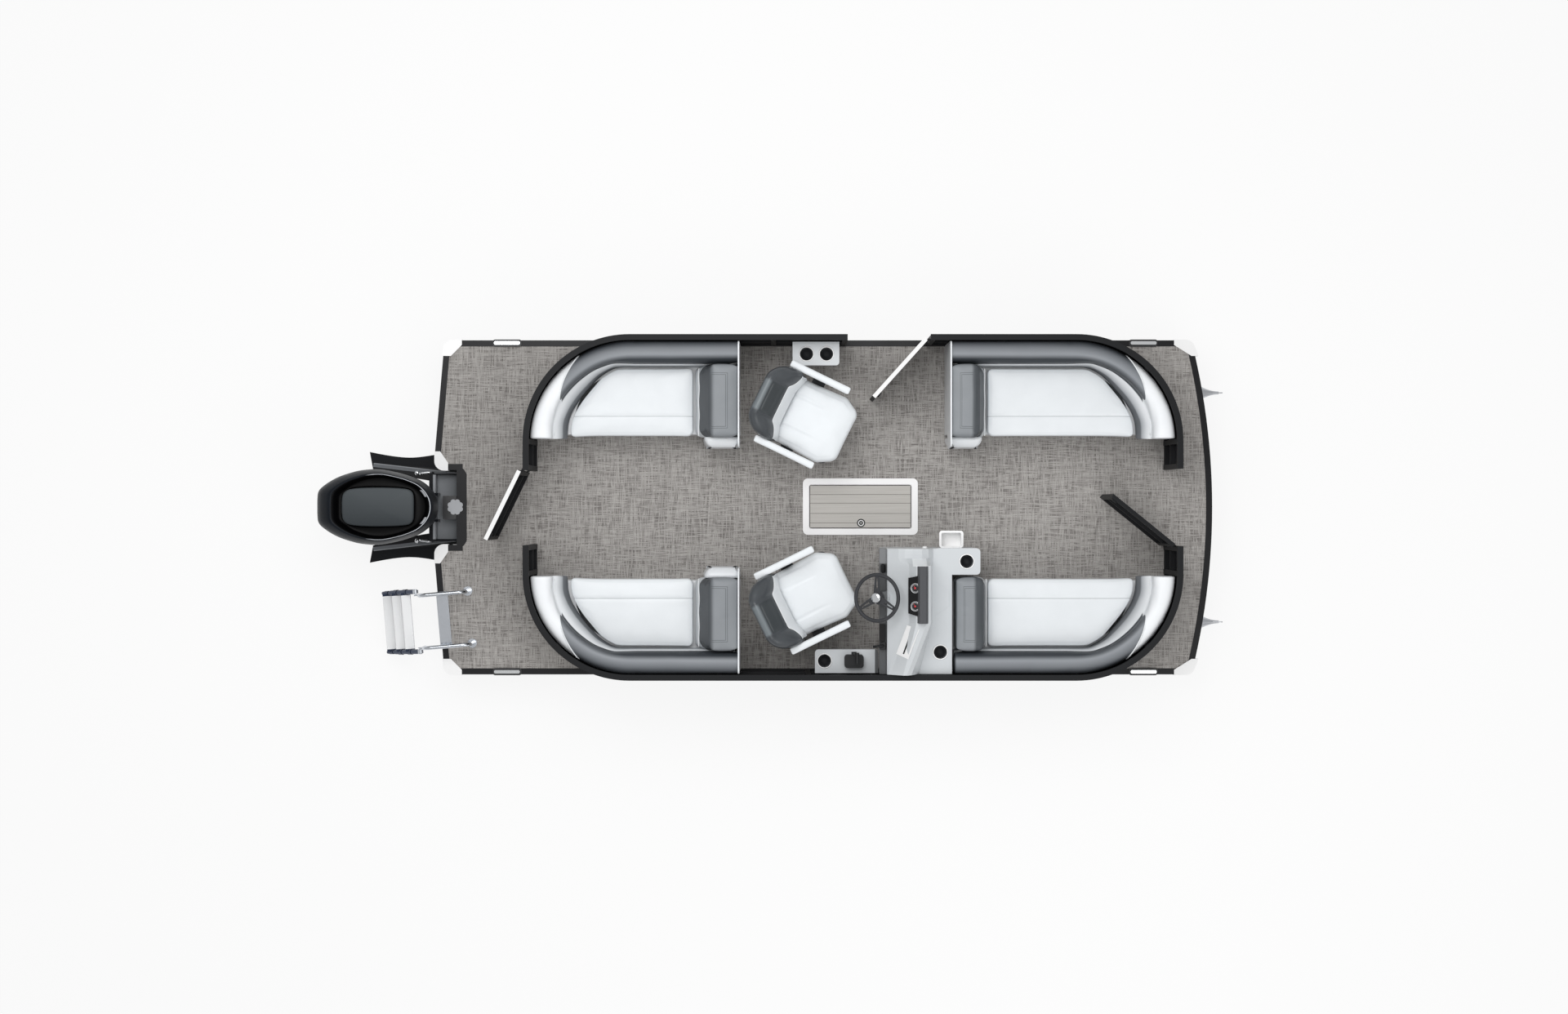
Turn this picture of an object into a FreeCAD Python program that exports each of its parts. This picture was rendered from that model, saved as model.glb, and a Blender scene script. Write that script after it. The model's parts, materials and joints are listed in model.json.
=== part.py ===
import FreeCAD, Part
import math
import os

# Pontoon boat of the 20 foot class, afloat, in millimetres.
# +X is the bow, +Y is port, +Z is up; the origin is on the waterline amidships.

# Hull and deck
DECK_BEAM = 2591.0
DECK_LENGTH = 6025.0
DECK_TOP = 450.0
DECK_THICK = 22.0
BOW_RADIUS = 5300.0
STERN_SLANT = 0.0857
STERN_FLAT_HALF = 434.0
TUBE_DIA = 635.0
TUBE_SIDE_INSET = 395.5
TUBE_CENTRE_Z = 10.0
TUBE_STERN_INSET = 132.5
TUBE_NOSE_REACH = 126.5
TUBE_NOSE_LENGTH = 780.0
TUBE_NOSE_RISE = 190.0
CENTRE_NOSE_INSET = 312.5
CENTRE_STERN_INSET = 592.5
CROSS_HEIGHT = 76.0
CROSS_WIDTH = 90.0
CROSS_WALL = 6.0
CROSS_COUNT = 15
CROSS_STERN_INSET = 190.5
CROSS_BOW_INSET = 262.5
CROSS_SIDE_INSET = 77.0
RISER_WALL = 6.0
RISER_WIDTH = 120.0
RISER_NOSE_INSET = 100.0
KEEL_WIDTH = 40.0
KEEL_HEIGHT = 22.0
STRAKE_REACH = 60.0
STRAKE_THICK = 6.0
EYE_LENGTH = 81.0
EYE_THICK = 8.0
EYE_INSET = 18.0
EYE_HOLE_R = 8.0

# Deck edge trim, corner caps and cleats
TRIM_FLANGE = 47.0
TRIM_WALL = 6.0
TRIM_HEIGHT = 62.0
TRIM_TOP_THICK = 3.0
CAP_LIFT = 5.0
CAP_LENGTH = 139.0
CAP_WIDTH = 126.0
CAP_CHAMFER = 85.0
CAP_ROUND = 75.0
CLEAT_LENGTH = 222.0
CLEAT_WIDTH = 56.0
CLEAT_HEIGHT = 26.0
CLEAT_HORN = 200.0
CLEAT_PROUD = 6.0
CLEAT_LEG_REACH = 42.0
CLEAT_LEG_R = 9.0
CLEAT_BEYOND_FENCE = 192.0
CLEAT_WITHIN_FENCE = 200.0

# Motor well, pod and wings
WELL_DEPTH = 167.5
WELL_HALF = 290.0
WELL_TRIM_FRONT = 78.0
WELL_TRIM_SIDE = 42.0
POD_HALF = 262.0
POD_WALL = 6.0
POD_BOTTOM_Z = -150.0
POD_TOP_FALL = 32.0
TRANSOM_SETBACK = 47.5
TRANSOM_THICK = 50.0
TRANSOM_TOP_Z = 440.0
WING_LENGTH = 521.0
WING_BEAD = 16.0
WING_BEAD_RISE = 8.0
WING_OUT_TIP = 438.0
WING_OUT_ROOT = 440.0
WING_WAIST = 394.0
WING_EDGE = ((0.0, WING_OUT_TIP), (0.28, WING_WAIST + 11), (0.50, WING_WAIST), (0.74, WING_WAIST + 17),
             (1.0, WING_OUT_ROOT))
WING_ROOT_INSET = 80.0
WING_IN_TIP = 301.0
WING_TOP_Z = 100.0
WING_DROP = 110.0
WING_WALL = 6.0
WING_TIP_SWEEP = 26.0
BOX_LENGTH = 104.0
BOX_HALF = 90.0
CAP_LOBES = 8
CAP_RADIUS = 62.0
CAP_THICK = 12.0

# Fences and gates
FENCE_HEIGHT = 660.0
FENCE_WIDTH = 43.0
RAIL_HEIGHT = 38.0
SKIN_THICK = 5.0
FENCE_FOOT = 22.0
POST_WIDTH = 38.0
POST_PITCH = 620.0
FENCE_END_FLAT = 215.5
STERN_DECK = 752.5
BOW_DECK = 335.5
STERN_OPENING_HALF = 280.0
BOW_OPENING_HALF = 290.0
SIDE_OPENING_AFT_X = 169.0
SIDE_OPENING_FWD_X = 791.0
GATE_HINGE_R = 9.0
GATE_HINGE_PIN_R = 5.0
HINGE_FOOT_HEIGHT = 120.0
HINGE_HEAD_DROP = 110.0
LATCH_LENGTH = 40.0
LATCH_PROUD = 12.0
LATCH_HEIGHT = 26.0
GROOVE_WIDTH = 12.0
GROOVE_DEPTH = 3.0
STERN_GATE_ANGLE = 26.0
BOW_GATE_ANGLE = 51.0
SIDE_GATE_ANGLE = 48.0

# Running clearances
FIT = 0.3
MOVE_GAP = 6.0

HALF_BEAM = DECK_BEAM / 2
STERN_X = -DECK_LENGTH / 2
BOW_X = DECK_LENGTH / 2
TUBE_SPACING = HALF_BEAM - TUBE_SIDE_INSET
TUBE_STERN_X = STERN_X + TUBE_STERN_INSET
TUBE_NOSE_X = BOW_X + TUBE_NOSE_REACH
CENTRE_TUBE_NOSE_X = BOW_X - CENTRE_NOSE_INSET
CENTRE_TUBE_STERN_X = STERN_X + CENTRE_STERN_INSET
CROSS_STERN_X = STERN_X + CROSS_STERN_INSET
CROSS_BOW_X = BOW_X - CROSS_BOW_INSET
WELL_FRONT_X = STERN_X + WELL_DEPTH
TRANSOM_X = STERN_X - TRANSOM_SETBACK
WING_TIP_X = TRANSOM_X - WING_LENGTH
FENCE_STERN_X = STERN_X + STERN_DECK
FENCE_BOW_X = BOW_X - BOW_DECK
FENCE_CORNER_R = HALF_BEAM - STERN_OPENING_HALF - FENCE_END_FLAT
CLEAT_STERN_X = FENCE_STERN_X - CLEAT_BEYOND_FENCE
CLEAT_BOW_X = FENCE_BOW_X - CLEAT_WITHIN_FENCE
DECK_UNDER = DECK_TOP - DECK_THICK
CROSS_BOTTOM = DECK_UNDER - CROSS_HEIGHT
TUBE_R = TUBE_DIA / 2
TUBE_TOP_Z = TUBE_CENTRE_Z + TUBE_R
FLOOR_Z = DECK_TOP + TRIM_TOP_THICK
FENCE_TOP_Z = DECK_TOP + FENCE_HEIGHT
EPS = 1.0


def vec(x, y, z=0.0):
    return FreeCAD.Vector(x, y, z)


def box(x0, x1, y0, y1, z0, z1):
    return Part.makeBox(x1 - x0, y1 - y0, z1 - z0, vec(x0, y0, z0))


def cylinder(point, axis, radius, length):
    return Part.makeCylinder(radius, length, point, axis)


def rounded_edges(points):
    """Edges of a closed polygon whose corner i is rounded by its radius: points are (x, y, r)."""
    count = len(points)
    starts = []
    ends = []
    arcs = []
    for i in range(count):
        x, y, r = points[i]
        here = vec(x, y)
        before = (vec(*points[i - 1][:2]) - here).normalize()
        after = (vec(*points[(i + 1) % count][:2]) - here).normalize()
        if r <= 0:
            starts.append(here)
            ends.append(here)
            arcs.append(None)
            continue
        half = before.getAngle(after) / 2
        reach = r / math.tan(half)
        bisector = (before + after).normalize()
        middle = here + bisector * (r / math.sin(half) - r)
        starts.append(here + before * reach)
        ends.append(here + after * reach)
        arcs.append(Part.Arc(starts[-1], middle, ends[-1]).toShape())
    edges = []
    for i in range(count):
        if arcs[i] is not None:
            edges.append(arcs[i])
        nxt = (i + 1) % count
        if (ends[i] - starts[nxt]).Length > 1e-6:
            edges.append(Part.LineSegment(ends[i], starts[nxt]).toShape())
    return edges


def face_xy(points):
    return Part.Face(Part.Wire(rounded_edges(points)))


def prism(points, z0, z1):
    """Upright prism on a rounded polygon in plan."""
    face = face_xy([p if len(p) == 3 else (p[0], p[1], 0.0) for p in points])
    face.translate(vec(0, 0, z0))
    return face.extrude(vec(0, 0, z1 - z0))


def prism_x(points, x0, x1):
    """Prism along X on a rounded polygon given as (y, z[, r])."""
    return placed(prism(points, x0, x1), FreeCAD.Matrix(0, 0, 1, 0, 1, 0, 0, 0, 0, 1, 0, 0, 0, 0, 0, 1))


def prism_y(points, y0, y1):
    """Prism along Y on a rounded polygon given as (x, z[, r])."""
    solid = prism(points, -y1, -y0)
    return placed(solid, FreeCAD.Matrix(1, 0, 0, 0, 0, 0, -1, 0, 0, 1, 0, 0, 0, 0, 0, 1))


def placed(solid, matrix):
    out = solid.copy()
    out.transformShape(matrix)
    return out


def mirrored(shape):
    """The starboard twin of a port shape."""
    return shape.mirror(vec(0, 0, 0), vec(0, 1, 0))


def turned(shape, centre, axis, degrees):
    out = shape.copy()
    out.rotate(centre, axis, degrees)
    return out


def moved(shape, x, y, z):
    out = shape.copy()
    out.translate(vec(x, y, z))
    return out


def joined(shapes):
    out = shapes[0].multiFuse(shapes[1:]) if len(shapes) > 1 else shapes[0]
    return out.removeSplitter()


def cut(shape, *tools):
    out = shape
    for tool in tools:
        out = out.cut(tool)
    return out


def solids_of(shape):
    return list(shape.Solids)


def together(shapes):
    """Several solids that do not touch, as one node."""
    solids = []
    for shape in shapes:
        solids.extend(solids_of(shape))
    return Part.makeCompound(solids)


def save(name, shape):
    shape.exportStep("parts/" + name + ".step")


def offset_path(points, distance):
    """A polyline moved sideways to its left; corner radii grow or shrink with it."""
    count = len(points)
    normals = []
    for i in range(count - 1):
        run = vec(points[i + 1][0] - points[i][0], points[i + 1][1] - points[i][1]).normalize()
        normals.append(vec(-run.y, run.x))
    out = []
    for i in range(count):
        here = vec(points[i][0], points[i][1])
        if i == 0:
            spot = here + normals[0] * distance
            radius = 0.0
        elif i == count - 1:
            spot = here + normals[-1] * distance
            radius = 0.0
        else:
            first, second = normals[i - 1], normals[i]
            spot = here + (first + second) * (distance / (1 + first.dot(second)))
            left_turn = first.x * second.y - first.y * second.x > 0
            radius = points[i][2] - distance if left_turn else points[i][2] + distance
        out.append((spot.x, spot.y, radius))
    return out


def ribbon(points, left, right, z0, z1):
    """An upright strip along a path, from `right` to `left` of its line."""
    side_a = offset_path(points, left)
    side_b = offset_path(points, right)
    return prism(side_a + side_b[::-1], z0, z1)


# Floor locker
LOCKER_X = (-161.0, 730.0)
LOCKER_Y = (-213.0, 225.0)
LOCKER_RIM = 48.0
LOCKER_RIM_THICK = 9.0
LOCKER_RIM_ROUND = 40.0
LOCKER_WALL = 5.0
LOCKER_DEPTH = 340.0
LOCKER_LEDGE = 14.0
LID_THICK = 14.0
LID_GAP = 4.0
LATCH_R = 31.0
LATCH_X = 290.0
LATCH_INSET = 36.0


def nose_sections(tip_x, length, rise):
    """Circles of an upswept nose cone: share of the length, share of the radius, share of the rise."""
    steps = ((0.0, 1.0, 0.0), (0.24, 0.93, 0.10), (0.48, 0.70, 0.36), (0.70, 0.36, 0.74),
             (0.84, 0.14, 0.94), (1.0, 0.035, 1.0))
    wires = []
    for along, size, up in steps:
        centre = vec(tip_x - length * (1 - along), 0, TUBE_CENTRE_Z + rise * up)
        wires.append(Part.Wire(Part.makeCircle(TUBE_R * size, centre, vec(1, 0, 0))))
    return wires


def tube_with_nose(stern_x, tip_x):
    """Round float tube with a flat stern plate, an upswept nose, a keel and the deck riser."""
    start = tip_x - TUBE_NOSE_LENGTH
    barrel = cylinder(vec(stern_x, 0, TUBE_CENTRE_Z), vec(1, 0, 0), TUBE_R, start - stern_x)
    nose = Part.makeLoft(nose_sections(tip_x, TUBE_NOSE_LENGTH, TUBE_NOSE_RISE), True, False)
    keel_z = TUBE_CENTRE_Z - TUBE_R
    keel = prism_y([(stern_x, keel_z - KEEL_HEIGHT), (start - KEEL_HEIGHT, keel_z - KEEL_HEIGHT),
                    (start, keel_z + KEEL_HEIGHT), (stern_x, keel_z + KEEL_HEIGHT)],
                   -KEEL_WIDTH / 2, KEEL_WIDTH / 2)
    riser = riser_section(stern_x, min(tip_x - RISER_NOSE_INSET, CROSS_BOW_X + CROSS_WIDTH / 2))
    web_end = min(tip_x - RISER_NOSE_INSET - KEEL_WIDTH, CROSS_BOW_X)
    web = box(start - CROSS_HEIGHT, web_end, -RISER_WALL / 2, RISER_WALL / 2, TUBE_CENTRE_Z + TUBE_R * 0.63,
              CROSS_BOTTOM - RISER_WALL)
    return joined([barrel, nose, keel, riser, web])


def riser_section(x0, x1):
    """Inverted channel that is welded along the tube and carries the crossmembers."""
    half = RISER_WIDTH / 2
    low = TUBE_TOP_Z - RISER_WALL * 2
    outer = box(x0, x1, -half, half, low, CROSS_BOTTOM)
    inner = box(x0 - EPS, x1 + EPS, -half + RISER_WALL, half - RISER_WALL, TUBE_TOP_Z,
                CROSS_BOTTOM - RISER_WALL)
    return outer.cut(inner)


def strakes(x0, x1):
    """Folded lifting strakes low on both sides of a tube."""
    angle = math.radians(38)
    y = TUBE_R * math.cos(angle)
    z = TUBE_CENTRE_Z - TUBE_R * math.sin(angle)
    section = [(y - 20, z), (y + STRAKE_REACH, z), (y + STRAKE_REACH, z - STRAKE_THICK),
               (y - 2, z - STRAKE_REACH)]
    side = prism_x(section, x0, x1)
    return [side, mirrored(side)]


def nose_eye():
    """Towing eye plate on the nose tip."""
    z = TUBE_CENTRE_Z + TUBE_NOSE_RISE
    root = TUBE_NOSE_X - EYE_LENGTH
    plate = prism_y([(root, z - 14, 0), (TUBE_NOSE_X, z - 14, 12), (TUBE_NOSE_X, z + 22, 12),
                     (root, z + 22, 0)], -EYE_THICK / 2, EYE_THICK / 2)
    hole = cylinder(vec(TUBE_NOSE_X - EYE_INSET, -EYE_THICK, z + 4), vec(0, 1, 0), EYE_HOLE_R, 2 * EYE_THICK)
    return plate.cut(hole)


def outer_pontoon():
    body = tube_with_nose(TUBE_STERN_X, TUBE_NOSE_X - 30)
    lifted = joined([body] + strakes(TUBE_STERN_X + 150, TUBE_NOSE_X - TUBE_NOSE_LENGTH - 200))
    return moved(joined([lifted, nose_eye()]), 0, TUBE_SPACING, 0)


def locker_pocket(clearance):
    """The space that the floor locker takes up under the deck."""
    x0, x1, y0, y1 = locker_tub_plan()
    return box(x0 - clearance, x1 + clearance, y0 - clearance, y1 + clearance,
               DECK_TOP - LOCKER_DEPTH - clearance, DECK_TOP + EPS)


def centre_pontoon():
    body = tube_with_nose(CENTRE_TUBE_STERN_X, CENTRE_TUBE_NOSE_X)
    return body.cut(locker_pocket(0.0))


def crossmember(x):
    """Hat channel across the boat, open below."""
    half = CROSS_WIDTH / 2
    reach = HALF_BEAM - CROSS_SIDE_INSET
    top = DECK_UNDER
    low = CROSS_BOTTOM
    wall = CROSS_WALL
    section = [(x - half, low), (x - half, low + wall), (x - half / 2, low + wall),
               (x - half / 2, top), (x + half / 2, top), (x + half / 2, low + wall),
               (x + half, low + wall), (x + half, low), (x + half / 2 - wall, low),
               (x + half / 2 - wall, top - wall), (x - half / 2 + wall, top - wall),
               (x - half / 2 + wall, low)]
    bar = prism_y(section, -reach, reach)
    well = box(STERN_X - 200, WELL_FRONT_X + 12, -WELL_HALF - 20, WELL_HALF + 20, 0, DECK_TOP)
    return cut(bar, well, locker_pocket(MOVE_GAP))


def crossmembers():
    pitch = (CROSS_BOW_X - CROSS_STERN_X) / (CROSS_COUNT - 1)
    return together([crossmember(CROSS_STERN_X + pitch * i) for i in range(CROSS_COUNT)])


def stern_edge_x(y):
    return STERN_X + STERN_SLANT * max(0.0, abs(y) - STERN_FLAT_HALF)


def bow_edge_x(y):
    return BOW_X - BOW_RADIUS + math.sqrt(BOW_RADIUS ** 2 - y * y)


def deck_face(inset):
    """Plan of the deck with its slanted stern, arced bow and motor well, drawn in by an inset."""
    side = HALF_BEAM
    flat = STERN_FLAT_HALF
    arc = Part.Arc(vec(bow_edge_x(side), side), vec(BOW_X, 0), vec(bow_edge_x(side), -side)).toShape()
    spots = [vec(bow_edge_x(side), -side), vec(stern_edge_x(side), -side), vec(STERN_X, -flat),
             vec(STERN_X, -WELL_HALF), vec(WELL_FRONT_X, -WELL_HALF), vec(WELL_FRONT_X, WELL_HALF),
             vec(STERN_X, WELL_HALF), vec(STERN_X, flat), vec(stern_edge_x(side), side),
             vec(bow_edge_x(side), side)]
    lines = [Part.LineSegment(a, b).toShape() for a, b in zip(spots, spots[1:])]
    face = Part.Face(Part.Wire(lines + [arc]))
    if inset > 0:
        face = face.makeOffset2D(-inset, 2)
    return face


def deck_slab(inset, z0, z1):
    face = deck_face(inset)
    face.translate(vec(0, 0, z0))
    return face.extrude(vec(0, 0, z1 - z0))


def cap_plans():
    """Plans of the six corner caps: two at the bow, two at the stern, two at the motor well."""
    side = HALF_BEAM + CAP_LIFT
    inner = side - CAP_WIDTH
    stern = stern_edge_x(side) - CAP_LIFT
    bow = bow_edge_x(side) + CAP_LIFT
    chamfer = CAP_CHAMFER
    stern_cap = [(stern, side, CAP_ROUND), (stern + CAP_LENGTH, side, 0),
                 (stern + CAP_LENGTH, side - CAP_WIDTH + chamfer, 0),
                 (stern + CAP_LENGTH - chamfer, inner, 0), (stern - 12, inner, 0)]
    bow_cap = [(bow, side, CAP_ROUND), (bow + 50, inner, 0), (bow + 50 - CAP_LENGTH + chamfer, inner, 0),
               (bow - CAP_LENGTH, inner + chamfer, 0), (bow - CAP_LENGTH, side, 0)]
    well = WELL_HALF - CAP_LIFT
    edge = STERN_X - CAP_LIFT
    well_cap = [(edge, well, CAP_ROUND), (edge, STERN_FLAT_HALF, 0), (edge + 45, STERN_FLAT_HALF, 0),
                (WELL_FRONT_X - 66, well + 60, 0), (WELL_FRONT_X - 66, well, 0)]
    return [stern_cap, bow_cap, well_cap]


def cap_regions(z0, z1, rounded=True):
    """The caps as prisms; with square corners they clear the deck and trim that the caps replace."""
    port = []
    for plan in cap_plans():
        corners = plan if rounded else [(x, y, 0) for x, y, _ in plan]
        port.append(prism(corners, z0, z1))
    return port + [mirrored(p) for p in port]


def deck_panel():
    slab = deck_slab(TRIM_WALL, DECK_UNDER, DECK_TOP)
    x0, x1, y0, y1 = locker_collar_plan()
    hole = box(x0, x1, y0, y1, DECK_UNDER - EPS, DECK_TOP + EPS)
    return cut(slab, hole, *cap_regions(DECK_UNDER - EPS, DECK_TOP + EPS, False))


def well_band():
    """Wider trim band round the motor well."""
    front = WELL_FRONT_X + WELL_TRIM_FRONT
    wide = WELL_HALF + WELL_TRIM_SIDE
    narrow = WELL_HALF + 10
    outer = [(STERN_X + 60, wide, 0), (front - 25, narrow, 25), (front, narrow - 40, 25),
             (front, 40 - narrow, 25), (front - 25, -narrow, 25), (STERN_X + 60, -wide, 0)]
    band = prism(outer, DECK_TOP, FLOOR_Z)
    return band.cut(box(STERN_X, WELL_FRONT_X, -WELL_HALF, WELL_HALF, DECK_TOP - EPS, FLOOR_Z + EPS))


def deck_trim():
    """Edge extrusion: a fascia round the deck with a flange over its top."""
    low = DECK_TOP - TRIM_HEIGHT
    flange = deck_slab(0, DECK_TOP, FLOOR_Z).cut(deck_slab(TRIM_FLANGE, DECK_TOP - EPS, FLOOR_Z + EPS))
    fascia = deck_slab(0, low, DECK_TOP).cut(deck_slab(TRIM_WALL, low - EPS, DECK_TOP + EPS))
    ring = joined([flange, fascia, well_band()])
    return cut(ring, *cap_regions(low - 2 * EPS, FLOOR_Z + 2 * EPS, False))


def corner_caps():
    """Moulded corner castings that close the trim at the corners."""
    low = DECK_TOP - TRIM_HEIGHT - 4
    top = FLOOR_Z + 4
    return together(cap_regions(low, top))


def cleat(x):
    """Oval mooring cleat let into the edge trim."""
    half = CLEAT_LENGTH / 2
    side = HALF_BEAM + CLEAT_PROUD
    middle = side - CLEAT_WIDTH / 2
    top = FLOOR_Z + CLEAT_HEIGHT
    base = rounded_box(x - half, x + half, side - CLEAT_WIDTH, side, FLOOR_Z, FLOOR_Z + 8, 18)
    horn = rounded_box(x - CLEAT_HORN / 2, x + CLEAT_HORN / 2, middle - 13, middle + 13, top - 9, top, 12)
    legs = []
    for s in (-1, 1):
        foot = vec(x + s * CLEAT_LEG_REACH, middle, FLOOR_Z + CLEAT_PROUD)
        legs.append(cylinder(foot, vec(0, 0, 1), CLEAT_LEG_R, CLEAT_HEIGHT - 2 * CLEAT_PROUD))
    return joined([base, horn] + legs)


def cleats():
    port = [cleat(CLEAT_STERN_X), cleat(CLEAT_BOW_X)]
    return together(port + [mirrored(c) for c in port])


def locker_tub_plan():
    """Outside of the tub under the rim: low x, high x, low y, high y."""
    inset = LOCKER_RIM + LOCKER_LEDGE - LOCKER_WALL
    return (LOCKER_X[0] + inset, LOCKER_X[1] - inset, LOCKER_Y[0] + inset, LOCKER_Y[1] - inset)


def locker_collar_plan():
    """Outside of the collar that stands in the deck: low x, high x, low y, high y."""
    inset = LOCKER_RIM - LOCKER_WALL
    return (LOCKER_X[0] + inset, LOCKER_X[1] - inset, LOCKER_Y[0] + inset, LOCKER_Y[1] - inset)


def lid_plan():
    """Plan of the lid: low x, high x, low y, high y."""
    inset = LOCKER_RIM + LID_GAP
    return (LOCKER_X[0] + inset, LOCKER_X[1] - inset, LOCKER_Y[0] + inset, LOCKER_Y[1] - inset)


def rounded_box(x0, x1, y0, y1, z0, z1, r):
    return prism([(x0, y0, r), (x1, y0, r), (x1, y1, r), (x0, y1, r)], z0, z1)


def floor_locker():
    """Moulded locker: a rim on the deck, a ledge under the lid and the tub below."""
    x0, x1, y0, y1 = locker_tub_plan()
    top = DECK_TOP + LOCKER_RIM_THICK
    bottom = DECK_TOP - LOCKER_DEPTH
    rim = rounded_box(LOCKER_X[0], LOCKER_X[1], LOCKER_Y[0], LOCKER_Y[1], DECK_TOP, top, LOCKER_RIM_ROUND)
    seat_z = top - LID_THICK - FIT
    tub = box(x0, x1, y0, y1, bottom, DECK_TOP)
    wall = LOCKER_WALL
    space = box(x0 + wall, x1 - wall, y0 + wall, y1 - wall, bottom + wall, top + EPS)
    lx0, lx1, ly0, ly1 = lid_plan()
    recess = rounded_box(lx0 - LID_GAP, lx1 + LID_GAP, ly0 - LID_GAP, ly1 + LID_GAP, seat_z, top + EPS, 16)
    collar = box(*locker_collar_plan(), seat_z - wall, DECK_TOP)
    return cut(joined([rim, tub, collar]), space, recess)


def locker_lid():
    """Ribbed lid with its round latch."""
    x0, x1, y0, y1 = lid_plan()
    top = DECK_TOP + LOCKER_RIM_THICK
    lid = rounded_box(x0, x1, y0, y1, top - LID_THICK, top, 14)
    width = y1 - y0
    for share in (0.22, 0.42, 0.66, 0.88):
        y = y1 - width * share
        lid = lid.cut(box(x0 - EPS, x1 + EPS, y - 2, y + 2, top - 2.5, top + EPS))
    latch = cylinder(vec(LATCH_X, y0 + LATCH_INSET + 4, top - 4), vec(0, 0, 1), LATCH_R, 6)
    hollow = cylinder(vec(LATCH_X, y0 + LATCH_INSET + 4, top - 1), vec(0, 0, 1), LATCH_R * 0.6, 8)
    return joined([lid, latch]).cut(hollow)


# Gate hinge axes, heading of the shut gate in degrees, length, and body depth left of the axis
GATE_BODY_START = 16.0
HINGE_STAND = 10.0
STERN_GATE_LENGTH = 588.0
BOW_GATE_LENGTH = 606.0
SIDE_GATE_LENGTH = 598.0
GATE_RAIL = 30.0
GATE_FLOOR_GAP = 22.0
HINGE_KNUCKLE = 34.0
STERN_HINGE = (FENCE_STERN_X - HINGE_STAND, STERN_OPENING_HALF + 4)
BOW_HINGE = (FENCE_BOW_X - FENCE_WIDTH - HINGE_STAND, -BOW_OPENING_HALF + 6)
SIDE_HINGE = (SIDE_OPENING_FWD_X - 12, HALF_BEAM - 37.5)
MID_RAIL_SHARE = 0.46


def fence_paths():
    """Outer line of each fence and the side that faces the cabin: +1 left, -1 right of travel."""
    side = HALF_BEAM
    corner = FENCE_CORNER_R
    port_aft = [(SIDE_OPENING_AFT_X, side), (FENCE_STERN_X, side, corner),
                (FENCE_STERN_X, STERN_OPENING_HALF)]
    port_fwd = [(SIDE_OPENING_FWD_X, side), (FENCE_BOW_X, side, corner), (FENCE_BOW_X, BOW_OPENING_HALF)]
    starboard = [(FENCE_STERN_X, -STERN_OPENING_HALF - 4), (FENCE_STERN_X, -side, corner),
                 (FENCE_BOW_X, -side, corner), (FENCE_BOW_X, -BOW_OPENING_HALF)]
    return {"port_aft": (port_aft, 1), "port_fwd": (port_fwd, -1), "starboard": (starboard, 1)}


def strip(points, inside, outer, inner, z0, z1):
    """A strip of fence between two depths measured inwards from the outer line."""
    if inside > 0:
        return ribbon(points, inner, outer, z0, z1)
    return ribbon(points, -outer, -inner, z0, z1)


def shortened(points, amount):
    """The same path with both free ends drawn back."""
    out = [tuple(p) for p in points]
    for end, near in ((0, 1), (-1, -2)):
        here = vec(out[end][0], out[end][1])
        run = (vec(out[near][0], out[near][1]) - here).normalize()
        spot = here + run * amount
        out[end] = (spot.x, spot.y)
    return out


def path_edges(points):
    """Lines and arcs of an open path whose inner points carry a corner radius."""
    edges = []
    start = vec(points[0][0], points[0][1])
    for i in range(1, len(points) - 1):
        here = vec(points[i][0], points[i][1])
        before = (vec(points[i - 1][0], points[i - 1][1]) - here).normalize()
        after = (vec(points[i + 1][0], points[i + 1][1]) - here).normalize()
        half = before.getAngle(after) / 2
        radius = points[i][2]
        reach = radius / math.tan(half)
        enter = here + before * reach
        leave = here + after * reach
        middle = here + (before + after).normalize() * (radius / math.sin(half) - radius)
        edges.append(Part.LineSegment(start, enter).toShape())
        edges.append(Part.Arc(enter, middle, leave).toShape())
        start = leave
    edges.append(Part.LineSegment(start, vec(points[-1][0], points[-1][1])).toShape())
    return edges


def post_stations(points, inside):
    """Places and headings of the posts: both ends and evenly along each line and arc."""
    depth = inside * (SKIN_THICK + FIT)
    line = offset_path(shortened(points, POST_WIDTH / 2), depth)
    stations = []
    for edge in path_edges(line):
        count = max(1, int(round(edge.Length / POST_PITCH)))
        for k in range(count + 1):
            at = edge.FirstParameter + (edge.LastParameter - edge.FirstParameter) * k / count
            spot = edge.valueAt(at)
            if all((spot - other[0]).Length > POST_WIDTH * 2 for other in stations):
                stations.append((spot, edge.tangentAt(at)))
    return stations


def mid_rail_low():
    """Underside of the fence's middle rail."""
    low = FLOOR_Z + FENCE_FOOT
    return low + (FENCE_TOP_Z - RAIL_HEIGHT - low) * MID_RAIL_SHARE


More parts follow.
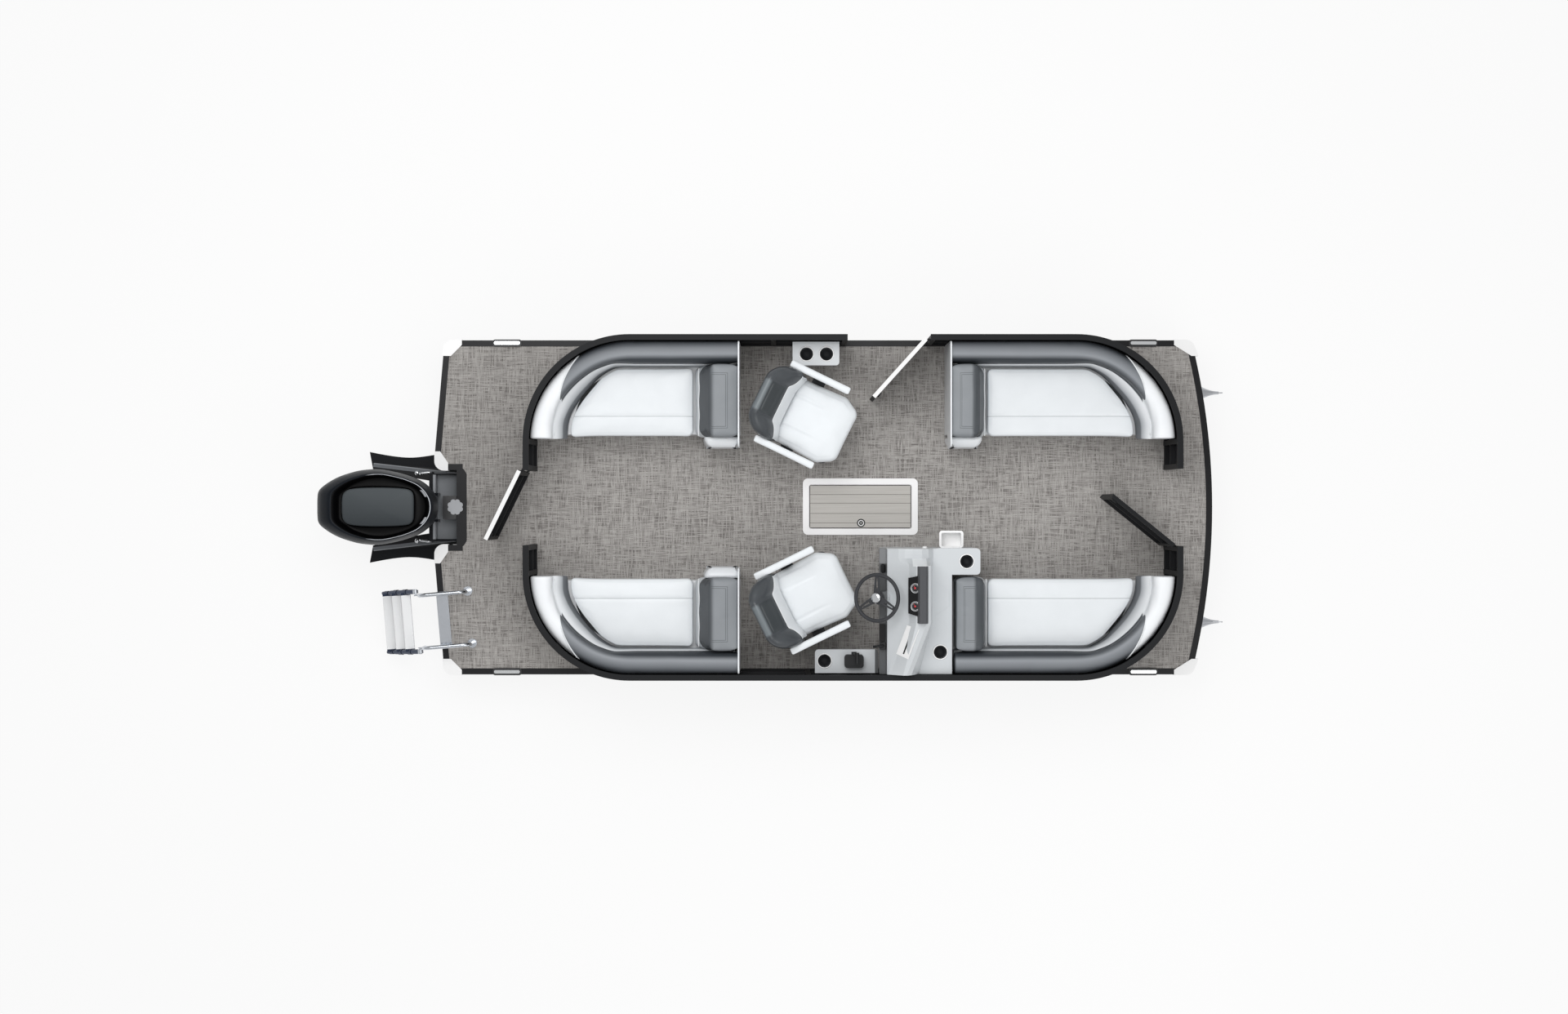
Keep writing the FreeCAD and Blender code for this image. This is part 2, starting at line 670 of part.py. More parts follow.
def fence_frame(name):
    """Rails and posts of one fence, with the hinge lugs that it carries."""
    points, inside = fence_paths()[name]
    low = FLOOR_Z + FENCE_FOOT
    under_top = FENCE_TOP_Z - RAIL_HEIGHT
    inner = FENCE_WIDTH
    outer = SKIN_THICK + FIT
    mid = mid_rail_low()
    shapes = [strip(points, inside, outer, inner, low, low + RAIL_HEIGHT),
              strip(points, inside, outer, inner, mid, mid + RAIL_HEIGHT * 0.7),
              strip(points, inside, 0, inner, under_top, FENCE_TOP_Z)]
    for spot, run in post_stations(points, inside):
        angle = math.degrees(math.atan2(run.y, run.x))
        reach = (inner - outer) * inside
        post = box(-POST_WIDTH / 2, POST_WIDTH / 2, min(0, reach), max(0, reach), FLOOR_Z, under_top)
        post.rotate(vec(0, 0, 0), vec(0, 0, 1), angle)
        shapes.append(moved(post, spot.x, spot.y, 0))
    for gate, owner in (("stern", "port_aft"), ("bow", "starboard"), ("side", "port_fwd")):
        if owner == name:
            shapes.extend(hinge_lugs(gate))
    return joined(shapes)


def fence_skins():
    """The sheet panels on the outside of the three fences."""
    sheets = []
    for points, inside in fence_paths().values():
        line = shortened(points, POST_WIDTH + 2)
        sheets.append(strip(line, inside, 0, SKIN_THICK, FLOOR_Z + FENCE_FOOT, FENCE_TOP_Z - RAIL_HEIGHT))
    return together(sheets)


def hinge_heights():
    return (FLOOR_Z + HINGE_FOOT_HEIGHT, FENCE_TOP_Z - RAIL_HEIGHT - HINGE_HEAD_DROP)


def gate_facts(gate):
    """Axis, heading when shut, length, body depths left of the axis, rest angle and lug box."""
    lug = 13.0
    if gate == "stern":
        x, y = STERN_HINGE
        return (x, y, -90.0, STERN_GATE_LENGTH, -26.0, 4.0, -STERN_GATE_ANGLE,
                (x, x + HINGE_STAND + SKIN_THICK + 5, y - 4, y + lug - 4))
    if gate == "bow":
        x, y = BOW_HINGE
        return (x, y, 90.0, BOW_GATE_LENGTH, -4.0, 26.0, BOW_GATE_ANGLE,
                (x, x + HINGE_STAND + 5, y - lug - 4, y + 2))
    x, y = SIDE_HINGE
    return (x, y, 180.0, SIDE_GATE_LENGTH, -34.0, -4.0, SIDE_GATE_ANGLE,
            (x, x + 12 + 5, y - 4, y + lug - 4))


def hinge_lugs(gate):
    """Two pins with their lugs on the fence post."""
    x, y, _, _, _, _, _, (x0, x1, y0, y1) = gate_facts(gate)
    shapes = []
    for z in hinge_heights():
        for z0, z1 in ((z - 20, z - 0.6), (z + HINGE_KNUCKLE + 0.6, z + HINGE_KNUCKLE + 20)):
            shapes.append(cylinder(vec(x, y, z0), vec(0, 0, 1), GATE_HINGE_R, z1 - z0))
            shapes.append(box(x0, x1, y0, y1, z0, z1))
        shapes.append(cylinder(vec(x, y, z - 12), vec(0, 0, 1), GATE_HINGE_PIN_R, HINGE_KNUCKLE + 24))
    return shapes


def gate(name):
    """Framed gate leaf with its sheet, hung on two knuckles and shown at its open angle."""
    x, y, heading, length, y0, y1, rest_angle, _ = gate_facts(name)
    low = FLOOR_Z + GATE_FLOOR_GAP
    start = GATE_BODY_START
    rail = GATE_RAIL
    leaf = box(start, length, y0, y1, low, FENCE_TOP_Z)
    window_z = ((low + rail, low + (FENCE_TOP_Z - low) * MID_RAIL_SHARE),
                (low + (FENCE_TOP_Z - low) * MID_RAIL_SHARE + rail * 0.8, FENCE_TOP_Z - rail))
    for z0, z1 in window_z:
        leaf = leaf.cut(box(start + rail, length - rail, y0 + SKIN_THICK, y1 + EPS, z0, z1))
    tab_y = (-4.0, 8.0) if y1 > 8 else (-8.0, 4.0)
    shapes = [leaf]
    for z in hinge_heights():
        shapes.append(cylinder(vec(0, 0, z), vec(0, 0, 1), GATE_HINGE_R, HINGE_KNUCKLE))
        shapes.append(box(0, start + 3, tab_y[0], tab_y[1], z, z + HINGE_KNUCKLE))
    latch_z = FENCE_TOP_Z - RAIL_HEIGHT
    shapes.append(box(length - LATCH_LENGTH * 1.5, length - LATCH_LENGTH / 2, y1, y1 + LATCH_PROUD,
                      latch_z - LATCH_HEIGHT / 2, latch_z + LATCH_HEIGHT / 2))
    whole = joined(shapes)
    middle = (y0 + y1) / 2
    whole = whole.cut(rounded_box(start + rail / 2, length - rail / 2, middle - GROOVE_WIDTH / 2,
                                  middle + GROOVE_WIDTH / 2, FENCE_TOP_Z - GROOVE_DEPTH, FENCE_TOP_Z + EPS,
                                  GROOVE_WIDTH * 0.4))
    for z in hinge_heights():
        bore = cylinder(vec(0, 0, z - EPS), vec(0, 0, 1), GATE_HINGE_PIN_R + FIT, HINGE_KNUCKLE + 2 * EPS)
        whole = whole.cut(bore)
    return moved(turned(whole, vec(0, 0, 0), vec(0, 0, 1), heading + rest_angle), x, y, 0)


# Lounges: u runs from the chaise end to the wrapped corner, v from the fence inwards
LOUNGE_AFT_X = -641.0
LOUNGE_FWD_X = 937.0
LOUNGE_FWD_STARBOARD_X = 972.0
LOUNGE_BASE_TOP = 300.0
LOUNGE_SEAT_THICK = 125.0
LOUNGE_BACK_TOP = 640.0
LOUNGE_DEPTH = 723.0
LOUNGE_BACK_THICK = 178.0
LOUNGE_END_THICK = 262.0
LOUNGE_TOE = 28.0
LOUNGE_CURVE = 375.0
BACK_LEAN = 23.0
LOUNGE_SEAT_STARTS = {("port", "aft"): 346.0, ("starboard", "aft"): 346.0, ("port", "fwd"): 289.0,
                      ("starboard", "fwd"): 254.0}
CHAISE_RAKE = 46.0
LOUNGE_WALL = 12.0
LOUNGE_SHELF = 40.0
CHAISE_TOP = 655.0
END_CAP_REACH = 78.0
END_CAP_LENGTH = 292.0
END_CAP_TOP = 520.0
SOFT_GAP = 12.0
SEAT_EDGE_ROUND = 25.0
WALL_GAP = 4.0

# Captain's chairs
CHAIR_X = -150.0
CHAIR_SIDE_INSET = 612.5
CHAIR_AXIS_AFT = 40.0
CHAIR_YAW = 26.0
PEDESTAL_BASE_R = 150.0
PEDESTAL_R = 42.0
PEDESTAL_TOP = 300.0
PEDESTAL_PLATE = 8.0
PEDESTAL_FLARE = 30.0
PEDESTAL_FLARE_HEIGHT = 40.0
SWIVEL_R = 95.0
SWIVEL_THICK = 14.0
SLIDE_LENGTH = 300.0
SLIDE_WIDTH = 220.0
PAN_UNDER = 332.0
PAN_PLAN = ((-330.0, -150.0, 30.0), (-200.0, -262.0, 60.0), (300.0, -262.0, 60.0),
            (300.0, 262.0, 60.0), (-200.0, 262.0, 60.0), (-330.0, 150.0, 30.0))
STRUT_X = (-322.0, -286.0)
STRUT_HALF = 120.0
ARM_FOOT_X = (-70.0, 30.0)
ARM_STAND_X = (-60.0, 20.0)
ARM_FOOT_Y = (240.0, 322.0)
ARM_STAND_Y = (298.0, 322.0)
CHAIR_SEAT_PLAN = ((-192.0, -268.0, 60.0), (231.0, -285.0, 60.0), (366.0, -215.0, 75.0),
                   (366.0, 215.0, 75.0), (231.0, 285.0, 60.0), (-192.0, 268.0, 60.0))
CHAIR_BACK_FRONT = -128.0
CHAIR_BACK_REAR = -300.0
CHAIR_BACK_HALF = 232.0
CHAIR_BACK_ROUND = 110.0
CHAIR_SEAT_LOW = 346.0
CHAIR_SEAT_TOP = 490.0
CHAIR_BACK_LOW = 494.0
CHAIR_BACK_TOP = 900.0
CHAIR_BACK_RAKE = 48.0
CHAIR_BACK_THICK = 94.0
CHAIR_ARM_TOP = 680.0
CHAIR_ARM_THICK = 46.0
CHAIR_ARM_IN = 282.0
CHAIR_ARM_OUT = 338.0
CHAIR_ARM_FRONT = 221.0
CHAIR_ARM_REAR = -269.0

CHAIR_Y = HALF_BEAM - CHAIR_SIDE_INSET
FENCE_IN_Y = HALF_BEAM - FENCE_WIDTH
AFT_LENGTH = LOUNGE_AFT_X - (FENCE_STERN_X + FENCE_WIDTH)
FWD_LENGTH = (FENCE_BOW_X - FENCE_WIDTH) - LOUNGE_FWD_X
FWD_STARBOARD_LENGTH = (FENCE_BOW_X - FENCE_WIDTH) - LOUNGE_FWD_STARBOARD_X


def lounge_place(shape, where):
    """Carry a lounge piece from its (u, v) plan to its corner of the boat."""
    side, end = where
    if end == "aft":
        out = turned(shape, vec(0, 0, 0), vec(0, 0, 1), 180)
        out = moved(out, LOUNGE_AFT_X, FENCE_IN_Y, DECK_TOP)
    else:
        start = LOUNGE_FWD_X if side == "port" else LOUNGE_FWD_STARBOARD_X
        out = shape.mirror(vec(0, 0, 0), vec(0, 1, 0))
        out = moved(out, start, FENCE_IN_Y, DECK_TOP)
    return out if side == "port" else mirrored(out)


def lounge_length(where):
    if where[1] == "aft":
        return AFT_LENGTH
    return FWD_LENGTH if where[0] == "port" else FWD_STARBOARD_LENGTH


def lounge_block(length, depth, z0, z1):
    """Upright block against the fence, rounded like the fence corner and cut off at its depth."""
    corner = FENCE_CORNER_R - FENCE_WIDTH - WALL_GAP
    far = length - WALL_GAP
    against_fence = prism([(0, WALL_GAP), (far, WALL_GAP, corner), (far, WALL_GAP + corner + EPS),
                           (0, WALL_GAP + corner + EPS)], z0, z1)
    return against_fence.common(rounded_box(-50, far + 50, WALL_GAP - 50, depth, z0, z1, 20))


def seat_outline(where, inset):
    """Plan of the seat cushion with its curved outboard corner."""
    u0 = LOUNGE_SEAT_STARTS[where] + inset
    u1 = lounge_length(where) - LOUNGE_END_THICK - SOFT_GAP - inset
    v0 = LOUNGE_BACK_THICK + SOFT_GAP + inset
    return [(u0, v0, 8), (u1, v0, LOUNGE_CURVE), (u1, LOUNGE_DEPTH - inset, 45),
            (u0, LOUNGE_DEPTH - inset, 12)]


def lounge_base(where):
    """Moulded seat base with a storage well that the seat lid covers."""
    outer = lounge_block(lounge_length(where), LOUNGE_DEPTH - LOUNGE_TOE, 0, LOUNGE_BASE_TOP)
    well = prism(seat_outline(where, LOUNGE_SHELF), LOUNGE_WALL, LOUNGE_BASE_TOP + EPS)
    return lounge_place(outer.cut(well), where)


def lounge_seat(where):
    """Seat cushion on its lid, its outboard edges rounded about the hinge line to swing clear."""
    length = lounge_length(where)
    low = LOUNGE_BASE_TOP + FIT
    pad = prism(seat_outline(where, 0), low, LOUNGE_BASE_TOP + LOUNGE_SEAT_THICK)
    v0 = LOUNGE_BACK_THICK + SOFT_GAP
    top = LOUNGE_BASE_TOP + LOUNGE_SEAT_THICK
    edge = SEAT_EDGE_ROUND
    corner = prism_x([(v0 - EPS, top - edge, 0), (v0 + edge, top - edge, 0), (v0 + edge, top + EPS, 0),
                      (v0 - EPS, top + EPS, 0)], 0, length)
    round_bar = cylinder(vec(0, v0 + edge, top - edge), vec(1, 0, 0), edge, length)
    heel = prism_x([(v0 - EPS, low - EPS, 0), (v0 + edge, low - EPS, 0), (v0 + edge, top - edge, 0),
                    (v0 - EPS, top - edge, 0)], 0, length)
    swing_bar = cylinder(vec(0, v0 + edge, top - edge), vec(1, 0, 0), top - edge - low, length)
    return lounge_place(cut(pad, corner.cut(round_bar), heel.cut(swing_bar)), where)


def seat_space_wire(length, rake, z):
    """Plan of the space that the wrapped backrest leaves for the seat, at one height."""
    u = length - LOUNGE_END_THICK + rake
    v = LOUNGE_BACK_THICK - rake * 0.4
    wire = Part.Wire(rounded_edges([(-50, v, 0), (u, v, LOUNGE_CURVE + SOFT_GAP), (u, LOUNGE_DEPTH + 50, 0),
                                    (-50, LOUNGE_DEPTH + 50, 0)]))
    wire.translate(vec(0, 0, z))
    return wire


def lounge_back(where):
    """Wrapped backrest along the fence and the raked chaise back with its end cap."""
    length = lounge_length(where)
    low = LOUNGE_BASE_TOP + FIT
    block = lounge_block(length, LOUNGE_DEPTH + 6, low, LOUNGE_BACK_TOP)
    slope = BACK_LEAN / (LOUNGE_BACK_TOP - low)
    wires = [seat_space_wire(length, -slope, low - 1),
             seat_space_wire(length, BACK_LEAN + slope, LOUNGE_BACK_TOP + 1)]
    space = Part.makeLoft(wires, True, True)
    wrap = block.cut(space)
    v0 = LOUNGE_BACK_THICK + FIT
    v1 = LOUNGE_DEPTH + 2
    foot = LOUNGE_SEAT_STARTS[where] - SOFT_GAP
    profile = [(0, low, 0), (foot, low, 0), (foot, LOUNGE_BASE_TOP + 110, 30),
               (foot - CHAISE_RAKE, CHAISE_TOP, 30), (0, CHAISE_TOP, 12)]
    chaise = prism_y(profile, v0, v1)
    shapes = [wrap, chaise]
    if where != ("starboard", "fwd"):
        cap_end = min(END_CAP_LENGTH, foot)
        cap = prism([(0, v1 - EPS, 0), (0, v1 + END_CAP_REACH, 34), (cap_end, v1 + END_CAP_REACH, 34),
                     (cap_end, v1 - EPS, 0)], 0, END_CAP_TOP)
        shapes[1] = joined([chaise, cap.cut(box(-EPS, length, 0, v1, 0, low))])
    return together([lounge_place(s, where) for s in shapes])


def chair_place(shape, side):
    """Carry a chair piece from its own frame to its pedestal; the port chair looks inboard."""
    out = turned(shape, vec(0, 0, 0), vec(0, 0, 1), -CHAIR_YAW)
    out = moved(out, CHAIR_X, CHAIR_Y, DECK_TOP)
    return out if side == "port" else mirrored(out)


def chair_pedestals():
    """Two posts with their foot plates and swivel heads."""
    plate = cylinder(vec(0, 0, 0), vec(0, 0, 1), PEDESTAL_BASE_R, PEDESTAL_PLATE)
    cone = Part.makeCone(PEDESTAL_R + PEDESTAL_FLARE, PEDESTAL_R, PEDESTAL_FLARE_HEIGHT,
                         vec(0, 0, PEDESTAL_PLATE))
    post = cylinder(vec(0, 0, PEDESTAL_PLATE), vec(0, 0, 1), PEDESTAL_R, PEDESTAL_TOP - PEDESTAL_PLATE)
    head = cylinder(vec(0, 0, PEDESTAL_TOP - SWIVEL_THICK), vec(0, 0, 1), SWIVEL_R, SWIVEL_THICK)
    pedestal = moved(joined([plate, cone, post, head]), -CHAIR_AXIS_AFT, 0, 0)
    return together([chair_place(pedestal, "port"), chair_place(pedestal, "starboard")])


def chair_shell(side):
    """Swivel plate, seat pan, back strut and arm stands."""
    swivel = cylinder(vec(-CHAIR_AXIS_AFT, 0, PEDESTAL_TOP + FIT), vec(0, 0, 1), SWIVEL_R, SWIVEL_THICK)
    slide = box(-SLIDE_LENGTH / 2 - CHAIR_AXIS_AFT, SLIDE_LENGTH / 2 - CHAIR_AXIS_AFT, -SLIDE_WIDTH / 2,
                SLIDE_WIDTH / 2, PEDESTAL_TOP + SWIVEL_THICK - EPS, PAN_UNDER)
    pan_top = CHAIR_SEAT_LOW - FIT
    pan = prism(PAN_PLAN, PAN_UNDER - EPS, pan_top)
    strut = box(STRUT_X[0], STRUT_X[1], -STRUT_HALF, STRUT_HALF, pan_top - EPS, CHAIR_BACK_LOW - FIT)
    foot = box(ARM_FOOT_X[0], ARM_FOOT_X[1], ARM_FOOT_Y[0], ARM_FOOT_Y[1], PAN_UNDER, pan_top)
    stand = box(ARM_STAND_X[0], ARM_STAND_X[1], ARM_STAND_Y[0], ARM_STAND_Y[1], pan_top - EPS,
                CHAIR_ARM_TOP - CHAIR_ARM_THICK - FIT)
    arm = joined([foot, stand])
    return chair_place(joined([swivel, slide, pan, strut, arm, mirrored(arm)]), side)


def chair_seat(side):
    """Seat cushion of a swivel chair."""
    return chair_place(prism(CHAIR_SEAT_PLAN, CHAIR_SEAT_LOW, CHAIR_SEAT_TOP), side)


def chair_back_wire(shift, z):
    """Plan of the wrapped chair back at one height."""
    half = CHAIR_BACK_THICK / 2
    front, rear = CHAIR_BACK_FRONT + shift, CHAIR_BACK_REAR + shift
    line = [(front, CHAIR_BACK_HALF), (rear, CHAIR_BACK_HALF, CHAIR_BACK_ROUND),
            (rear, -CHAIR_BACK_HALF, CHAIR_BACK_ROUND), (front, -CHAIR_BACK_HALF)]
    wire = Part.Wire(rounded_edges(offset_path(line, half) + offset_path(line, -half)[::-1]))
    wire.translate(vec(0, 0, z))
    return wire


def chair_back(side):
    """Wrapped back cushion that leans aft as it rises."""
    wires = [chair_back_wire(0, CHAIR_BACK_LOW), chair_back_wire(-CHAIR_BACK_RAKE, CHAIR_BACK_TOP)]
    return chair_place(Part.makeLoft(wires, True, True), side)


def chair_arms(side):
    """Two padded armrests."""
    low = CHAIR_ARM_TOP - CHAIR_ARM_THICK
    pad = rounded_box(CHAIR_ARM_REAR, CHAIR_ARM_FRONT, CHAIR_ARM_IN, CHAIR_ARM_OUT, low, CHAIR_ARM_TOP, 20)
    return together([chair_place(pad, side), chair_place(mirrored(pad), side)])


# Helm
CONSOLE_IN_Y = -306.0
CONSOLE_FWD_X = 952.0
CONSOLE_FACE_X = 407.0
CONSOLE_POD_IN = 124.0
CONSOLE_POD_RAMP = 50.0
CONSOLE_POD_OUT = 554.0
CONSOLE_EDGE_ROUND = 12.0
CONSOLE_WING_X = 1165.0
CONSOLE_WING_Y = -505.0
CONSOLE_WING_LAP = 130.0
CONSOLE_WING_ROUND = 30.0
CONSOLE_SHELF_TOP = 600.0
THROTTLE_LENGTH = 145.0
THROTTLE_WIDTH = 100.0
THROTTLE_HEIGHT = 70.0
LEVER_WIDTH = 32.0
LEVER_LENGTH = 124.0
BIN_X = (873.0, 1043.0)
BIN_IN_REACH = 124.0
BIN_TOP = 452.0
BIN_DEPTH = 122.0
BIN_WALL = 10.0
BIN_RIM = 6.0
BIN_ROUND = 18.0
CUP_R = 46.0
CUP_DEPTH = 72.0
CUP_RIM_R = 55.0
CUP_RIM_THICK = 3.0
WHEEL_X = 383.0
WHEEL_HEIGHT = 780.0
HELM_INSET = 365.0
WHEEL_TILT = 25.5
WHEEL_R = 171.0
WHEEL_RIM_R = 14.0
WHEEL_SHAFT_R = 12.0
SHELF_TOP = 455.0
SHELF_THICK = 78.0
SHELF_ROUND = 26.0
SHELF_DEPTH = 178.5
SHELF_APRON_THICK = 10.0
SHELF_APRON_INSET = 24.0
SHELF_APRON_DROP = 12.0
LEDGE_AFT_X = -73.0
LEDGE_CUPS_X = (-1.0,)
PORT_SHELF_X = (-242.0, 111.0)
PORT_CUPS_X = (-137.0, 14.0)
CUP_LINE_INSET = 92.5
THROTTLE_X = 221.0
CUP_WING_X = 1063.0
CUP_WING_INSET = 99.0
CUP_TOP_X = 865.0
CUP_TOP_INSET = 167.5
BOSS_R = 52.0
BOSS_LENGTH = 150.0
WHEEL_HUB_DEPTH = 18.0
WHEEL_STANDOFF = 28.0
WHEEL_SHAFT_LENGTH = 110.0
SPOKE_ROOT = 54.0
SPOKE_TIP = 26.0
SPOKE_THICK = 12.0
SLOT_START = 72.0
SLOT_END = 146.0
SLOT_WIDTH = 8.0
HUB_CAP_R = 24.0
GAUGE_PANEL_HALF = 151.0
GAUGE_PANEL_SHIFT = 16.0
GAUGE_PANEL_THICK = 6.0
GAUGE_R = 38.0
GAUGE_PITCH = 145.0
GAUGE_SHIFT = 28.5
VISOR_IN = 129.0
VISOR_OUT = 549.0
EMBOSS_DEPTH = 3.0

# Side views of the console as (x, height above the deck): its middle with the gauge pod, and both ends
CONSOLE_POD = ((440.0, 0.0), (CONSOLE_FACE_X, 540.0), (409.0, 606.0), (455.0, 628.0), (466.0, 668.0),
               (563.0, 742.0), (622.0, 790.0), (668.0, 880.0), (742.0, 905.0), (775.0, 880.0),
               (806.0, CONSOLE_SHELF_TOP), (CONSOLE_FWD_X, CONSOLE_SHELF_TOP), (CONSOLE_FWD_X, 0.0))
CONSOLE_IN_END = ((440.0, 0.0), (CONSOLE_FACE_X, 540.0), (409.0, 606.0), (455.0, 628.0), (466.0, 668.0),
                  (545.0, 722.0), (590.0, 738.0), (650.0, 742.0), (720.0, 738.0), (770.0, 705.0),
                  (812.0, CONSOLE_SHELF_TOP), (CONSOLE_FWD_X, CONSOLE_SHELF_TOP), (CONSOLE_FWD_X, 0.0))
CONSOLE_OUT_END = ((440.0, 0.0), (CONSOLE_FACE_X, 540.0), (409.0, 606.0), (455.0, 628.0), (462.0, 655.0),
                   (470.0, 668.0), (486.0, 682.0), (578.0, 770.0), (606.0, 775.0), (640.0, 742.0),
                   (706.0, CONSOLE_SHELF_TOP), (CONSOLE_FWD_X, CONSOLE_SHELF_TOP), (CONSOLE_FWD_X, 0.0))
VISOR_PROFILE = ((676.0, 880.0, 0.0), (690.0, 962.0, 8.0), (742.0, 950.0, 14.0), (760.0, 880.0, 0.0))
EMBOSS_PLAN = ((832.0, -250.0), (890.0, -290.0), (934.0, -330.0), (934.0, -430.0), (890.0, -468.0),
               (832.0, -500.0))

HELM_Y = CONSOLE_IN_Y - HELM_INSET
SHELF_IN_Y = FENCE_IN_Y - SHELF_DEPTH
CUP_LINE_Y = FENCE_IN_Y - CUP_LINE_INSET


def helm_cups():
    """Places of the two cup wells in the console's top."""
    return ((CUP_WING_X, CONSOLE_IN_Y - CUP_WING_INSET), (CUP_TOP_X, -(FENCE_IN_Y - CUP_TOP_INSET)))


def cup_hole(x, y, top):
    return cylinder(vec(x, y, top - CUP_DEPTH), vec(0, 0, 1), CUP_R, CUP_DEPTH + 20)


def cup_rim(x, y, top):
    return cylinder(vec(x, y, top - EPS), vec(0, 0, 1), CUP_RIM_R, CUP_RIM_THICK + EPS)


def wheel_axis():
    tilt = math.radians(WHEEL_TILT)
    return vec(-math.sin(tilt), 0, math.cos(tilt))


def wheel_point(distance):
    """A point on the steering axis, measured from the wheel centre towards the driver."""
    return vec(WHEEL_X, HELM_Y, DECK_TOP + WHEEL_HEIGHT) + wheel_axis() * distance


def console_wire(profile, y):
    corners = [vec(x, y, DECK_TOP + z) for x, z in profile]
    return Part.makePolygon(corners + corners[:1])


def console_body():
    """Faceted dash: straight surfaces between the side views of its ends and of the raised gauge pod."""
    pod_in = CONSOLE_IN_Y - CONSOLE_POD_IN
    sections = ((CONSOLE_IN_END, CONSOLE_IN_Y), (CONSOLE_IN_END, pod_in + CONSOLE_POD_RAMP),
                (CONSOLE_POD, pod_in), (CONSOLE_POD, CONSOLE_IN_Y - CONSOLE_POD_OUT),
                (CONSOLE_OUT_END, -(FENCE_IN_Y - WALL_GAP)))
    spans = []
    for (first, y0), (second, y1) in zip(sections, sections[1:]):
        spans.append(Part.makeLoft([console_wire(first, y0), console_wire(second, y1)], True, True))
    return joined(spans)


def softened_end(body):
    """Round the long edges of the console's inboard end."""
    edges = []
    for edge in body.Edges:
        ends = [v.Point for v in edge.Vertexes]
        if all(abs(p.y - CONSOLE_IN_Y) < 0.1 and p.z > DECK_TOP + CONSOLE_SHELF_TOP - EPS for p in ends):
            edges.append(edge)
    return body.makeFillet(CONSOLE_EDGE_ROUND, edges)


def helm_console():
    """Moulded console with a wing, cup wells and the steering boss."""
    top = DECK_TOP + CONSOLE_SHELF_TOP
    wing = rounded_box(CONSOLE_FWD_X - CONSOLE_WING_LAP, CONSOLE_WING_X, CONSOLE_WING_Y, CONSOLE_IN_Y,
                       DECK_TOP, top, CONSOLE_WING_ROUND)
    boss = cylinder(wheel_point(-WHEEL_STANDOFF), wheel_axis() * -1, BOSS_R, BOSS_LENGTH)
    rims = [cup_rim(x, y, top) for x, y in helm_cups()]
    whole = joined([softened_end(console_body()), wing, boss] + rims)
    holes = [cup_hole(x, y, top) for x, y in helm_cups()]
    depth = WHEEL_SHAFT_LENGTH + 2 * MOVE_GAP
    bore = cylinder(wheel_point(0), wheel_axis() * -1, WHEEL_SHAFT_R + FIT, depth)
    emboss = prism([(x, CONSOLE_IN_Y + y) for x, y in EMBOSS_PLAN], top - EMBOSS_DEPTH, top + EPS)
    return cut(whole, bore, emboss, *holes)


def steering_wheel():
    """Rim, three spokes, hub and the shaft that turns in the boss."""
    rim = Part.makeTorus(WHEEL_R, WHEEL_RIM_R)
    hub = Part.makeCone(HUB_CAP_R * 1.9, HUB_CAP_R * 1.4, 2 * WHEEL_HUB_DEPTH, vec(0, 0, -WHEEL_HUB_DEPTH))
    cap = Part.makeSphere(HUB_CAP_R, vec(0, 0, WHEEL_HUB_DEPTH - HUB_CAP_R * 0.7))
    shapes = [rim, hub, cap]
    spoke = prism([(HUB_CAP_R, -SPOKE_ROOT / 2), (WHEEL_R, -SPOKE_TIP / 2), (WHEEL_R, SPOKE_TIP / 2),
                   (HUB_CAP_R, SPOKE_ROOT / 2)], -SPOKE_THICK / 2, SPOKE_THICK / 2)
    slot = prism([(SLOT_START, -SLOT_WIDTH, 4), (SLOT_END, -SLOT_WIDTH / 2, 3),
                  (SLOT_END, SLOT_WIDTH / 2, 3), (SLOT_START, SLOT_WIDTH, 4)], -SPOKE_THICK, SPOKE_THICK)
    for angle in (90, 210, 330):
        shapes.append(turned(spoke.cut(slot), vec(0, 0, 0), vec(0, 0, 1), angle))
    shapes.append(cylinder(vec(0, 0, -WHEEL_SHAFT_LENGTH), vec(0, 0, 1), WHEEL_SHAFT_R, WHEEL_SHAFT_LENGTH))
    wheel = joined(shapes)
    wheel = turned(wheel, vec(0, 0, 0), vec(0, 1, 0), -WHEEL_TILT)
    centre = wheel_point(0)
    return moved(wheel, centre.x, centre.y, centre.z)


def gauge_panel():
    """Black panel on the dash slope with two round gauge housings."""
    low = vec(CONSOLE_POD[6][0], 0, DECK_TOP + CONSOLE_POD[6][1])
    high = vec(CONSOLE_POD[7][0], 0, DECK_TOP + CONSOLE_POD[7][1])
    run = (high - low).normalize()
    out = vec(-run.z, 0, run.x)
    a = low + run * (2 * MOVE_GAP) + out * FIT
    b = high - run * (2 * MOVE_GAP) + out * FIT
    c = b + out * GAUGE_PANEL_THICK
    d = a + out * GAUGE_PANEL_THICK
    middle_y = HELM_Y + GAUGE_PANEL_SHIFT
    plate = prism_y([(p.x, p.z, 0) for p in (a, b, c, d)], middle_y - GAUGE_PANEL_HALF,
                    middle_y + GAUGE_PANEL_HALF)
    middle = (c + d) * 0.5
    shapes = [plate]
    for s in (-1, 1):
        spot = vec(middle.x, HELM_Y + GAUGE_SHIFT + s * GAUGE_PITCH / 2, middle.z)
        foot = spot - out * (GAUGE_PANEL_THICK / 3)
        shapes.append(cylinder(foot, out, GAUGE_R, 2 * GAUGE_PANEL_THICK))
    return joined(shapes)


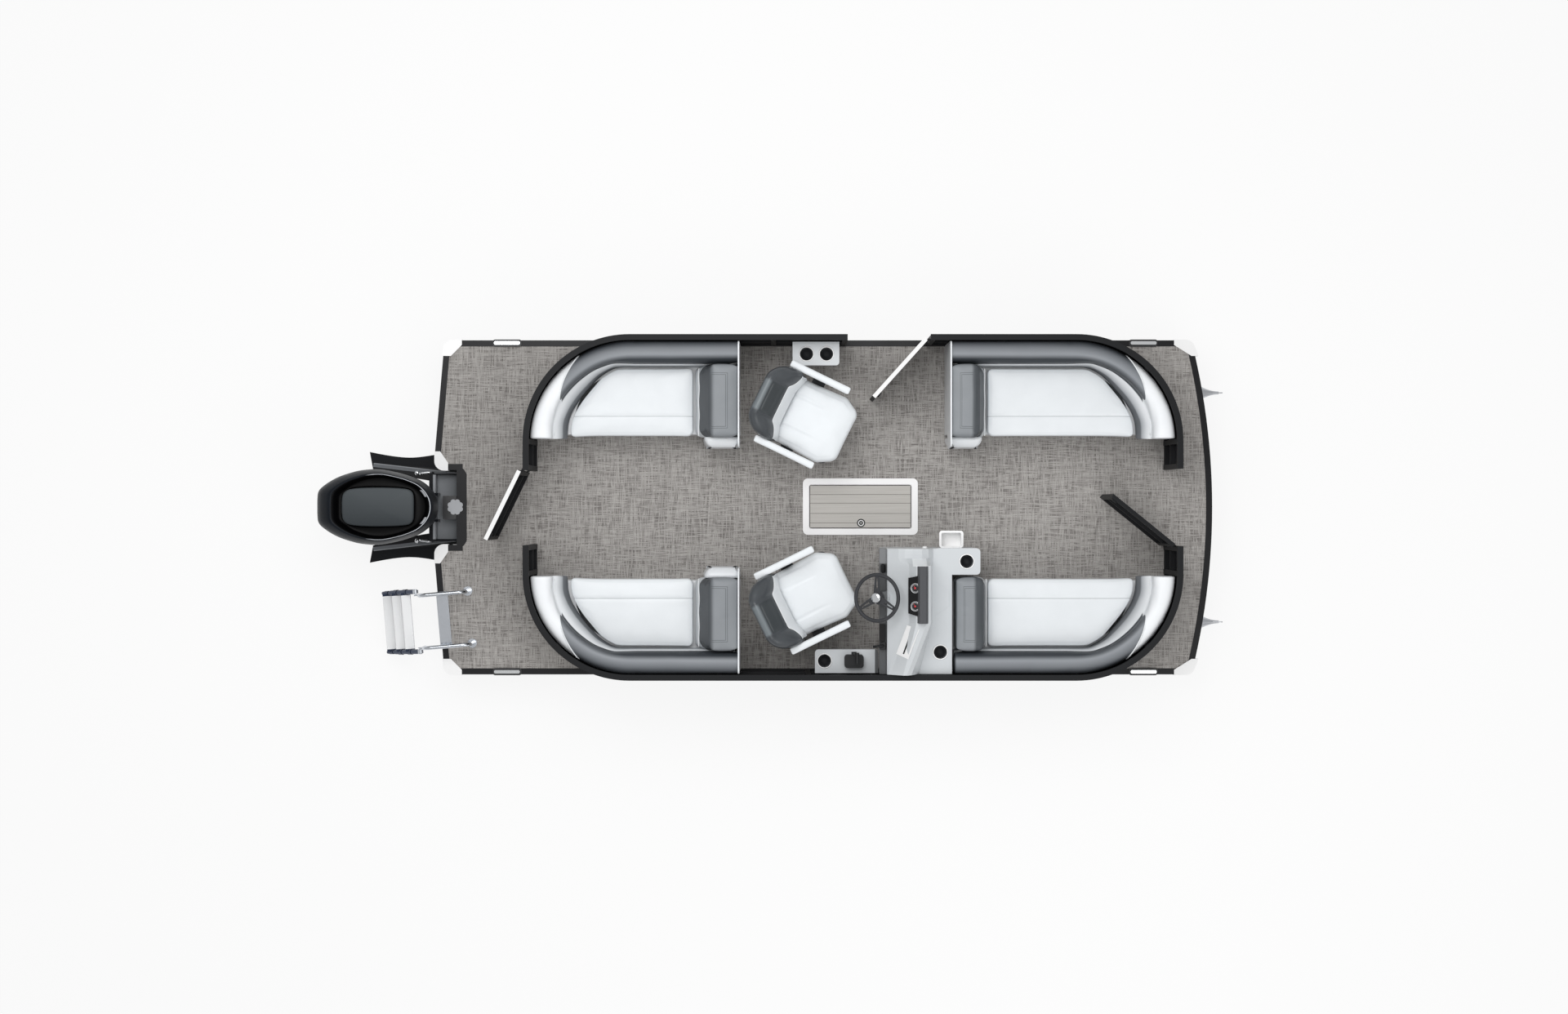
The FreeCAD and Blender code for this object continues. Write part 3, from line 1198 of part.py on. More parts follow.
def helm_visor():
    """Dark hood over the gauges, fitted over the console's crest."""
    profile = [(x, DECK_TOP + z, r) for x, z, r in VISOR_PROFILE]
    hood = prism_y(profile, CONSOLE_IN_Y - VISOR_OUT, CONSOLE_IN_Y - VISOR_IN)
    return hood.cut(moved(console_body(), 0, 0, FIT))


def side_shelf(x0, x1, cups):
    """Moulded shelf on the fence with round cup wells."""
    low = DECK_TOP + SHELF_TOP - SHELF_THICK
    top = DECK_TOP + SHELF_TOP
    slab = prism([(x0, SHELF_IN_Y, SHELF_ROUND), (x1, SHELF_IN_Y, SHELF_ROUND), (x1, FENCE_IN_Y - FIT, 0),
                  (x0, FENCE_IN_Y - FIT, 0)], low, top)
    back = box(x0 + SHELF_APRON_INSET, x1 - SHELF_APRON_INSET, FENCE_IN_Y - FIT - SHELF_APRON_THICK,
               FENCE_IN_Y - FIT, mid_rail_low() - SHELF_APRON_DROP, low + EPS)
    whole = joined([slab, back] + [cup_rim(x, CUP_LINE_Y, top) for x in cups])
    return cut(whole, *[cup_hole(x, CUP_LINE_Y, top) for x in cups])


def port_shelf():
    return side_shelf(PORT_SHELF_X[0], PORT_SHELF_X[1], PORT_CUPS_X)


def helm_ledge():
    return mirrored(side_shelf(LEDGE_AFT_X, CONSOLE_FACE_X - 2, LEDGE_CUPS_X))


def throttle_control():
    """Side-mount control box with its lever and grip."""
    x = THROTTLE_X
    y = -CUP_LINE_Y
    top = DECK_TOP + SHELF_TOP + FIT
    half = THROTTLE_WIDTH / 2
    base = rounded_box(x - THROTTLE_LENGTH / 2, x + THROTTLE_LENGTH / 2, y - half, y + half, top,
                       top + THROTTLE_HEIGHT, THROTTLE_HEIGHT / 3)
    wide = LEVER_WIDTH
    low = top + THROTTLE_HEIGHT * 0.65
    high = low + LEVER_LENGTH
    side = [(x - wide / 2, low, 0), (x + wide / 2, low, 0), (x + wide, high, 0), (x + wide / 4, high, 0)]
    lever = prism_y(side, y + half, y + half + wide / 2)
    pivot = cylinder(vec(x, y + half - 2 * EPS, low), vec(0, 1, 0), wide * 0.62, wide * 0.7)
    grip = cylinder(vec(x + wide * 0.6, y - wide / 3, high), vec(0, 1, 0), wide / 2, half + wide)
    return joined([base, lever, pivot, grip])


def helm_pocket():
    """Open bin with a rolled rim on the inboard side of the console."""
    x0, x1 = BIN_X
    y0 = CONSOLE_IN_Y + FIT
    y1 = CONSOLE_IN_Y + BIN_IN_REACH
    top = DECK_TOP + BIN_TOP
    wall = BIN_WALL
    outer = rounded_box(x0, x1, y0, y1, top - BIN_DEPTH, top, BIN_ROUND)
    rim = rounded_box(x0 - BIN_RIM, x1 + BIN_RIM, y0, y1 + BIN_RIM, top - 2 * BIN_RIM, top,
                      BIN_ROUND * 1.2)
    inner = rounded_box(x0 + wall, x1 - wall, y0 + wall, y1 - wall, top - BIN_DEPTH + wall, top + wall,
                        BIN_ROUND - BIN_RIM)
    return joined([outer, rim]).cut(inner)


# Outboard motor
TILT_AXIS_X = TRANSOM_X + TRANSOM_THICK / 2
TILT_AXIS_Z = 485.0
TILT_TUBE_R = 18.0
STEER_SETBACK = 60.0
STEER_AXIS_X = TRANSOM_X - STEER_SETBACK
STEER_SHAFT_R = 20.0
CLAMP_IN_Y = 92.0
CLAMP_OUT_Y = 112.0
CLAMP_RISE = 20.0
CLAMP_LIP = 24.0
CLAMP_HOOK_Z = 350.0
CLAMP_LOW_Z = 210.0
TILT_TUBE_REACH = 12.0
SLEEVE_R = 31.0
NECK_HALF = 60.0
NECK_THICK = 45.0
COLUMN_REACH = 31.0
COLUMN_HALF = 42.0
COLUMN_ROUND = 14.0
COLUMN_LOW = 110.0
COLUMN_TOP = 500.0
YOKE_LAP = 20.0
YOKE_REACH = 28.0
YOKE_TOP_HALF = 48.0
YOKE_LOW_HALF = 36.0
YOKE_LOW_THICK = 34.0
YOKE_GAP = 8.0
MID_SETBACK = 52.0
MID_LENGTH = 158.0
MID_FRONT_X = STEER_AXIS_X - MID_SETBACK
MID_AFT_X = MID_FRONT_X - MID_LENGTH
MID_NOSE = 0.62
PAN_LOW = 548.0
PAN_TOP = 600.0
PAN_UNDER_SHARE = 0.80
COWL_TOP = 1000.0
COWL_OVERHANG = 97.0
COWL_LENGTH = 869.0
COWL_HALF = 292.0
COWL_AFT_HALF = 150.0
COWL_FRONT_X = TRANSOM_X + COWL_OVERHANG
COWL_AFT_X = COWL_FRONT_X - COWL_LENGTH
COWL_BOWL_DEPTH = 62.0
COWL_PANEL_X = (146.0, 642.0)
COWL_PANEL_HALF = 148.0
COWL_PANEL_SINK = 18.0
COWL_PANEL_ROUND = 60.0
COWL_PANEL_EDGE = 20.0
COWL_CAVITY_INSET = 0.045
# Height of each cowl section and its size as a share of the fullest one
COWL_STEPS = ((PAN_TOP + FIT, 0.90), (PAN_TOP + 60, 0.955), (PAN_TOP + 120, 0.985), (PAN_TOP + 180, 0.99),
              (PAN_TOP + 240, 0.98), (PAN_TOP + 300, 0.955), (PAN_TOP + 350, 0.92), (COWL_TOP - 20, 0.885),
              (COWL_TOP, 0.86))
# The cowl's sunk top: height of each section and its size as a share of the fullest one
BOWL_STEPS = ((COWL_TOP + 4, 0.835), (COWL_TOP - 22, 0.80), (COWL_TOP - COWL_BOWL_DEPTH, 0.70))
# Shares of the cowl's length from its front, and of its half width, along one side of its plan
COWL_SIDE = ((0.0, 0.0), (0.021, 0.325), (0.101, 0.623), (0.253, 0.863), (0.42, 0.982), (0.55, 1.0))
# The leg's height, how far its front is drawn in and its tail stretched, and its half width
MID_SECTIONS = ((-195.0, 20.0, -10.0, 44.0), (120.0, 0.0, 0.0, 66.0), (PAN_LOW, 0.0, 60.0, 90.0))
ENGINE_LEAD = 30.0
ENGINE_LENGTH = 430.0
ENGINE_HALF = 150.0
ENGINE_HEIGHT = 285.0
ENGINE_ROUND = 40.0
AV_PLATE_Z = MID_SECTIONS[0][0]
AV_PLATE_THICK = 10.0
AV_PLATE_REACH = 60.0
AV_PLATE_NECK = 120.0
AV_PLATE_HALVES = (40.0, 90.0, 70.0)
PROP_AXIS_Z = -395.0
GEARCASE_R = 54.0
GEARCASE_SETBACK = 130.0
GEARCASE_LENGTH = 365.0
GEARCASE_FRONT_X = STEER_AXIS_X - GEARCASE_SETBACK
GEARCASE_AFT_X = GEARCASE_FRONT_X - GEARCASE_LENGTH
SKEG_BOTTOM_Z = -590.0
SKEG_X = (120.0, 260.0, 20.0, 60.0)
SKEG_THICK = 10.0
# The strut's height, how far its front and its tail are drawn in, and its half width
STRUT_SECTIONS = ((AV_PLATE_Z, 10.0, 130.0, 42.0), (PROP_AXIS_Z, 60.0, 60.0, 30.0))
# The gear housing's side: shares of its length from the nose and of its radius
TORPEDO = ((0.0, 0.0), (0.068, 0.55), (0.30, 1.0), (0.67, 1.0), (1.0, 0.86))
PROP_R = 172.0
PROP_HUB_R = 48.0
PROP_HUB_LENGTH = 100.0
PROP_SHAFT_R = 12.0
PROP_GAP = 8.0
BLADE_COUNT = 3
BLADE_THICK = 6.0
# A blade's radius as a share of the propeller's, its chord and its pitch angle
BLADE_SECTIONS = ((0.195, 92.0, 62.0), (0.58, 150.0, 44.0), (0.87, 130.0, 33.0), (1.0, 40.0, 28.0))

# Boarding ladder, in its own frame: the hinge line is the y axis, aft is -x
LADDER_REACH = 127.5
LADDER_OUT_SHIFT = 20.25
LADDER_X = STERN_X - LADDER_REACH
LADDER_Y = -(STERN_FLAT_HALF + HALF_BEAM) / 2 - LADDER_OUT_SHIFT
LADDER_HINGE_Z = 475.0
LADDER_HALF = 233.0
LADDER_SLOPE = 50.0
LADDER_TUBE_R = 19.0
LADDER_INNER_R = 14.0
LADDER_TUBE_END = 372.0
LADDER_INNER_END = 492.0
LADDER_TREADS = (152.0, 292.0, 432.0)
LADDER_COLLAR = 3.5
LADDER_COLLAR_LENGTH = 54.0
LADDER_PLATE_HALF = 216.0
LADDER_PLATE_THICK = 6.0
LADDER_PLATE_DEPTH = 78.0
LADDER_PLATE_LIP = 12.0
LADDER_ARM_INSET = 26.0
LADDER_ARM_THICK = 8.0
GRAB_HEIGHT = 150.0
GRAB_START = 40.0
GRAB_END = 400.0
GRAB_BEND = 60.0
GRAB_FOOT_R = 36.0
TREAD_DEPTH = 75.0
TREAD_THICK = 20.0
LADDER_PIN_R = 9.0
LADDER_EYE_R = 21.0
LADDER_EYE_WIDTH = 26.0
RAIL_R = 15.0


def motor_pod():
    """Pod behind the centre tube with its transom, well cheeks and side wings."""
    front = CENTRE_TUBE_STERN_X
    aft = TRANSOM_X + TRANSOM_THICK
    half = POD_HALF
    bottom = POD_BOTTOM_Z
    side = [(aft, bottom + 40, 0), (front - 150, bottom, 0), (front, bottom, 0), (front, CROSS_BOTTOM, 0),
            (WELL_FRONT_X, CROSS_BOTTOM, 0), (aft, pod_floor_z(aft), 0)]
    hull = prism_y(side, -half, half)
    transom = box(TRANSOM_X, aft, -half, half, bottom + 40, TRANSOM_TOP_Z)
    cheek = box(TRANSOM_X, WELL_FRONT_X - 4, half - POD_WALL, half, CROSS_BOTTOM - 60, DECK_UNDER - 4)
    wing = pod_wing()
    return joined([hull, transom, cheek, mirrored(cheek), wing, mirrored(wing)])


def pod_wing():
    """Folded plate beside the motor: a flange with a swept edge over an upright web."""
    root_x = WELL_FRONT_X - WING_ROOT_INSET
    top = WING_TOP_Z
    span = root_x - WING_TIP_X
    edge = Part.BSplineCurve()
    edge.interpolate([vec(WING_TIP_X + span * share, y) for share, y in WING_EDGE])
    inner_root = POD_HALF - POD_WALL / 2
    tip_x = WING_TIP_X + WING_TIP_SWEEP
    corners = [vec(root_x, WING_OUT_ROOT), vec(root_x, inner_root), vec(tip_x, WING_IN_TIP),
               vec(WING_TIP_X, WING_OUT_TIP)]
    lines = [Part.LineSegment(a, b).toShape() for a, b in zip(corners, corners[1:])]
    plate = Part.Face(Part.Wire([edge.toShape()] + lines))
    plate.translate(vec(0, 0, top - WING_WALL))
    flange = plate.extrude(vec(0, 0, WING_WALL))
    web = wing_strip(root_x, tip_x, WING_WALL, top - WING_DROP, top)
    bead = wing_strip(root_x, tip_x, WING_BEAD, top - EPS, top + WING_BEAD_RISE)
    return joined([flange, web, bead])


def wing_strip(root_x, tip_x, width, z0, z1):
    """Upright strip along the inner edge of a wing."""
    inner_root = POD_HALF - POD_WALL / 2
    return prism([(root_x, inner_root), (tip_x, WING_IN_TIP), (tip_x, WING_IN_TIP + width),
                  (root_x, inner_root + width)], z0, z1)


def pod_floor_z(x):
    """Top of the pod, level under the deck and falling towards the transom."""
    share = (WELL_FRONT_X - x) / (WELL_FRONT_X - TRANSOM_X - TRANSOM_THICK)
    return CROSS_BOTTOM - POD_TOP_FALL * max(0.0, share)


def well_box():
    """Black box in the motor well with its lobed cap."""
    front = WELL_FRONT_X - 3
    aft = front - BOX_LENGTH
    top = DECK_TOP + TRIM_TOP_THICK + 1
    post = prism_y([(aft, pod_floor_z(aft), 0), (front, pod_floor_z(front), 0), (front, top, 0),
                    (aft, top, 0)], -BOX_HALF, BOX_HALF)
    lobe_r = CAP_RADIUS * 0.33
    ring_r = CAP_RADIUS - lobe_r
    centre = vec(WELL_FRONT_X - 9, 3, top - EPS)
    shapes = [post, cylinder(centre, vec(0, 0, 1), ring_r + lobe_r * 0.4, CAP_THICK)]
    for i in range(CAP_LOBES):
        angle = 2 * math.pi * (i + 0.5) / CAP_LOBES
        spot = centre + vec(math.cos(angle), math.sin(angle)) * ring_r
        shapes.append(cylinder(spot, vec(0, 0, 1), lobe_r, CAP_THICK))
    return joined(shapes)


def clamp_bracket():
    """Clamp plates over the transom and the tilt tube between them."""
    front = TRANSOM_X + TRANSOM_THICK
    top = TILT_AXIS_Z + CLAMP_RISE
    lip = CLAMP_LIP
    profile = [(front + lip, CLAMP_HOOK_Z, 4), (front + lip, top - lip, 20), (front, top, 10),
               (TRANSOM_X, top, 10), (TRANSOM_X - lip, top - lip, 20), (TRANSOM_X - lip, CLAMP_LOW_Z, 10),
               (TRANSOM_X - FIT, CLAMP_LOW_Z, 0), (TRANSOM_X - FIT, TRANSOM_TOP_Z + FIT, 0),
               (front + FIT, TRANSOM_TOP_Z + FIT, 0), (front + FIT, CLAMP_HOOK_Z, 0)]
    plate = prism_y(profile, CLAMP_IN_Y, CLAMP_OUT_Y)
    reach = CLAMP_OUT_Y + TILT_TUBE_REACH
    tube = cylinder(vec(TILT_AXIS_X, -reach, TILT_AXIS_Z), vec(0, 1, 0), TILT_TUBE_R, 2 * reach)
    return joined([plate, mirrored(plate), tube])


def swivel_bracket():
    """Sleeve on the tilt tube and the column that holds the steering shaft."""
    half = CLAMP_IN_Y - MOVE_GAP
    x = STEER_AXIS_X
    sleeve = cylinder(vec(TILT_AXIS_X, -half, TILT_AXIS_Z), vec(0, 1, 0), SLEEVE_R, 2 * half)
    neck_low = TILT_AXIS_Z - NECK_THICK / 2
    neck = box(x, TILT_AXIS_X, -NECK_HALF, NECK_HALF, neck_low, neck_low + NECK_THICK)
    column = rounded_box(x - COLUMN_REACH, x + COLUMN_REACH, -COLUMN_HALF, COLUMN_HALF, COLUMN_LOW,
                         COLUMN_TOP, COLUMN_ROUND)
    whole = joined([sleeve, neck, column])
    tube_start = vec(TILT_AXIS_X, -CLAMP_IN_Y, TILT_AXIS_Z)
    tube = cylinder(tube_start, vec(0, 1, 0), TILT_TUBE_R + FIT, 2 * CLAMP_IN_Y)
    shaft = cylinder(vec(x, 0, COLUMN_LOW - EPS), vec(0, 0, 1), STEER_SHAFT_R + FIT, COLUMN_TOP)
    return cut(whole, tube, shaft)


def leaf_plan(front, aft, half, nose):
    """Streamlined plan: round nose, fullest a third back, fine tail."""
    curve = Part.BSplineCurve()
    length = front - aft
    curve.interpolate([vec(aft, half * 0.16), vec(aft + length * 0.35, half * 0.8),
                       vec(front - length * 0.3, half), vec(front - length * 0.06, half * nose),
                       vec(front, 0), vec(front - length * 0.06, -half * nose),
                       vec(front - length * 0.3, -half), vec(aft + length * 0.35, -half * 0.8),
                       vec(aft, -half * 0.16)])
    tail = Part.LineSegment(vec(aft, -half * 0.16), vec(aft, half * 0.16)).toShape()
    return Part.Wire([curve.toShape(), tail])


def outboard_midsection():
    """Steering shaft and yokes, the leg casing and the pan under the cowl."""
    low = COLUMN_LOW - 2 * YOKE_GAP
    shaft = cylinder(vec(STEER_AXIS_X, 0, low), vec(0, 0, 1), STEER_SHAFT_R, PAN_LOW - low)
    x0, x1 = MID_FRONT_X - YOKE_LAP, STEER_AXIS_X + YOKE_REACH
    upper = box(x0, x1, -YOKE_TOP_HALF, YOKE_TOP_HALF, COLUMN_TOP + YOKE_GAP, PAN_LOW)
    lower_top = COLUMN_LOW - YOKE_GAP
    lower = box(x0, x1, -YOKE_LOW_HALF, YOKE_LOW_HALF, lower_top - YOKE_LOW_THICK, lower_top)
    wires = []
    for z, front_in, aft_out, half in MID_SECTIONS:
        wire = leaf_plan(MID_FRONT_X - front_in, MID_AFT_X - aft_out, half, MID_NOSE)
        wire.translate(vec(0, 0, z))
        wires.append(wire)
    casing = Part.makeLoft(wires, True, False)
    pan_wires = [cowl_wire(PAN_UNDER_SHARE, PAN_LOW), cowl_wire(COWL_STEPS[0][1], PAN_TOP)]
    pan = Part.makeLoft(pan_wires, True, True)
    return joined([shaft, upper, lower, casing, pan])


def cowl_wire(grow, z):
    """Plan of the cowl: round in front, fullest aft of the middle, flat at the back."""
    middle = (COWL_FRONT_X + COWL_AFT_X) / 2
    half_length = COWL_LENGTH / 2
    port = []
    for back, wide in COWL_SIDE:
        port.append(vec(middle + half_length * (1 - 2 * back) * grow, COWL_HALF * wide * grow, z))
    starboard = [vec(p.x, -p.y, z) for p in port[1:]]
    aft = vec(middle - half_length * grow, COWL_AFT_HALF * grow, z)
    curve = Part.BSplineCurve()
    curve.interpolate(port[::-1] + starboard)
    corners = [starboard[-1], vec(aft.x, -aft.y, z), aft, port[-1]]
    lines = [Part.LineSegment(a, b).toShape() for a, b in zip(corners, corners[1:])]
    return Part.Wire([curve.toShape()] + lines)


def outboard_cowl():
    """Hollow engine cowl: a flared skirt, full sides, and a sunk top with a raised panel."""
    outer = Part.makeLoft([cowl_wire(grow, z) for z, grow in COWL_STEPS], True, False)
    bowl = Part.makeLoft([cowl_wire(grow, z) for z, grow in BOWL_STEPS], True, True)
    inside = [(z, grow) for z, grow in COWL_STEPS if z < COWL_TOP - COWL_BOWL_DEPTH - 2 * MOVE_GAP]
    inner = Part.makeLoft([cowl_wire(grow - COWL_CAVITY_INSET, z) for z, grow in inside], True, False)
    front, aft = COWL_FRONT_X - COWL_PANEL_X[0], COWL_FRONT_X - COWL_PANEL_X[1]
    panel = rounded_box(aft, front, -COWL_PANEL_HALF, COWL_PANEL_HALF, COWL_TOP - COWL_BOWL_DEPTH - EPS,
                        COWL_TOP - COWL_PANEL_SINK, COWL_PANEL_ROUND)
    top_edges = [e for e in panel.Edges if all(v.Z > COWL_TOP - COWL_PANEL_SINK - 0.1 for v in e.Vertexes)]
    panel = panel.makeFillet(COWL_PANEL_EDGE, top_edges)
    return joined([cut(outer, bowl, moved(inner, 0, 0, -EPS)), panel])


def outboard_engine():
    """Plain block of the engine's size."""
    front = STEER_AXIS_X + ENGINE_LEAD
    return rounded_box(front - ENGINE_LENGTH, front, -ENGINE_HALF, ENGINE_HALF, PAN_TOP + FIT,
                       PAN_TOP + ENGINE_HEIGHT, ENGINE_ROUND)


def outboard_gearcase():
    """Lower unit: splitter plate, strut, torpedo, skeg and propeller shaft."""
    front, aft, r = GEARCASE_FRONT_X, GEARCASE_AFT_X, GEARCASE_R
    z = PROP_AXIS_Z
    nose, wide, tail = AV_PLATE_HALVES
    lead, neck, end = front + YOKE_LAP, front - AV_PLATE_NECK, aft - AV_PLATE_REACH
    plate = prism([(end, -tail, 40), (end, tail, 40), (neck, wide, 60), (lead, nose, 30), (lead, -nose, 30),
                   (neck, -wide, 60)], AV_PLATE_Z - AV_PLATE_THICK, AV_PLATE_Z)
    wires = []
    for level, front_in, aft_in, half in STRUT_SECTIONS:
        wire = leaf_plan(front - front_in, aft + aft_in, half, MID_NOSE)
        wire.translate(vec(0, 0, level))
        wires.append(wire)
    strut = Part.makeLoft(wires, True, True)
    curve = Part.BSplineCurve()
    curve.interpolate([vec(front - (front - aft) * along, 0, r * share) for along, share in TORPEDO])
    aft_r = r * TORPEDO[-1][1]
    ends = [vec(aft, 0, aft_r), vec(aft, 0, 0), vec(front, 0, 0)]
    lines = [Part.LineSegment(a, b).toShape() for a, b in zip(ends, ends[1:])]
    half_face = Part.Face(Part.Wire([curve.toShape()] + lines))
    torpedo = half_face.revolve(vec(0, 0, 0), vec(1, 0, 0), 360)
    torpedo.translate(vec(0, 0, z))
    top_front, low_front, low_aft, top_aft = SKEG_X
    side = [(front - top_front, z, 0), (front - low_front, SKEG_BOTTOM_Z, 20),
            (aft + low_aft, SKEG_BOTTOM_Z, 20), (aft + top_aft, z, 0)]
    skeg = prism_y(side, -SKEG_THICK / 2, SKEG_THICK / 2)
    length = PROP_HUB_LENGTH + 2 * YOKE_LAP
    shaft = cylinder(vec(aft + YOKE_LAP - length, 0, z), vec(1, 0, 0), PROP_SHAFT_R, length)
    return joined([plate, strut, torpedo, skeg, shaft])


def propeller():
    """Three twisted blades on a hub."""
    z = PROP_AXIS_Z
    aft = GEARCASE_AFT_X - PROP_GAP - PROP_HUB_LENGTH
    hub = cylinder(vec(aft, 0, z), vec(1, 0, 0), PROP_HUB_R, PROP_HUB_LENGTH)
    middle = aft + PROP_HUB_LENGTH / 2
    shapes = [hub]
    for i in range(BLADE_COUNT):
        blade = Part.makeLoft([blade_section(*section) for section in BLADE_SECTIONS], True, False)
        blade.rotate(vec(0, 0, 0), vec(1, 0, 0), 360.0 * i / BLADE_COUNT)
        shapes.append(moved(blade, middle, 0, z))
    bore = cylinder(vec(aft - EPS, 0, z), vec(1, 0, 0), PROP_SHAFT_R + FIT, PROP_HUB_LENGTH + 2 * EPS)
    return joined(shapes).cut(bore)


def blade_section(share, chord, pitch):
    """Flat section of a blade at its share of the radius, turned to its pitch."""
    x, y = chord / 2, BLADE_THICK / 2
    corners = [vec(-x, -y), vec(x, -y), vec(x, y), vec(-x, y), vec(-x, -y)]
    wire = Part.Wire(Part.makePolygon(corners).Edges)
    wire.rotate(vec(0, 0, 0), vec(0, 0, 1), 90 - pitch)
    wire.translate(vec(0, 0, PROP_R * share))
    return wire


def ladder_place(shape):
    out = turned(shape, vec(0, 0, 0), vec(0, 0, 1), math.degrees(math.atan(STERN_SLANT)))
    return moved(out, LADDER_X, LADDER_Y, LADDER_HINGE_Z)


def slope_dir():
    angle = math.radians(LADDER_SLOPE)
    return vec(-math.cos(angle), 0, -math.sin(angle))


def along_slope(distance, y=0.0):
    return slope_dir() * distance + vec(0, y, 0)


def bent_tube(points, radius):
    """Round bar along points (x, y, z, bend radius): straight lengths with torus bends between."""
    shapes = []
    start = vec(*points[0][:3])
    for i in range(1, len(points) - 1):
        here = vec(*points[i][:3])
        before = (vec(*points[i - 1][:3]) - here).normalize()
        after = (vec(*points[i + 1][:3]) - here).normalize()
        half = before.getAngle(after) / 2
        bend = points[i][3]
        reach = bend / math.tan(half)
        enter, leave = here + before * reach, here + after * reach
        centre = here + (before + after).normalize() * (bend / math.sin(half))
        axis = before.cross(after).normalize() * -1
        shapes.append(cylinder(start, here - start, radius, (enter - start).Length))
        ring = Part.Face(Part.Wire(Part.makeCircle(radius, enter, before)))
        shapes.append(ring.revolve(centre, axis, 180 - math.degrees(2 * half)))
        start = leave
    last = vec(*points[-1][:3])
    shapes.append(cylinder(start, last - start, radius, (last - start).Length))
    return joined(shapes)


def ladder_mount():
    """Plate on the deck edge, hinge arms with their pins, and the two grab rails."""
    deck_z = FLOOR_Z - LADDER_HINGE_Z
    edge = stern_edge_x(LADDER_Y) - LADDER_X
    thick = LADDER_PLATE_THICK
    shapes = [box(edge - LADDER_PLATE_LIP, edge + LADDER_PLATE_DEPTH, -LADDER_PLATE_HALF, LADDER_PLATE_HALF,
                  deck_z, deck_z + thick)]
    arm_y = LADDER_HALF - LADDER_ARM_INSET
    rail_y = arm_y - LADDER_ARM_THICK / 2
    arm_end = edge + LADDER_PLATE_DEPTH - LADDER_ARM_INSET
    half = LADDER_PIN_R + thick
    side = [(-half, -half, thick), (arm_end, deck_z + thick - EPS, 0), (arm_end, deck_z + half * 2, thick),
            (-half, half, thick)]
    arm = prism_y(side, arm_y - LADDER_ARM_THICK, arm_y)
    pin_length = LADDER_ARM_INSET + thick + LADDER_TUBE_R
    pin = cylinder(vec(0, arm_y - thick, 0), vec(0, 1, 0), LADDER_PIN_R, pin_length)
    rail = bent_tube([(GRAB_START, rail_y, 0, 0), (GRAB_START, rail_y, GRAB_HEIGHT, GRAB_BEND),
                      (GRAB_END, rail_y, GRAB_HEIGHT, GRAB_BEND),
                      (GRAB_END, rail_y, deck_z - thick / 2, 0)], RAIL_R)
    foot = cylinder(vec(GRAB_END, rail_y, deck_z - thick / 2), vec(0, 0, 1), GRAB_FOOT_R, thick)
    side = joined([arm, pin, rail, foot])
    return ladder_place(joined(shapes + [side, mirrored(side)]))


def tread(distance, half):
    """Level tread with a rounded nose, centred on the side tubes."""
    spot = along_slope(distance)
    deep = TREAD_DEPTH / 2
    thick = TREAD_THICK / 2
    profile = [(spot.x - deep, spot.z - thick, 8), (spot.x + deep, spot.z - thick, 8),
               (spot.x + deep, spot.z + thick, 8), (spot.x - deep, spot.z + thick, 8)]
    return prism_y(profile, -half, half)


def ladder_upper():
    """Hinged stage: two sleeved side tubes with the two upper treads."""
    shapes = [tread(d, LADDER_HALF - LADDER_COLLAR) for d in LADDER_TREADS[:2]]
    start = LADDER_PIN_R + LADDER_COLLAR
    wide = LADDER_EYE_WIDTH
    across = vec(0, 1, 0)
    holes = []
    for s in (-1, 1):
        y = s * LADDER_HALF
        shapes.append(cylinder(along_slope(start, y), slope_dir(), LADDER_TUBE_R, LADDER_TUBE_END - start))
        shapes.append(cylinder(vec(0, y - wide / 2, 0), across, LADDER_EYE_R, wide))
        shapes.extend([collar(d, y, LADDER_TUBE_R) for d in LADDER_TREADS[:2]])
        bore_start = along_slope(2 * start, y)
        holes.append(cylinder(bore_start, slope_dir(), LADDER_INNER_R + FIT, LADDER_TUBE_END))
        holes.append(cylinder(vec(0, y - wide, 0), across, LADDER_PIN_R + FIT, 2 * wide))
    return ladder_place(cut(joined(shapes), *holes))


def collar(distance, y, radius):
    """Clamp round a side tube where a tread is fixed."""
    return cylinder(along_slope(distance - LADDER_COLLAR_LENGTH / 2, y), slope_dir(), radius + LADDER_COLLAR,
                    LADDER_COLLAR_LENGTH)


def ladder_lower():
    """Sliding stage: two inner tubes with the lowest tread."""
    shapes = [tread(LADDER_TREADS[2], LADDER_HALF - LADDER_COLLAR)]
    start = LADDER_TREADS[0] - LADDER_COLLAR_LENGTH * 2
    for s in (-1, 1):
        y = s * LADDER_HALF
        shapes.append(cylinder(along_slope(start, y), slope_dir(), LADDER_INNER_R, LADDER_INNER_END - start))
        shapes.append(collar(LADDER_TREADS[2], y, LADDER_INNER_R))
    return ladder_place(joined(shapes))


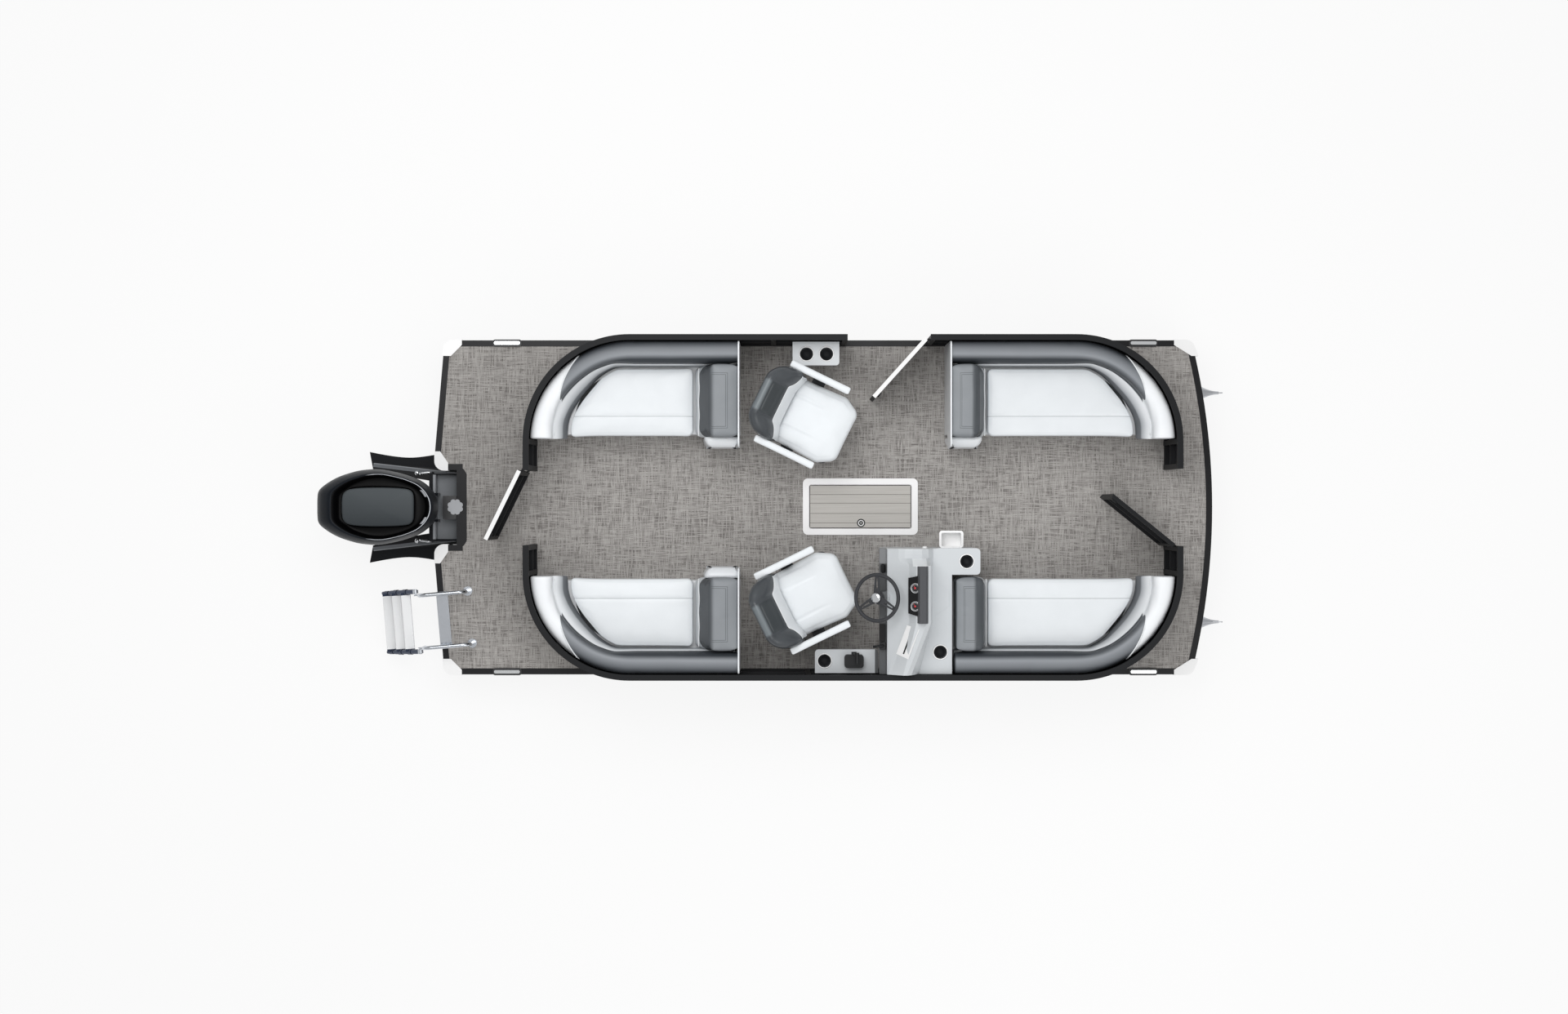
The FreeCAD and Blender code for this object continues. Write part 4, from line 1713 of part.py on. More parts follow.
def build_all():
    """Every piece of the boat by its node name."""
    pontoon = outer_pontoon()
    save("pontoon_port", pontoon)
    save("pontoon_starboard", mirrored(pontoon))
    save("pontoon_centre", centre_pontoon())
    save("motor_pod", motor_pod())
    save("well_box", well_box())
    save("crossmembers", crossmembers())
    save("deck_panel", deck_panel())
    save("deck_trim", deck_trim())
    save("corner_caps", corner_caps())
    save("cleats", cleats())
    save("floor_locker", floor_locker())
    save("locker_lid", locker_lid())
    for name in fence_paths():
        save("fence_" + name, fence_frame(name))
    save("fence_skins", fence_skins())
    for name in ("stern", "bow", "side"):
        save("gate_" + name, gate(name))
    for side in ("port", "starboard"):
        for end in ("aft", "fwd"):
            tag = side + "_" + end
            save("lounge_base_" + tag, lounge_base((side, end)))
            save("lounge_seat_" + tag, lounge_seat((side, end)))
            save("lounge_back_" + tag, lounge_back((side, end)))
        save("chair_shell_" + side, chair_shell(side))
        save("chair_seat_" + side, chair_seat(side))
        save("chair_back_" + side, chair_back(side))
        save("chair_arms_" + side, chair_arms(side))
    save("chair_pedestals", chair_pedestals())
    save("helm_console", helm_console())
    save("helm_gauges", gauge_panel())
    save("helm_visor", helm_visor())
    save("helm_ledge", helm_ledge())
    save("helm_pocket", helm_pocket())
    save("throttle_control", throttle_control())
    save("steering_wheel", steering_wheel())
    save("port_shelf", port_shelf())
    save("outboard_clamp", clamp_bracket())
    save("outboard_swivel", swivel_bracket())
    save("outboard_midsection", outboard_midsection())
    save("outboard_cowl", outboard_cowl())
    save("outboard_engine", outboard_engine())
    save("outboard_gearcase", outboard_gearcase())
    save("propeller", propeller())
    save("ladder_mount", ladder_mount())
    save("ladder_upper", ladder_upper())
    save("ladder_lower", ladder_lower())


os.makedirs("parts", exist_ok=True)
build_all()
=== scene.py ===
import json
import math

import bmesh
import bpy
import numpy as np
from bpy.props import FloatProperty, FloatVectorProperty, IntProperty, PointerProperty
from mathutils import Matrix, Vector


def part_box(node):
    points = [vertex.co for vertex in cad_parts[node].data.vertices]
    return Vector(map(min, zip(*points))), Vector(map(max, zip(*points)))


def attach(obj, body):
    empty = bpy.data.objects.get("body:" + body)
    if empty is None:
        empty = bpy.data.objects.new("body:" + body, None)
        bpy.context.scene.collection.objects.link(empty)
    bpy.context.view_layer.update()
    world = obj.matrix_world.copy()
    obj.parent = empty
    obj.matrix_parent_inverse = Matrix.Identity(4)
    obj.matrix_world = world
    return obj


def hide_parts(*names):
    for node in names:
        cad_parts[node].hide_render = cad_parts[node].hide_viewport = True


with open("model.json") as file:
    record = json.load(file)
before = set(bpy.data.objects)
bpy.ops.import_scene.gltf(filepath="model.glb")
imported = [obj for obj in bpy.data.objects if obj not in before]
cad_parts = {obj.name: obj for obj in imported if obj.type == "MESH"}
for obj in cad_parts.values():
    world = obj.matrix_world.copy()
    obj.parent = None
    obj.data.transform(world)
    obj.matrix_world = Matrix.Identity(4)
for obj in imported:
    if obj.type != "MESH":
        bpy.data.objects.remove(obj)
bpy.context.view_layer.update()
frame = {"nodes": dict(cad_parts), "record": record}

bl_info = {
    "name": "Pontoon boat dressing",
    "version": (1, 0, 0),
    "blender": (4, 5, 0),
    "location": "3D View > Sidebar > Boat",
    "description": "Cushions, trim, finishes and studio for a pontoon boat",
    "category": "Object",
}

# Places read from the frame, in metres: x to the bow, y to port, z up from the waterline
DECK_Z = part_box("deck_panel")[1].z
FENCE_TOP_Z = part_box("fence_starboard")[1].z
BASE_TOP_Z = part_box("lounge_base_port_aft")[1].z
FENCE_IN_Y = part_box("lounge_base_port_aft")[1].y + 0.004

# Places typed as the frame has them: the locker's latch, the chairs' and the ladder's turning axes,
# the wheel, the fence's corner radius and the boat's middle line
LATCH = Vector((0.290, -0.121, 0.0))
CHAIR_AXIS = Vector((-0.150, 0.683, 0.0))
CHAIR_YAW = math.radians(26.0)
LADDER_AXIS = Vector((-3.140, -0.885, 0.475))
LADDER_YAW = math.atan(0.0857)
WHEEL_CENTRE = Vector((0.383, -0.671, 1.230))
WHEEL_TILT = math.radians(25.5)
FENCE_CURVE = 0.753
BOAT_MID_Y = 0.003
SIDES = (("port", 1.0), ("starboard", -1.0))
MIRROR_Y = np.array([1.0, -1.0, 1.0])

# Finishes: the white cap's depth on a gate, and the roughness of every clear coat
GATE_CAP = 0.008
COAT_ROUGH = 0.08

# Meshes: welding distance, step along arcs, eased edge of a slab, slope of an upright bar, sides
# of a ring, and the gap round a cushion
WELD = 2e-5
ARC_STEP = 0.004
EASE = 0.001
STEEP_RUN = 0.9
RING_SIDES = 64
GAP = 0.004

# Cloth run that fills the cushions
CLOTH_STIFFNESS = 12.0
CLOTH_BENDING = 2.0
CLOTH_FRAMES = 20


# Shader maths


class Val:
    """A socket that grows Math nodes when it is calculated with."""

    def __init__(self, shade, socket):
        self.shade = shade
        self.socket = socket

    def op(self, name, *others, clamp=False):
        return self.shade.math(name, self, *others, clamp=clamp)

    def __add__(self, other):
        return self.op("ADD", other)

    def __sub__(self, other):
        return self.op("SUBTRACT", other)

    def __mul__(self, other):
        return self.op("MULTIPLY", other)

    def __rsub__(self, other):
        return self.shade.math("SUBTRACT", other, self)

    def __abs__(self):
        return self.op("ABSOLUTE")

    def clamped(self):
        return self.op("ADD", 0.0, clamp=True)

    def ramp(self, slope, start):
        """slope x value + start, held between 0 and 1."""
        return self.op("MULTIPLY_ADD", slope, start, clamp=True)


class Shade:
    """One material: its nodes, its principled shader and helpers that add to it."""

    def __init__(self, name, color, rough=0.5, metal=0.0, coat=0.0, sheen=0.0, spec=0.5):
        self.mat = bpy.data.materials.new(name)
        self.mat.use_nodes = True
        self.tree = self.mat.node_tree
        self.tree.nodes.clear()
        self.bsdf = self.node("ShaderNodeBsdfPrincipled")
        out = self.node("ShaderNodeOutputMaterial")
        self.tree.links.new(self.bsdf.outputs[0], out.inputs[0])
        self.color = (*color, 1.0)
        for name, value in (("Base Color", self.color), ("Roughness", rough), ("Metallic", metal),
                            ("Coat Weight", coat), ("Coat Roughness", COAT_ROUGH),
                            ("Sheen Weight", sheen), ("Specular IOR Level", spec)):
            self.put(name, value)
        self.mat.diffuse_color = self.color

    def node(self, kind, settings=None, inputs=None):
        """Add a node: its settings first, then the values or links of its sockets."""
        node = self.tree.nodes.new(kind)
        for key, value in (settings or {}).items():
            setattr(node, key, value)
        for key, value in (inputs or {}).items():
            self.plug(node.inputs[key], value)
        return node

    def plug(self, socket, value):
        if isinstance(value, Val):
            self.tree.links.new(value.socket, socket)
        elif isinstance(value, bpy.types.NodeSocket):
            self.tree.links.new(value, socket)
        else:
            socket.default_value = value

    def put(self, name, value):
        self.plug(self.bsdf.inputs[name], value)

    def math(self, name, *values, clamp=False):
        settings = {"operation": name, "use_clamp": clamp}
        node = self.node("ShaderNodeMath", settings, dict(enumerate(values)))
        return Val(self, node.outputs[0])

    def parts(self, vector):
        split = self.node("ShaderNodeSeparateXYZ", None, {0: vector})
        return [Val(self, split.outputs[i]) for i in range(3)]

    def coords(self):
        """Object coordinates as three values."""
        if not hasattr(self, "place"):
            self.where = self.node("ShaderNodeTexCoord").outputs["Object"]
            self.place = self.parts(self.where)
        return self.place

    def flow(self):
        """The piece's own attribute of the same name as three values."""
        settings = {"attribute_name": "flow", "attribute_type": "GEOMETRY"}
        node = self.node("ShaderNodeAttribute", settings)
        return self.parts(node.outputs["Vector"])

    def noise(self, stretch=(1, 1, 1), scale=1.0, detail=2.0):
        """Cloud noise, finer along an axis by its stretch."""
        drawn = [axis * k for axis, k in zip(self.coords(), stretch)]
        where = self.node("ShaderNodeCombineXYZ", None, dict(enumerate(drawn))).outputs[0]
        node = self.node("ShaderNodeTexNoise", {"noise_dimensions": "3D"},
                         {"Vector": where, "Scale": scale, "Detail": detail, "Roughness": 0.5})
        return Val(self, node.outputs["Fac"])

    def mix(self, share, first, second):
        """Colour between two colours."""
        node = self.node("ShaderNodeMix", {"data_type": "RGBA"}, {0: share, 6: first, 7: second})
        return node.outputs[2]

    def paint(self, share, first, second):
        """Give the surface the colour between two colours."""
        self.put("Base Color", self.mix(share, first, second))

    def band(self, value, centre, half, soft=0.001):
        """1 within half of the centre, 0 outside, with soft edges."""
        return abs(value - centre).ramp(-1.0 / soft, (half + soft / 2) / soft)

    def above(self, value, level, soft=0.0005):
        """1 above the level, 0 below it, with a soft edge."""
        return value.ramp(1.0 / soft, 0.5 - level / soft)

    def most(self, first, second):
        """The larger of two values."""
        return self.math("MAXIMUM", first, second)

    def bump(self, height, distance, strength):
        node = self.node("ShaderNodeBump", None,
                         {"Height": height, "Distance": distance, "Strength": strength})
        self.put("Normal", node.outputs[0])

    def varied(self, share, low, high):
        """Give the surface its own colour times low to times high, by the share."""
        dark, light = ([min(1.0, c * k) for c in self.color[:3]] + [1.0] for k in (low, high))
        self.paint(share, dark, light)

    def mottled(self, amount, scale):
        """Slight colour variation, which every real finish has."""
        cloud = self.noise(scale=scale, detail=3.0)
        self.varied(cloud, 1 - amount, 1 + amount)
        return cloud


def lin(r, g, b):
    """Screen colour 0..255 to the linear colour a shader takes."""
    shares = [v / 255.0 for v in (r, g, b)]
    return tuple(v / 12.92 if v <= 0.04045 else ((v + 0.055) / 1.055) ** 2.4 for v in shares)


def tone(r, g, b):
    """Screen colour 0..255 as the four numbers of a colour socket."""
    return (*lin(r, g, b), 1.0)


def brushed(name, color, along, rough=0.34):
    """Metal with fine streaks along one axis."""
    s = Shade(name, color, rough=rough, metal=1.0)
    stretch = [260.0, 260.0, 260.0]
    stretch[along] = 3.0
    streak = s.noise(tuple(stretch), detail=3.0)
    s.put("Roughness", streak * 0.22 + (rough - 0.11))
    s.bump(streak, 0.0004, 0.25)
    s.varied(s.noise(scale=1.7, detail=4.0), 0.86, 1.08)
    return s


def painted(name, color, rough, coat, spec=0.5):
    """Sprayed paint with a faint orange peel."""
    s = Shade(name, color, rough=rough, coat=coat, spec=spec)
    s.mottled(0.10, 7.0)
    grain = s.noise(scale=420.0)
    s.bump(grain, 0.0002, 0.15)
    return s


def moulded(name, color, rough=0.32, coat=0.25, pebble=260.0, spec=0.5):
    """Moulded plastic with a fine even pebble."""
    s = Shade(name, color, rough=rough, coat=coat, spec=spec)
    cloud = s.mottled(0.035, 3.0)
    grain = s.noise(scale=pebble)
    s.put("Roughness", cloud * 0.10 + (rough - 0.05))
    s.bump(grain, 0.0003, 0.12)
    return s


def vinyl_base(s):
    """Marine vinyl: a fine leather grain with soft wrinkles."""
    s.coords()
    cells = s.node("ShaderNodeTexVoronoi", {"feature": "SMOOTH_F1"},
                   {"Vector": s.where, "Scale": 330.0, "Smoothness": 0.6})
    fold = s.noise(scale=6.0, detail=4.0)
    height = Val(s, cells.outputs["Distance"]) * 0.5 + fold * 1.2
    s.bump(height, 0.0009, 0.22)
    return fold


def vinyl(name, color, rough=0.42):
    """Marine vinyl of one colour."""
    s = Shade(name, color, rough=rough, coat=0.06)
    fold = vinyl_base(s)
    s.varied(fold, 0.94, 1.05)
    return s


def seat_vinyl():
    """Lounge seat: near-white vinyl with one thin sewn line parallel to the fence, darkened as
    painted shade in its groove.
    """
    s = Shade("seat_vinyl", lin(230, 234, 237), rough=0.42, coat=0.06)
    fold = vinyl_base(s)
    _, y, _ = s.coords()
    base = s.mix(fold, tone(224, 228, 231), tone(234, 238, 241))
    # Painted shade along the sewn line's groove, deeper than the groove's own shape gives
    line = s.band(abs(y), FENCE_IN_Y - SEAM_V, 0.0022, 0.0025)
    s.paint(line * 0.7, base, tone(120, 123, 127))
    return s


def deck_vinyl():
    """Woven vinyl flooring: thin dark and pale yarns both ways on grey-beige, plain underneath.

    A yarn lies where a noise drawn out along it crosses one half: share = 1 - 9 x |noise - 0.5|."""
    s = Shade("woven_vinyl", lin(146, 142, 138), rough=0.75, sheen=0.1, spec=0.2)
    _, _, z = s.coords()
    yarns = []
    for stretch in ((4.0, 64.0, 31.0), (64.0, 4.0, 57.0), (5.0, 76.0, 83.0), (76.0, 5.0, 12.0)):
        yarns.append(abs(s.noise(stretch, detail=1.0) - 0.5).ramp(-9.0, 1.0))
    dark = s.most(yarns[0], yarns[1])
    pale = s.most(yarns[2], yarns[3])
    woven = s.mix(dark * 0.78, tone(156, 152, 149), tone(92, 88, 85))
    woven = s.mix(pale * 0.55, woven, tone(196, 193, 189))
    top = s.above(z, DECK_Z - 0.001)
    s.paint(top, tone(150, 148, 144), woven)
    s.bump(pale - dark, 0.0008, 0.3)
    return s


def black_trim():
    """Black edge extrusion, scuffed here and there."""
    s = Shade("edge_black", lin(30, 30, 32), rough=0.42, spec=0.2)
    cloud = s.mottled(0.18, 5.0)
    scratch = s.noise((4.0, 4.0, 300.0), detail=3.0)
    s.put("Roughness", scratch * 0.2 + 0.25)
    s.bump(cloud, 0.0006, 0.1)
    return s


def speckled(name):
    """Powder-coated black with a soft satin speckle: the finish, its speckle and its colour."""
    s = Shade(name, lin(30, 31, 33), rough=0.5, spec=0.15)
    speck = s.noise(scale=350.0)
    s.bump(speck, 0.0003, 0.2)
    return s, speck, s.mix(speck, tone(22, 23, 25), tone(36, 37, 39))


def fence_black():
    """Rails, posts and sheets of the fence."""
    s, speck, black = speckled("rail_black")
    s.put("Base Color", black)
    s.put("Roughness", speck * 0.2 + 0.40)
    return s


def gate_cap_finish():
    """Gate leaf with a white cap along its top rail."""
    s, _, black = speckled("gate_leaf_white_cap")
    _, _, z = s.coords()
    s.paint(s.above(z, FENCE_TOP_Z - GATE_CAP), black, tone(240, 240, 240))
    return s


def cleat_finish():
    """Black base with a bright chromed horn."""
    s = Shade("cleat_finish", lin(40, 40, 42), rough=0.4)
    _, _, z = s.coords()
    horn = s.above(z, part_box("cleats")[1].z - 0.012)
    cloud = s.noise(scale=40.0)
    s.paint(horn, tone(36, 36, 38), tone(232, 234, 236))
    s.put("Metallic", horn)
    s.put("Roughness", 0.42 - horn * 0.3 + cloud * 0.05)
    return s


def lid_finish():
    """Ribbed beige lid with painted shade in its grooves, a painted shadow in the gap round its
    edge, and the black turning latch.
    """
    s = Shade("lid_beige_ribbed", lin(186, 183, 178), rough=0.55)
    x, y, z = s.coords()
    grain = s.noise((3.0, 120.0, 1.0), detail=3.0)
    base = s.mix(grain, tone(176, 172, 166), tone(199, 196, 191))
    low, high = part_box("locker_lid")
    top = high.z - 0.002
    # Painted shade in the grooves between the ribs
    groove_shade = 1 - s.above(z, top - 0.0012)
    base = s.mix(groove_shade, base, tone(128, 124, 119))
    off_x = x - LATCH.x
    off_y = y - LATCH.y
    far = s.math("SQRT", off_x * off_x + off_y * off_y)
    latch = 1 - s.above(far, 0.0325)
    ring = (s.band(far, 0.0195, 0.0035) + s.band(far, 0.0, 0.0045)).clamped()
    base = s.mix(latch, base, tone(24, 24, 26))
    base = s.mix(ring * latch, base, tone(232, 232, 232))
    middle = (low + high) / 2
    half = (high - low) / 2
    # Painted shadow in the gap between the lid and its frame: a thin dark band round the lid's edge
    gap_shadow_x = s.above(abs(x - middle.x), half.x - 0.005, 0.001)
    gap_shadow_y = s.above(abs(y - middle.y), half.y - 0.005, 0.001)
    base = s.mix(s.most(gap_shadow_x, gap_shadow_y), base, tone(62, 60, 58))
    s.put("Base Color", base)
    s.put("Roughness", grain * 0.2 + 0.42)
    s.bump(grain, 0.0006, 0.3)
    return s


def well_box_finish():
    """Black box whose lobed cap is cast in silver grey."""
    s = Shade("well_box_finish", lin(30, 30, 33), rough=0.3, coat=0.4)
    _, _, z = s.coords()
    cap = s.above(z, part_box("well_box")[1].z - 0.0105)
    cloud = s.noise(scale=60.0, detail=3.0)
    s.paint(cap, tone(26, 26, 29), tone(172, 174, 178))
    s.put("Roughness", cloud * 0.2 + 0.3)
    s.bump(cloud, 0.0005, 0.2)
    return s


def cowl_finish():
    """Motor cowl: blue-black outside, a painted highlight along the rim's front, black bowl, grey
    top panel with a painted sheen.

    The piece's attribute holds the share of the way from the pan over the rim to the panel."""
    s = Shade("cowl_black_gloss", lin(20, 24, 30), rough=0.42, spec=0.10)
    x, y, _ = s.coords()
    way, _, _ = s.flow()
    cloud = s.noise(scale=7.0, detail=3.0)
    band = s.mix(cloud, tone(14, 17, 21), tone(28, 33, 40))
    bowl = s.above(way, 0.53, 0.02)
    panel = s.above(way, 0.86, 0.03)
    # Painted sheen across the top panel: its grey lightens towards port
    sheen = y.ramp(1.9, 0.5)
    lid = s.mix(sheen, tone(44, 48, 51), tone(86, 91, 94))
    color = s.mix(bowl, band, tone(4, 4, 5))
    color = s.mix(panel, color, lid)
    # Painted highlight along the crest of the rim's front, in place of its reflection
    rim = s.band(way, 0.492, 0.016, 0.012) * s.above(x, -3.43, 0.05)
    wide = abs(y - BOAT_MID_Y)
    flash = s.band(wide, 0.102, 0.025, 0.004) * s.band(way, 0.585, 0.05, 0.01)
    flash = flash * s.above(x, -3.06, 0.01)
    light = s.most(rim, flash)
    s.paint(light, color, tone(196, 199, 204))
    s.put("Roughness", cloud * 0.08 + 0.36)
    return s


def pod_finish():
    """Black wings and transom, with the well's floor in brushed grey that a painted sheen lightens
    towards its aft end.
    """
    s = Shade("pod_black_paint", lin(22, 24, 27), rough=0.5, spec=0.12)
    x, y, _ = s.coords()
    streak = s.noise((4.0, 90.0, 1.0))
    # The well's floor: grey, with a painted sheen that lightens it towards the aft end
    floor = s.above(x, -3.03, 0.004) * (1 - s.above(abs(y - BOAT_MID_Y), 0.25, 0.004))
    fade = x.ramp(-5.0, -14.1)
    grey = s.mix(fade, tone(96, 99, 102), tone(150, 153, 157))
    dark = s.mix(streak, tone(18, 19, 22), tone(30, 32, 36))
    s.paint(floor, dark, grey)
    s.put("Roughness", streak * 0.15 + 0.40)
    return s


def console_finish():
    """Light grey gelcoat, the dark strip under the dash and a painted highlight on the facet beside
    the hood.
    """
    s = Shade("console_grey_gelcoat", lin(204, 208, 211), rough=0.34, coat=0.25)
    x, y, z = s.coords()
    cloud = s.noise(scale=3.0, detail=3.0)
    base = s.mix(cloud, tone(200, 204, 207), tone(208, 212, 215))
    strip = (1 - s.above(x, 0.462, 0.002)) * s.above(z, DECK_Z + 0.45, 0.01)
    strip = strip * s.above(x, 0.38, 0.002)
    shade = s.mix(s.above(y, -0.42, 0.004), tone(78, 80, 82), tone(128, 130, 132))
    # Painted highlight on the facet that slopes down from the gauge pod's inboard end
    facet_highlight = s.band(x, 0.698, 0.052, 0.004) * s.band(y, -0.408, 0.028, 0.004)
    base = s.mix(facet_highlight, base, tone(236, 239, 241))
    s.paint(strip, base, shade)
    s.put("Roughness", cloud * 0.10 + 0.30)
    s.bump(s.noise(scale=260.0), 0.0003, 0.12)
    return s


def pocket_finish():
    """White bin with a painted shadow line just inside its rim."""
    s = Shade("pocket_white", lin(250, 250, 250), rough=0.35, coat=0.1)
    x, y, z = s.coords()
    low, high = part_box("helm_pocket")
    middle = (low + high) / 2
    half = (high - low) / 2
    off_x = abs(x - middle.x) - (half.x - 0.024)
    off_y = abs(y - middle.y) - (half.y - 0.024)
    # Painted shadow on the bin's inner walls, a dark line just inside the rim
    line = s.band(s.most(off_x, off_y), 0.0, 0.0035, 0.002) * s.above(z, high.z - 0.06, 0.01)
    cloud = s.noise(scale=12.0)
    base = s.mix(cloud, tone(248, 248, 248), tone(253, 253, 253))
    s.paint(line, base, tone(58, 58, 60))
    return s


def wing_stripe_finish():
    """Black strip with a light grey stripe set off from its inner edge, which runs aslant."""
    s = Shade("wing_strip_black", lin(16, 17, 20), rough=0.4, spec=0.25)
    x, y, _ = s.coords()
    run = x + 3.562
    off = abs(y - BOAT_MID_Y) - (0.309 - run * 0.1503)
    place = off - run * 0.0334 - 0.009
    stripe = s.band(place, 0.015, 0.015, 0.003)
    lip = s.band(place, 0.029, 0.003, 0.002)
    streak = s.noise((3.0, 160.0, 1.0))
    grey = s.mix(streak, tone(92, 95, 99), tone(122, 125, 129))
    color = s.mix(stripe, tone(16, 17, 20), grey)
    s.paint(lip, color, tone(150, 153, 157))
    return s


def ladder_finish():
    """Anodised navy side tubes, white treads and bright eyes at the hinge."""
    s = Shade("ladder_finish", lin(50, 56, 70), rough=0.28, metal=0.8)
    x, y, _ = s.coords()
    off_x = x - LADDER_AXIS.x
    off_y = y - LADDER_AXIS.y
    across = off_y * math.cos(LADDER_YAW) - off_x * math.sin(LADDER_YAW)
    along = off_x * math.cos(LADDER_YAW) + off_y * math.sin(LADDER_YAW)
    tread = 1 - s.above(abs(across), 0.2095, 0.001)
    eye = s.above(along, -0.022, 0.002)
    grip = s.noise((140.0, 3.0, 1.0))
    color = s.mix(eye, tone(58, 66, 84), tone(206, 210, 216))
    s.paint(tread, color, tone(246, 247, 248))
    s.put("Metallic", 0.85 - tread * 0.85)
    s.put("Roughness", grip * 0.15 + 0.22 + tread * 0.2)
    s.bump(grip, 0.0008, 0.25)
    return s


def roll_vinyl():
    """Backrest vinyl: dark grey roll with its pointed leaf end, white wrap and a lower face of grey
    vinyl. Painted light: a highlight along the roll's crest, shade towards both its edges, shade
    darkening the lower face downwards and a shadow in the gap at its foot.

    The piece's attribute holds degrees round the corner / 100, depth from the fence and height."""
    s = Shade("wrapped_back_vinyl", lin(120, 124, 128), rough=0.45, coat=0.0, spec=0.3)
    fold = vinyl_base(s)
    turn, depth, height = s.flow()
    leaf = 1 - s.above(turn - depth * 2.26, 0.308, 0.004)
    top_zone = s.above(height, 0.452, 0.006)
    # Painted light across the roll: painted shade at its fence edge rising to a painted highlight
    # on its crest, then falling to painted shade at its inner edge
    rise = depth.ramp(11.0, -0.10)
    inner_edge_shade = depth.ramp(30.0, -3.25)
    dark = s.mix(rise, tone(72, 76, 81), tone(142, 146, 151))
    dark = s.mix(inner_edge_shade, dark, tone(56, 60, 65))
    dark = s.mix(fold * 0.12, dark, tone(80, 84, 88))
    white = s.mix(fold, tone(236, 239, 242), tone(246, 248, 250))
    # Lower face: grey vinyl, with painted shade that darkens it downwards from the white at its top
    low_face = s.mix(fold, tone(158, 162, 166), tone(170, 174, 178))
    face = s.mix(height.ramp(18.0, -7.1), low_face, white)
    # Painted shadow in the gap between the back's foot and the seat, round the corner
    foot_gap_shadow = (1 - s.above(height, 0.392, 0.012)) * s.above(turn, 0.17, 0.08)
    face = s.mix(foot_gap_shadow, face, tone(112, 115, 119))
    s.paint(top_zone, face, s.mix(leaf, white, dark))
    return s


def chaise_vinyl():
    """Chaise vinyl: light foot, charcoal front with a waved lower edge, grey top with an embossed
    panel whose double edge line is painted darker as shade.

    Its attribute holds the share of the way to the foot, the place across and the height."""
    s = Shade("chaise_vinyl", lin(90, 94, 98), rough=0.46, coat=0.0, spec=0.3)
    fold = vinyl_base(s)
    reach, across, height = s.flow()
    wave = s.math("SINE", across * WAVE_TURN) * WAVE_DEPTH
    front = s.above(height + wave, WAVE_Z, 0.003)
    top = 1 - s.above(reach, 0.60, 0.10)
    dark = s.mix(fold, tone(68, 72, 76), tone(84, 88, 92))
    grey = s.mix(fold, tone(132, 136, 140), tone(144, 148, 152))
    light = s.mix(fold, tone(208, 212, 215), tone(220, 224, 227))
    # Painted shade: the embossed panel's double edge line is painted darker in place of its relief
    wide = abs(across - 0.453) - 0.208
    deep = (abs(reach - 0.45) - 0.20) * 0.32
    edge = s.most(wide, deep)
    sewn = (s.band(edge, 0.0, 0.002, 0.002) + s.band(edge, -0.013, 0.002, 0.002)).clamped()
    color = s.mix(sewn * 0.8, s.mix(top, dark, grey), tone(88, 92, 96))
    s.paint(front, light, color)
    return s


def chair_back_vinyl():
    """Chair back: white lining under the piping, charcoal crest with a painted highlight along its
    ridge, and a sunk panel.

    The piece's attribute holds the line's number / 8, the place across and the height."""
    s = Shade("chair_back_vinyl", lin(70, 74, 78), rough=0.36, coat=0.10)
    fold = vinyl_base(s)
    line, across, _ = s.flow()
    wide = abs(across)
    lining = 1 - s.above(line, 0.25, 0.004)
    # Painted highlight: a paler strip along the crest's ridge, in place of the rolled top's gloss
    # reflection
    ridge = s.band(line, 0.53, 0.085, 0.05) * (1 - s.above(wide, 0.122, 0.02))
    panel = s.band(line, 0.345, 0.075, 0.012) * (1 - s.above(wide, 0.122, 0.006))
    dark = s.mix(fold, tone(58, 62, 66), tone(76, 80, 84))
    white = s.mix(fold, tone(222, 226, 229), tone(236, 240, 243))
    color = s.mix(ridge, dark, tone(112, 119, 123))
    color = s.mix(panel, color, tone(60, 65, 68))
    s.paint(lining, color, white)
    return s


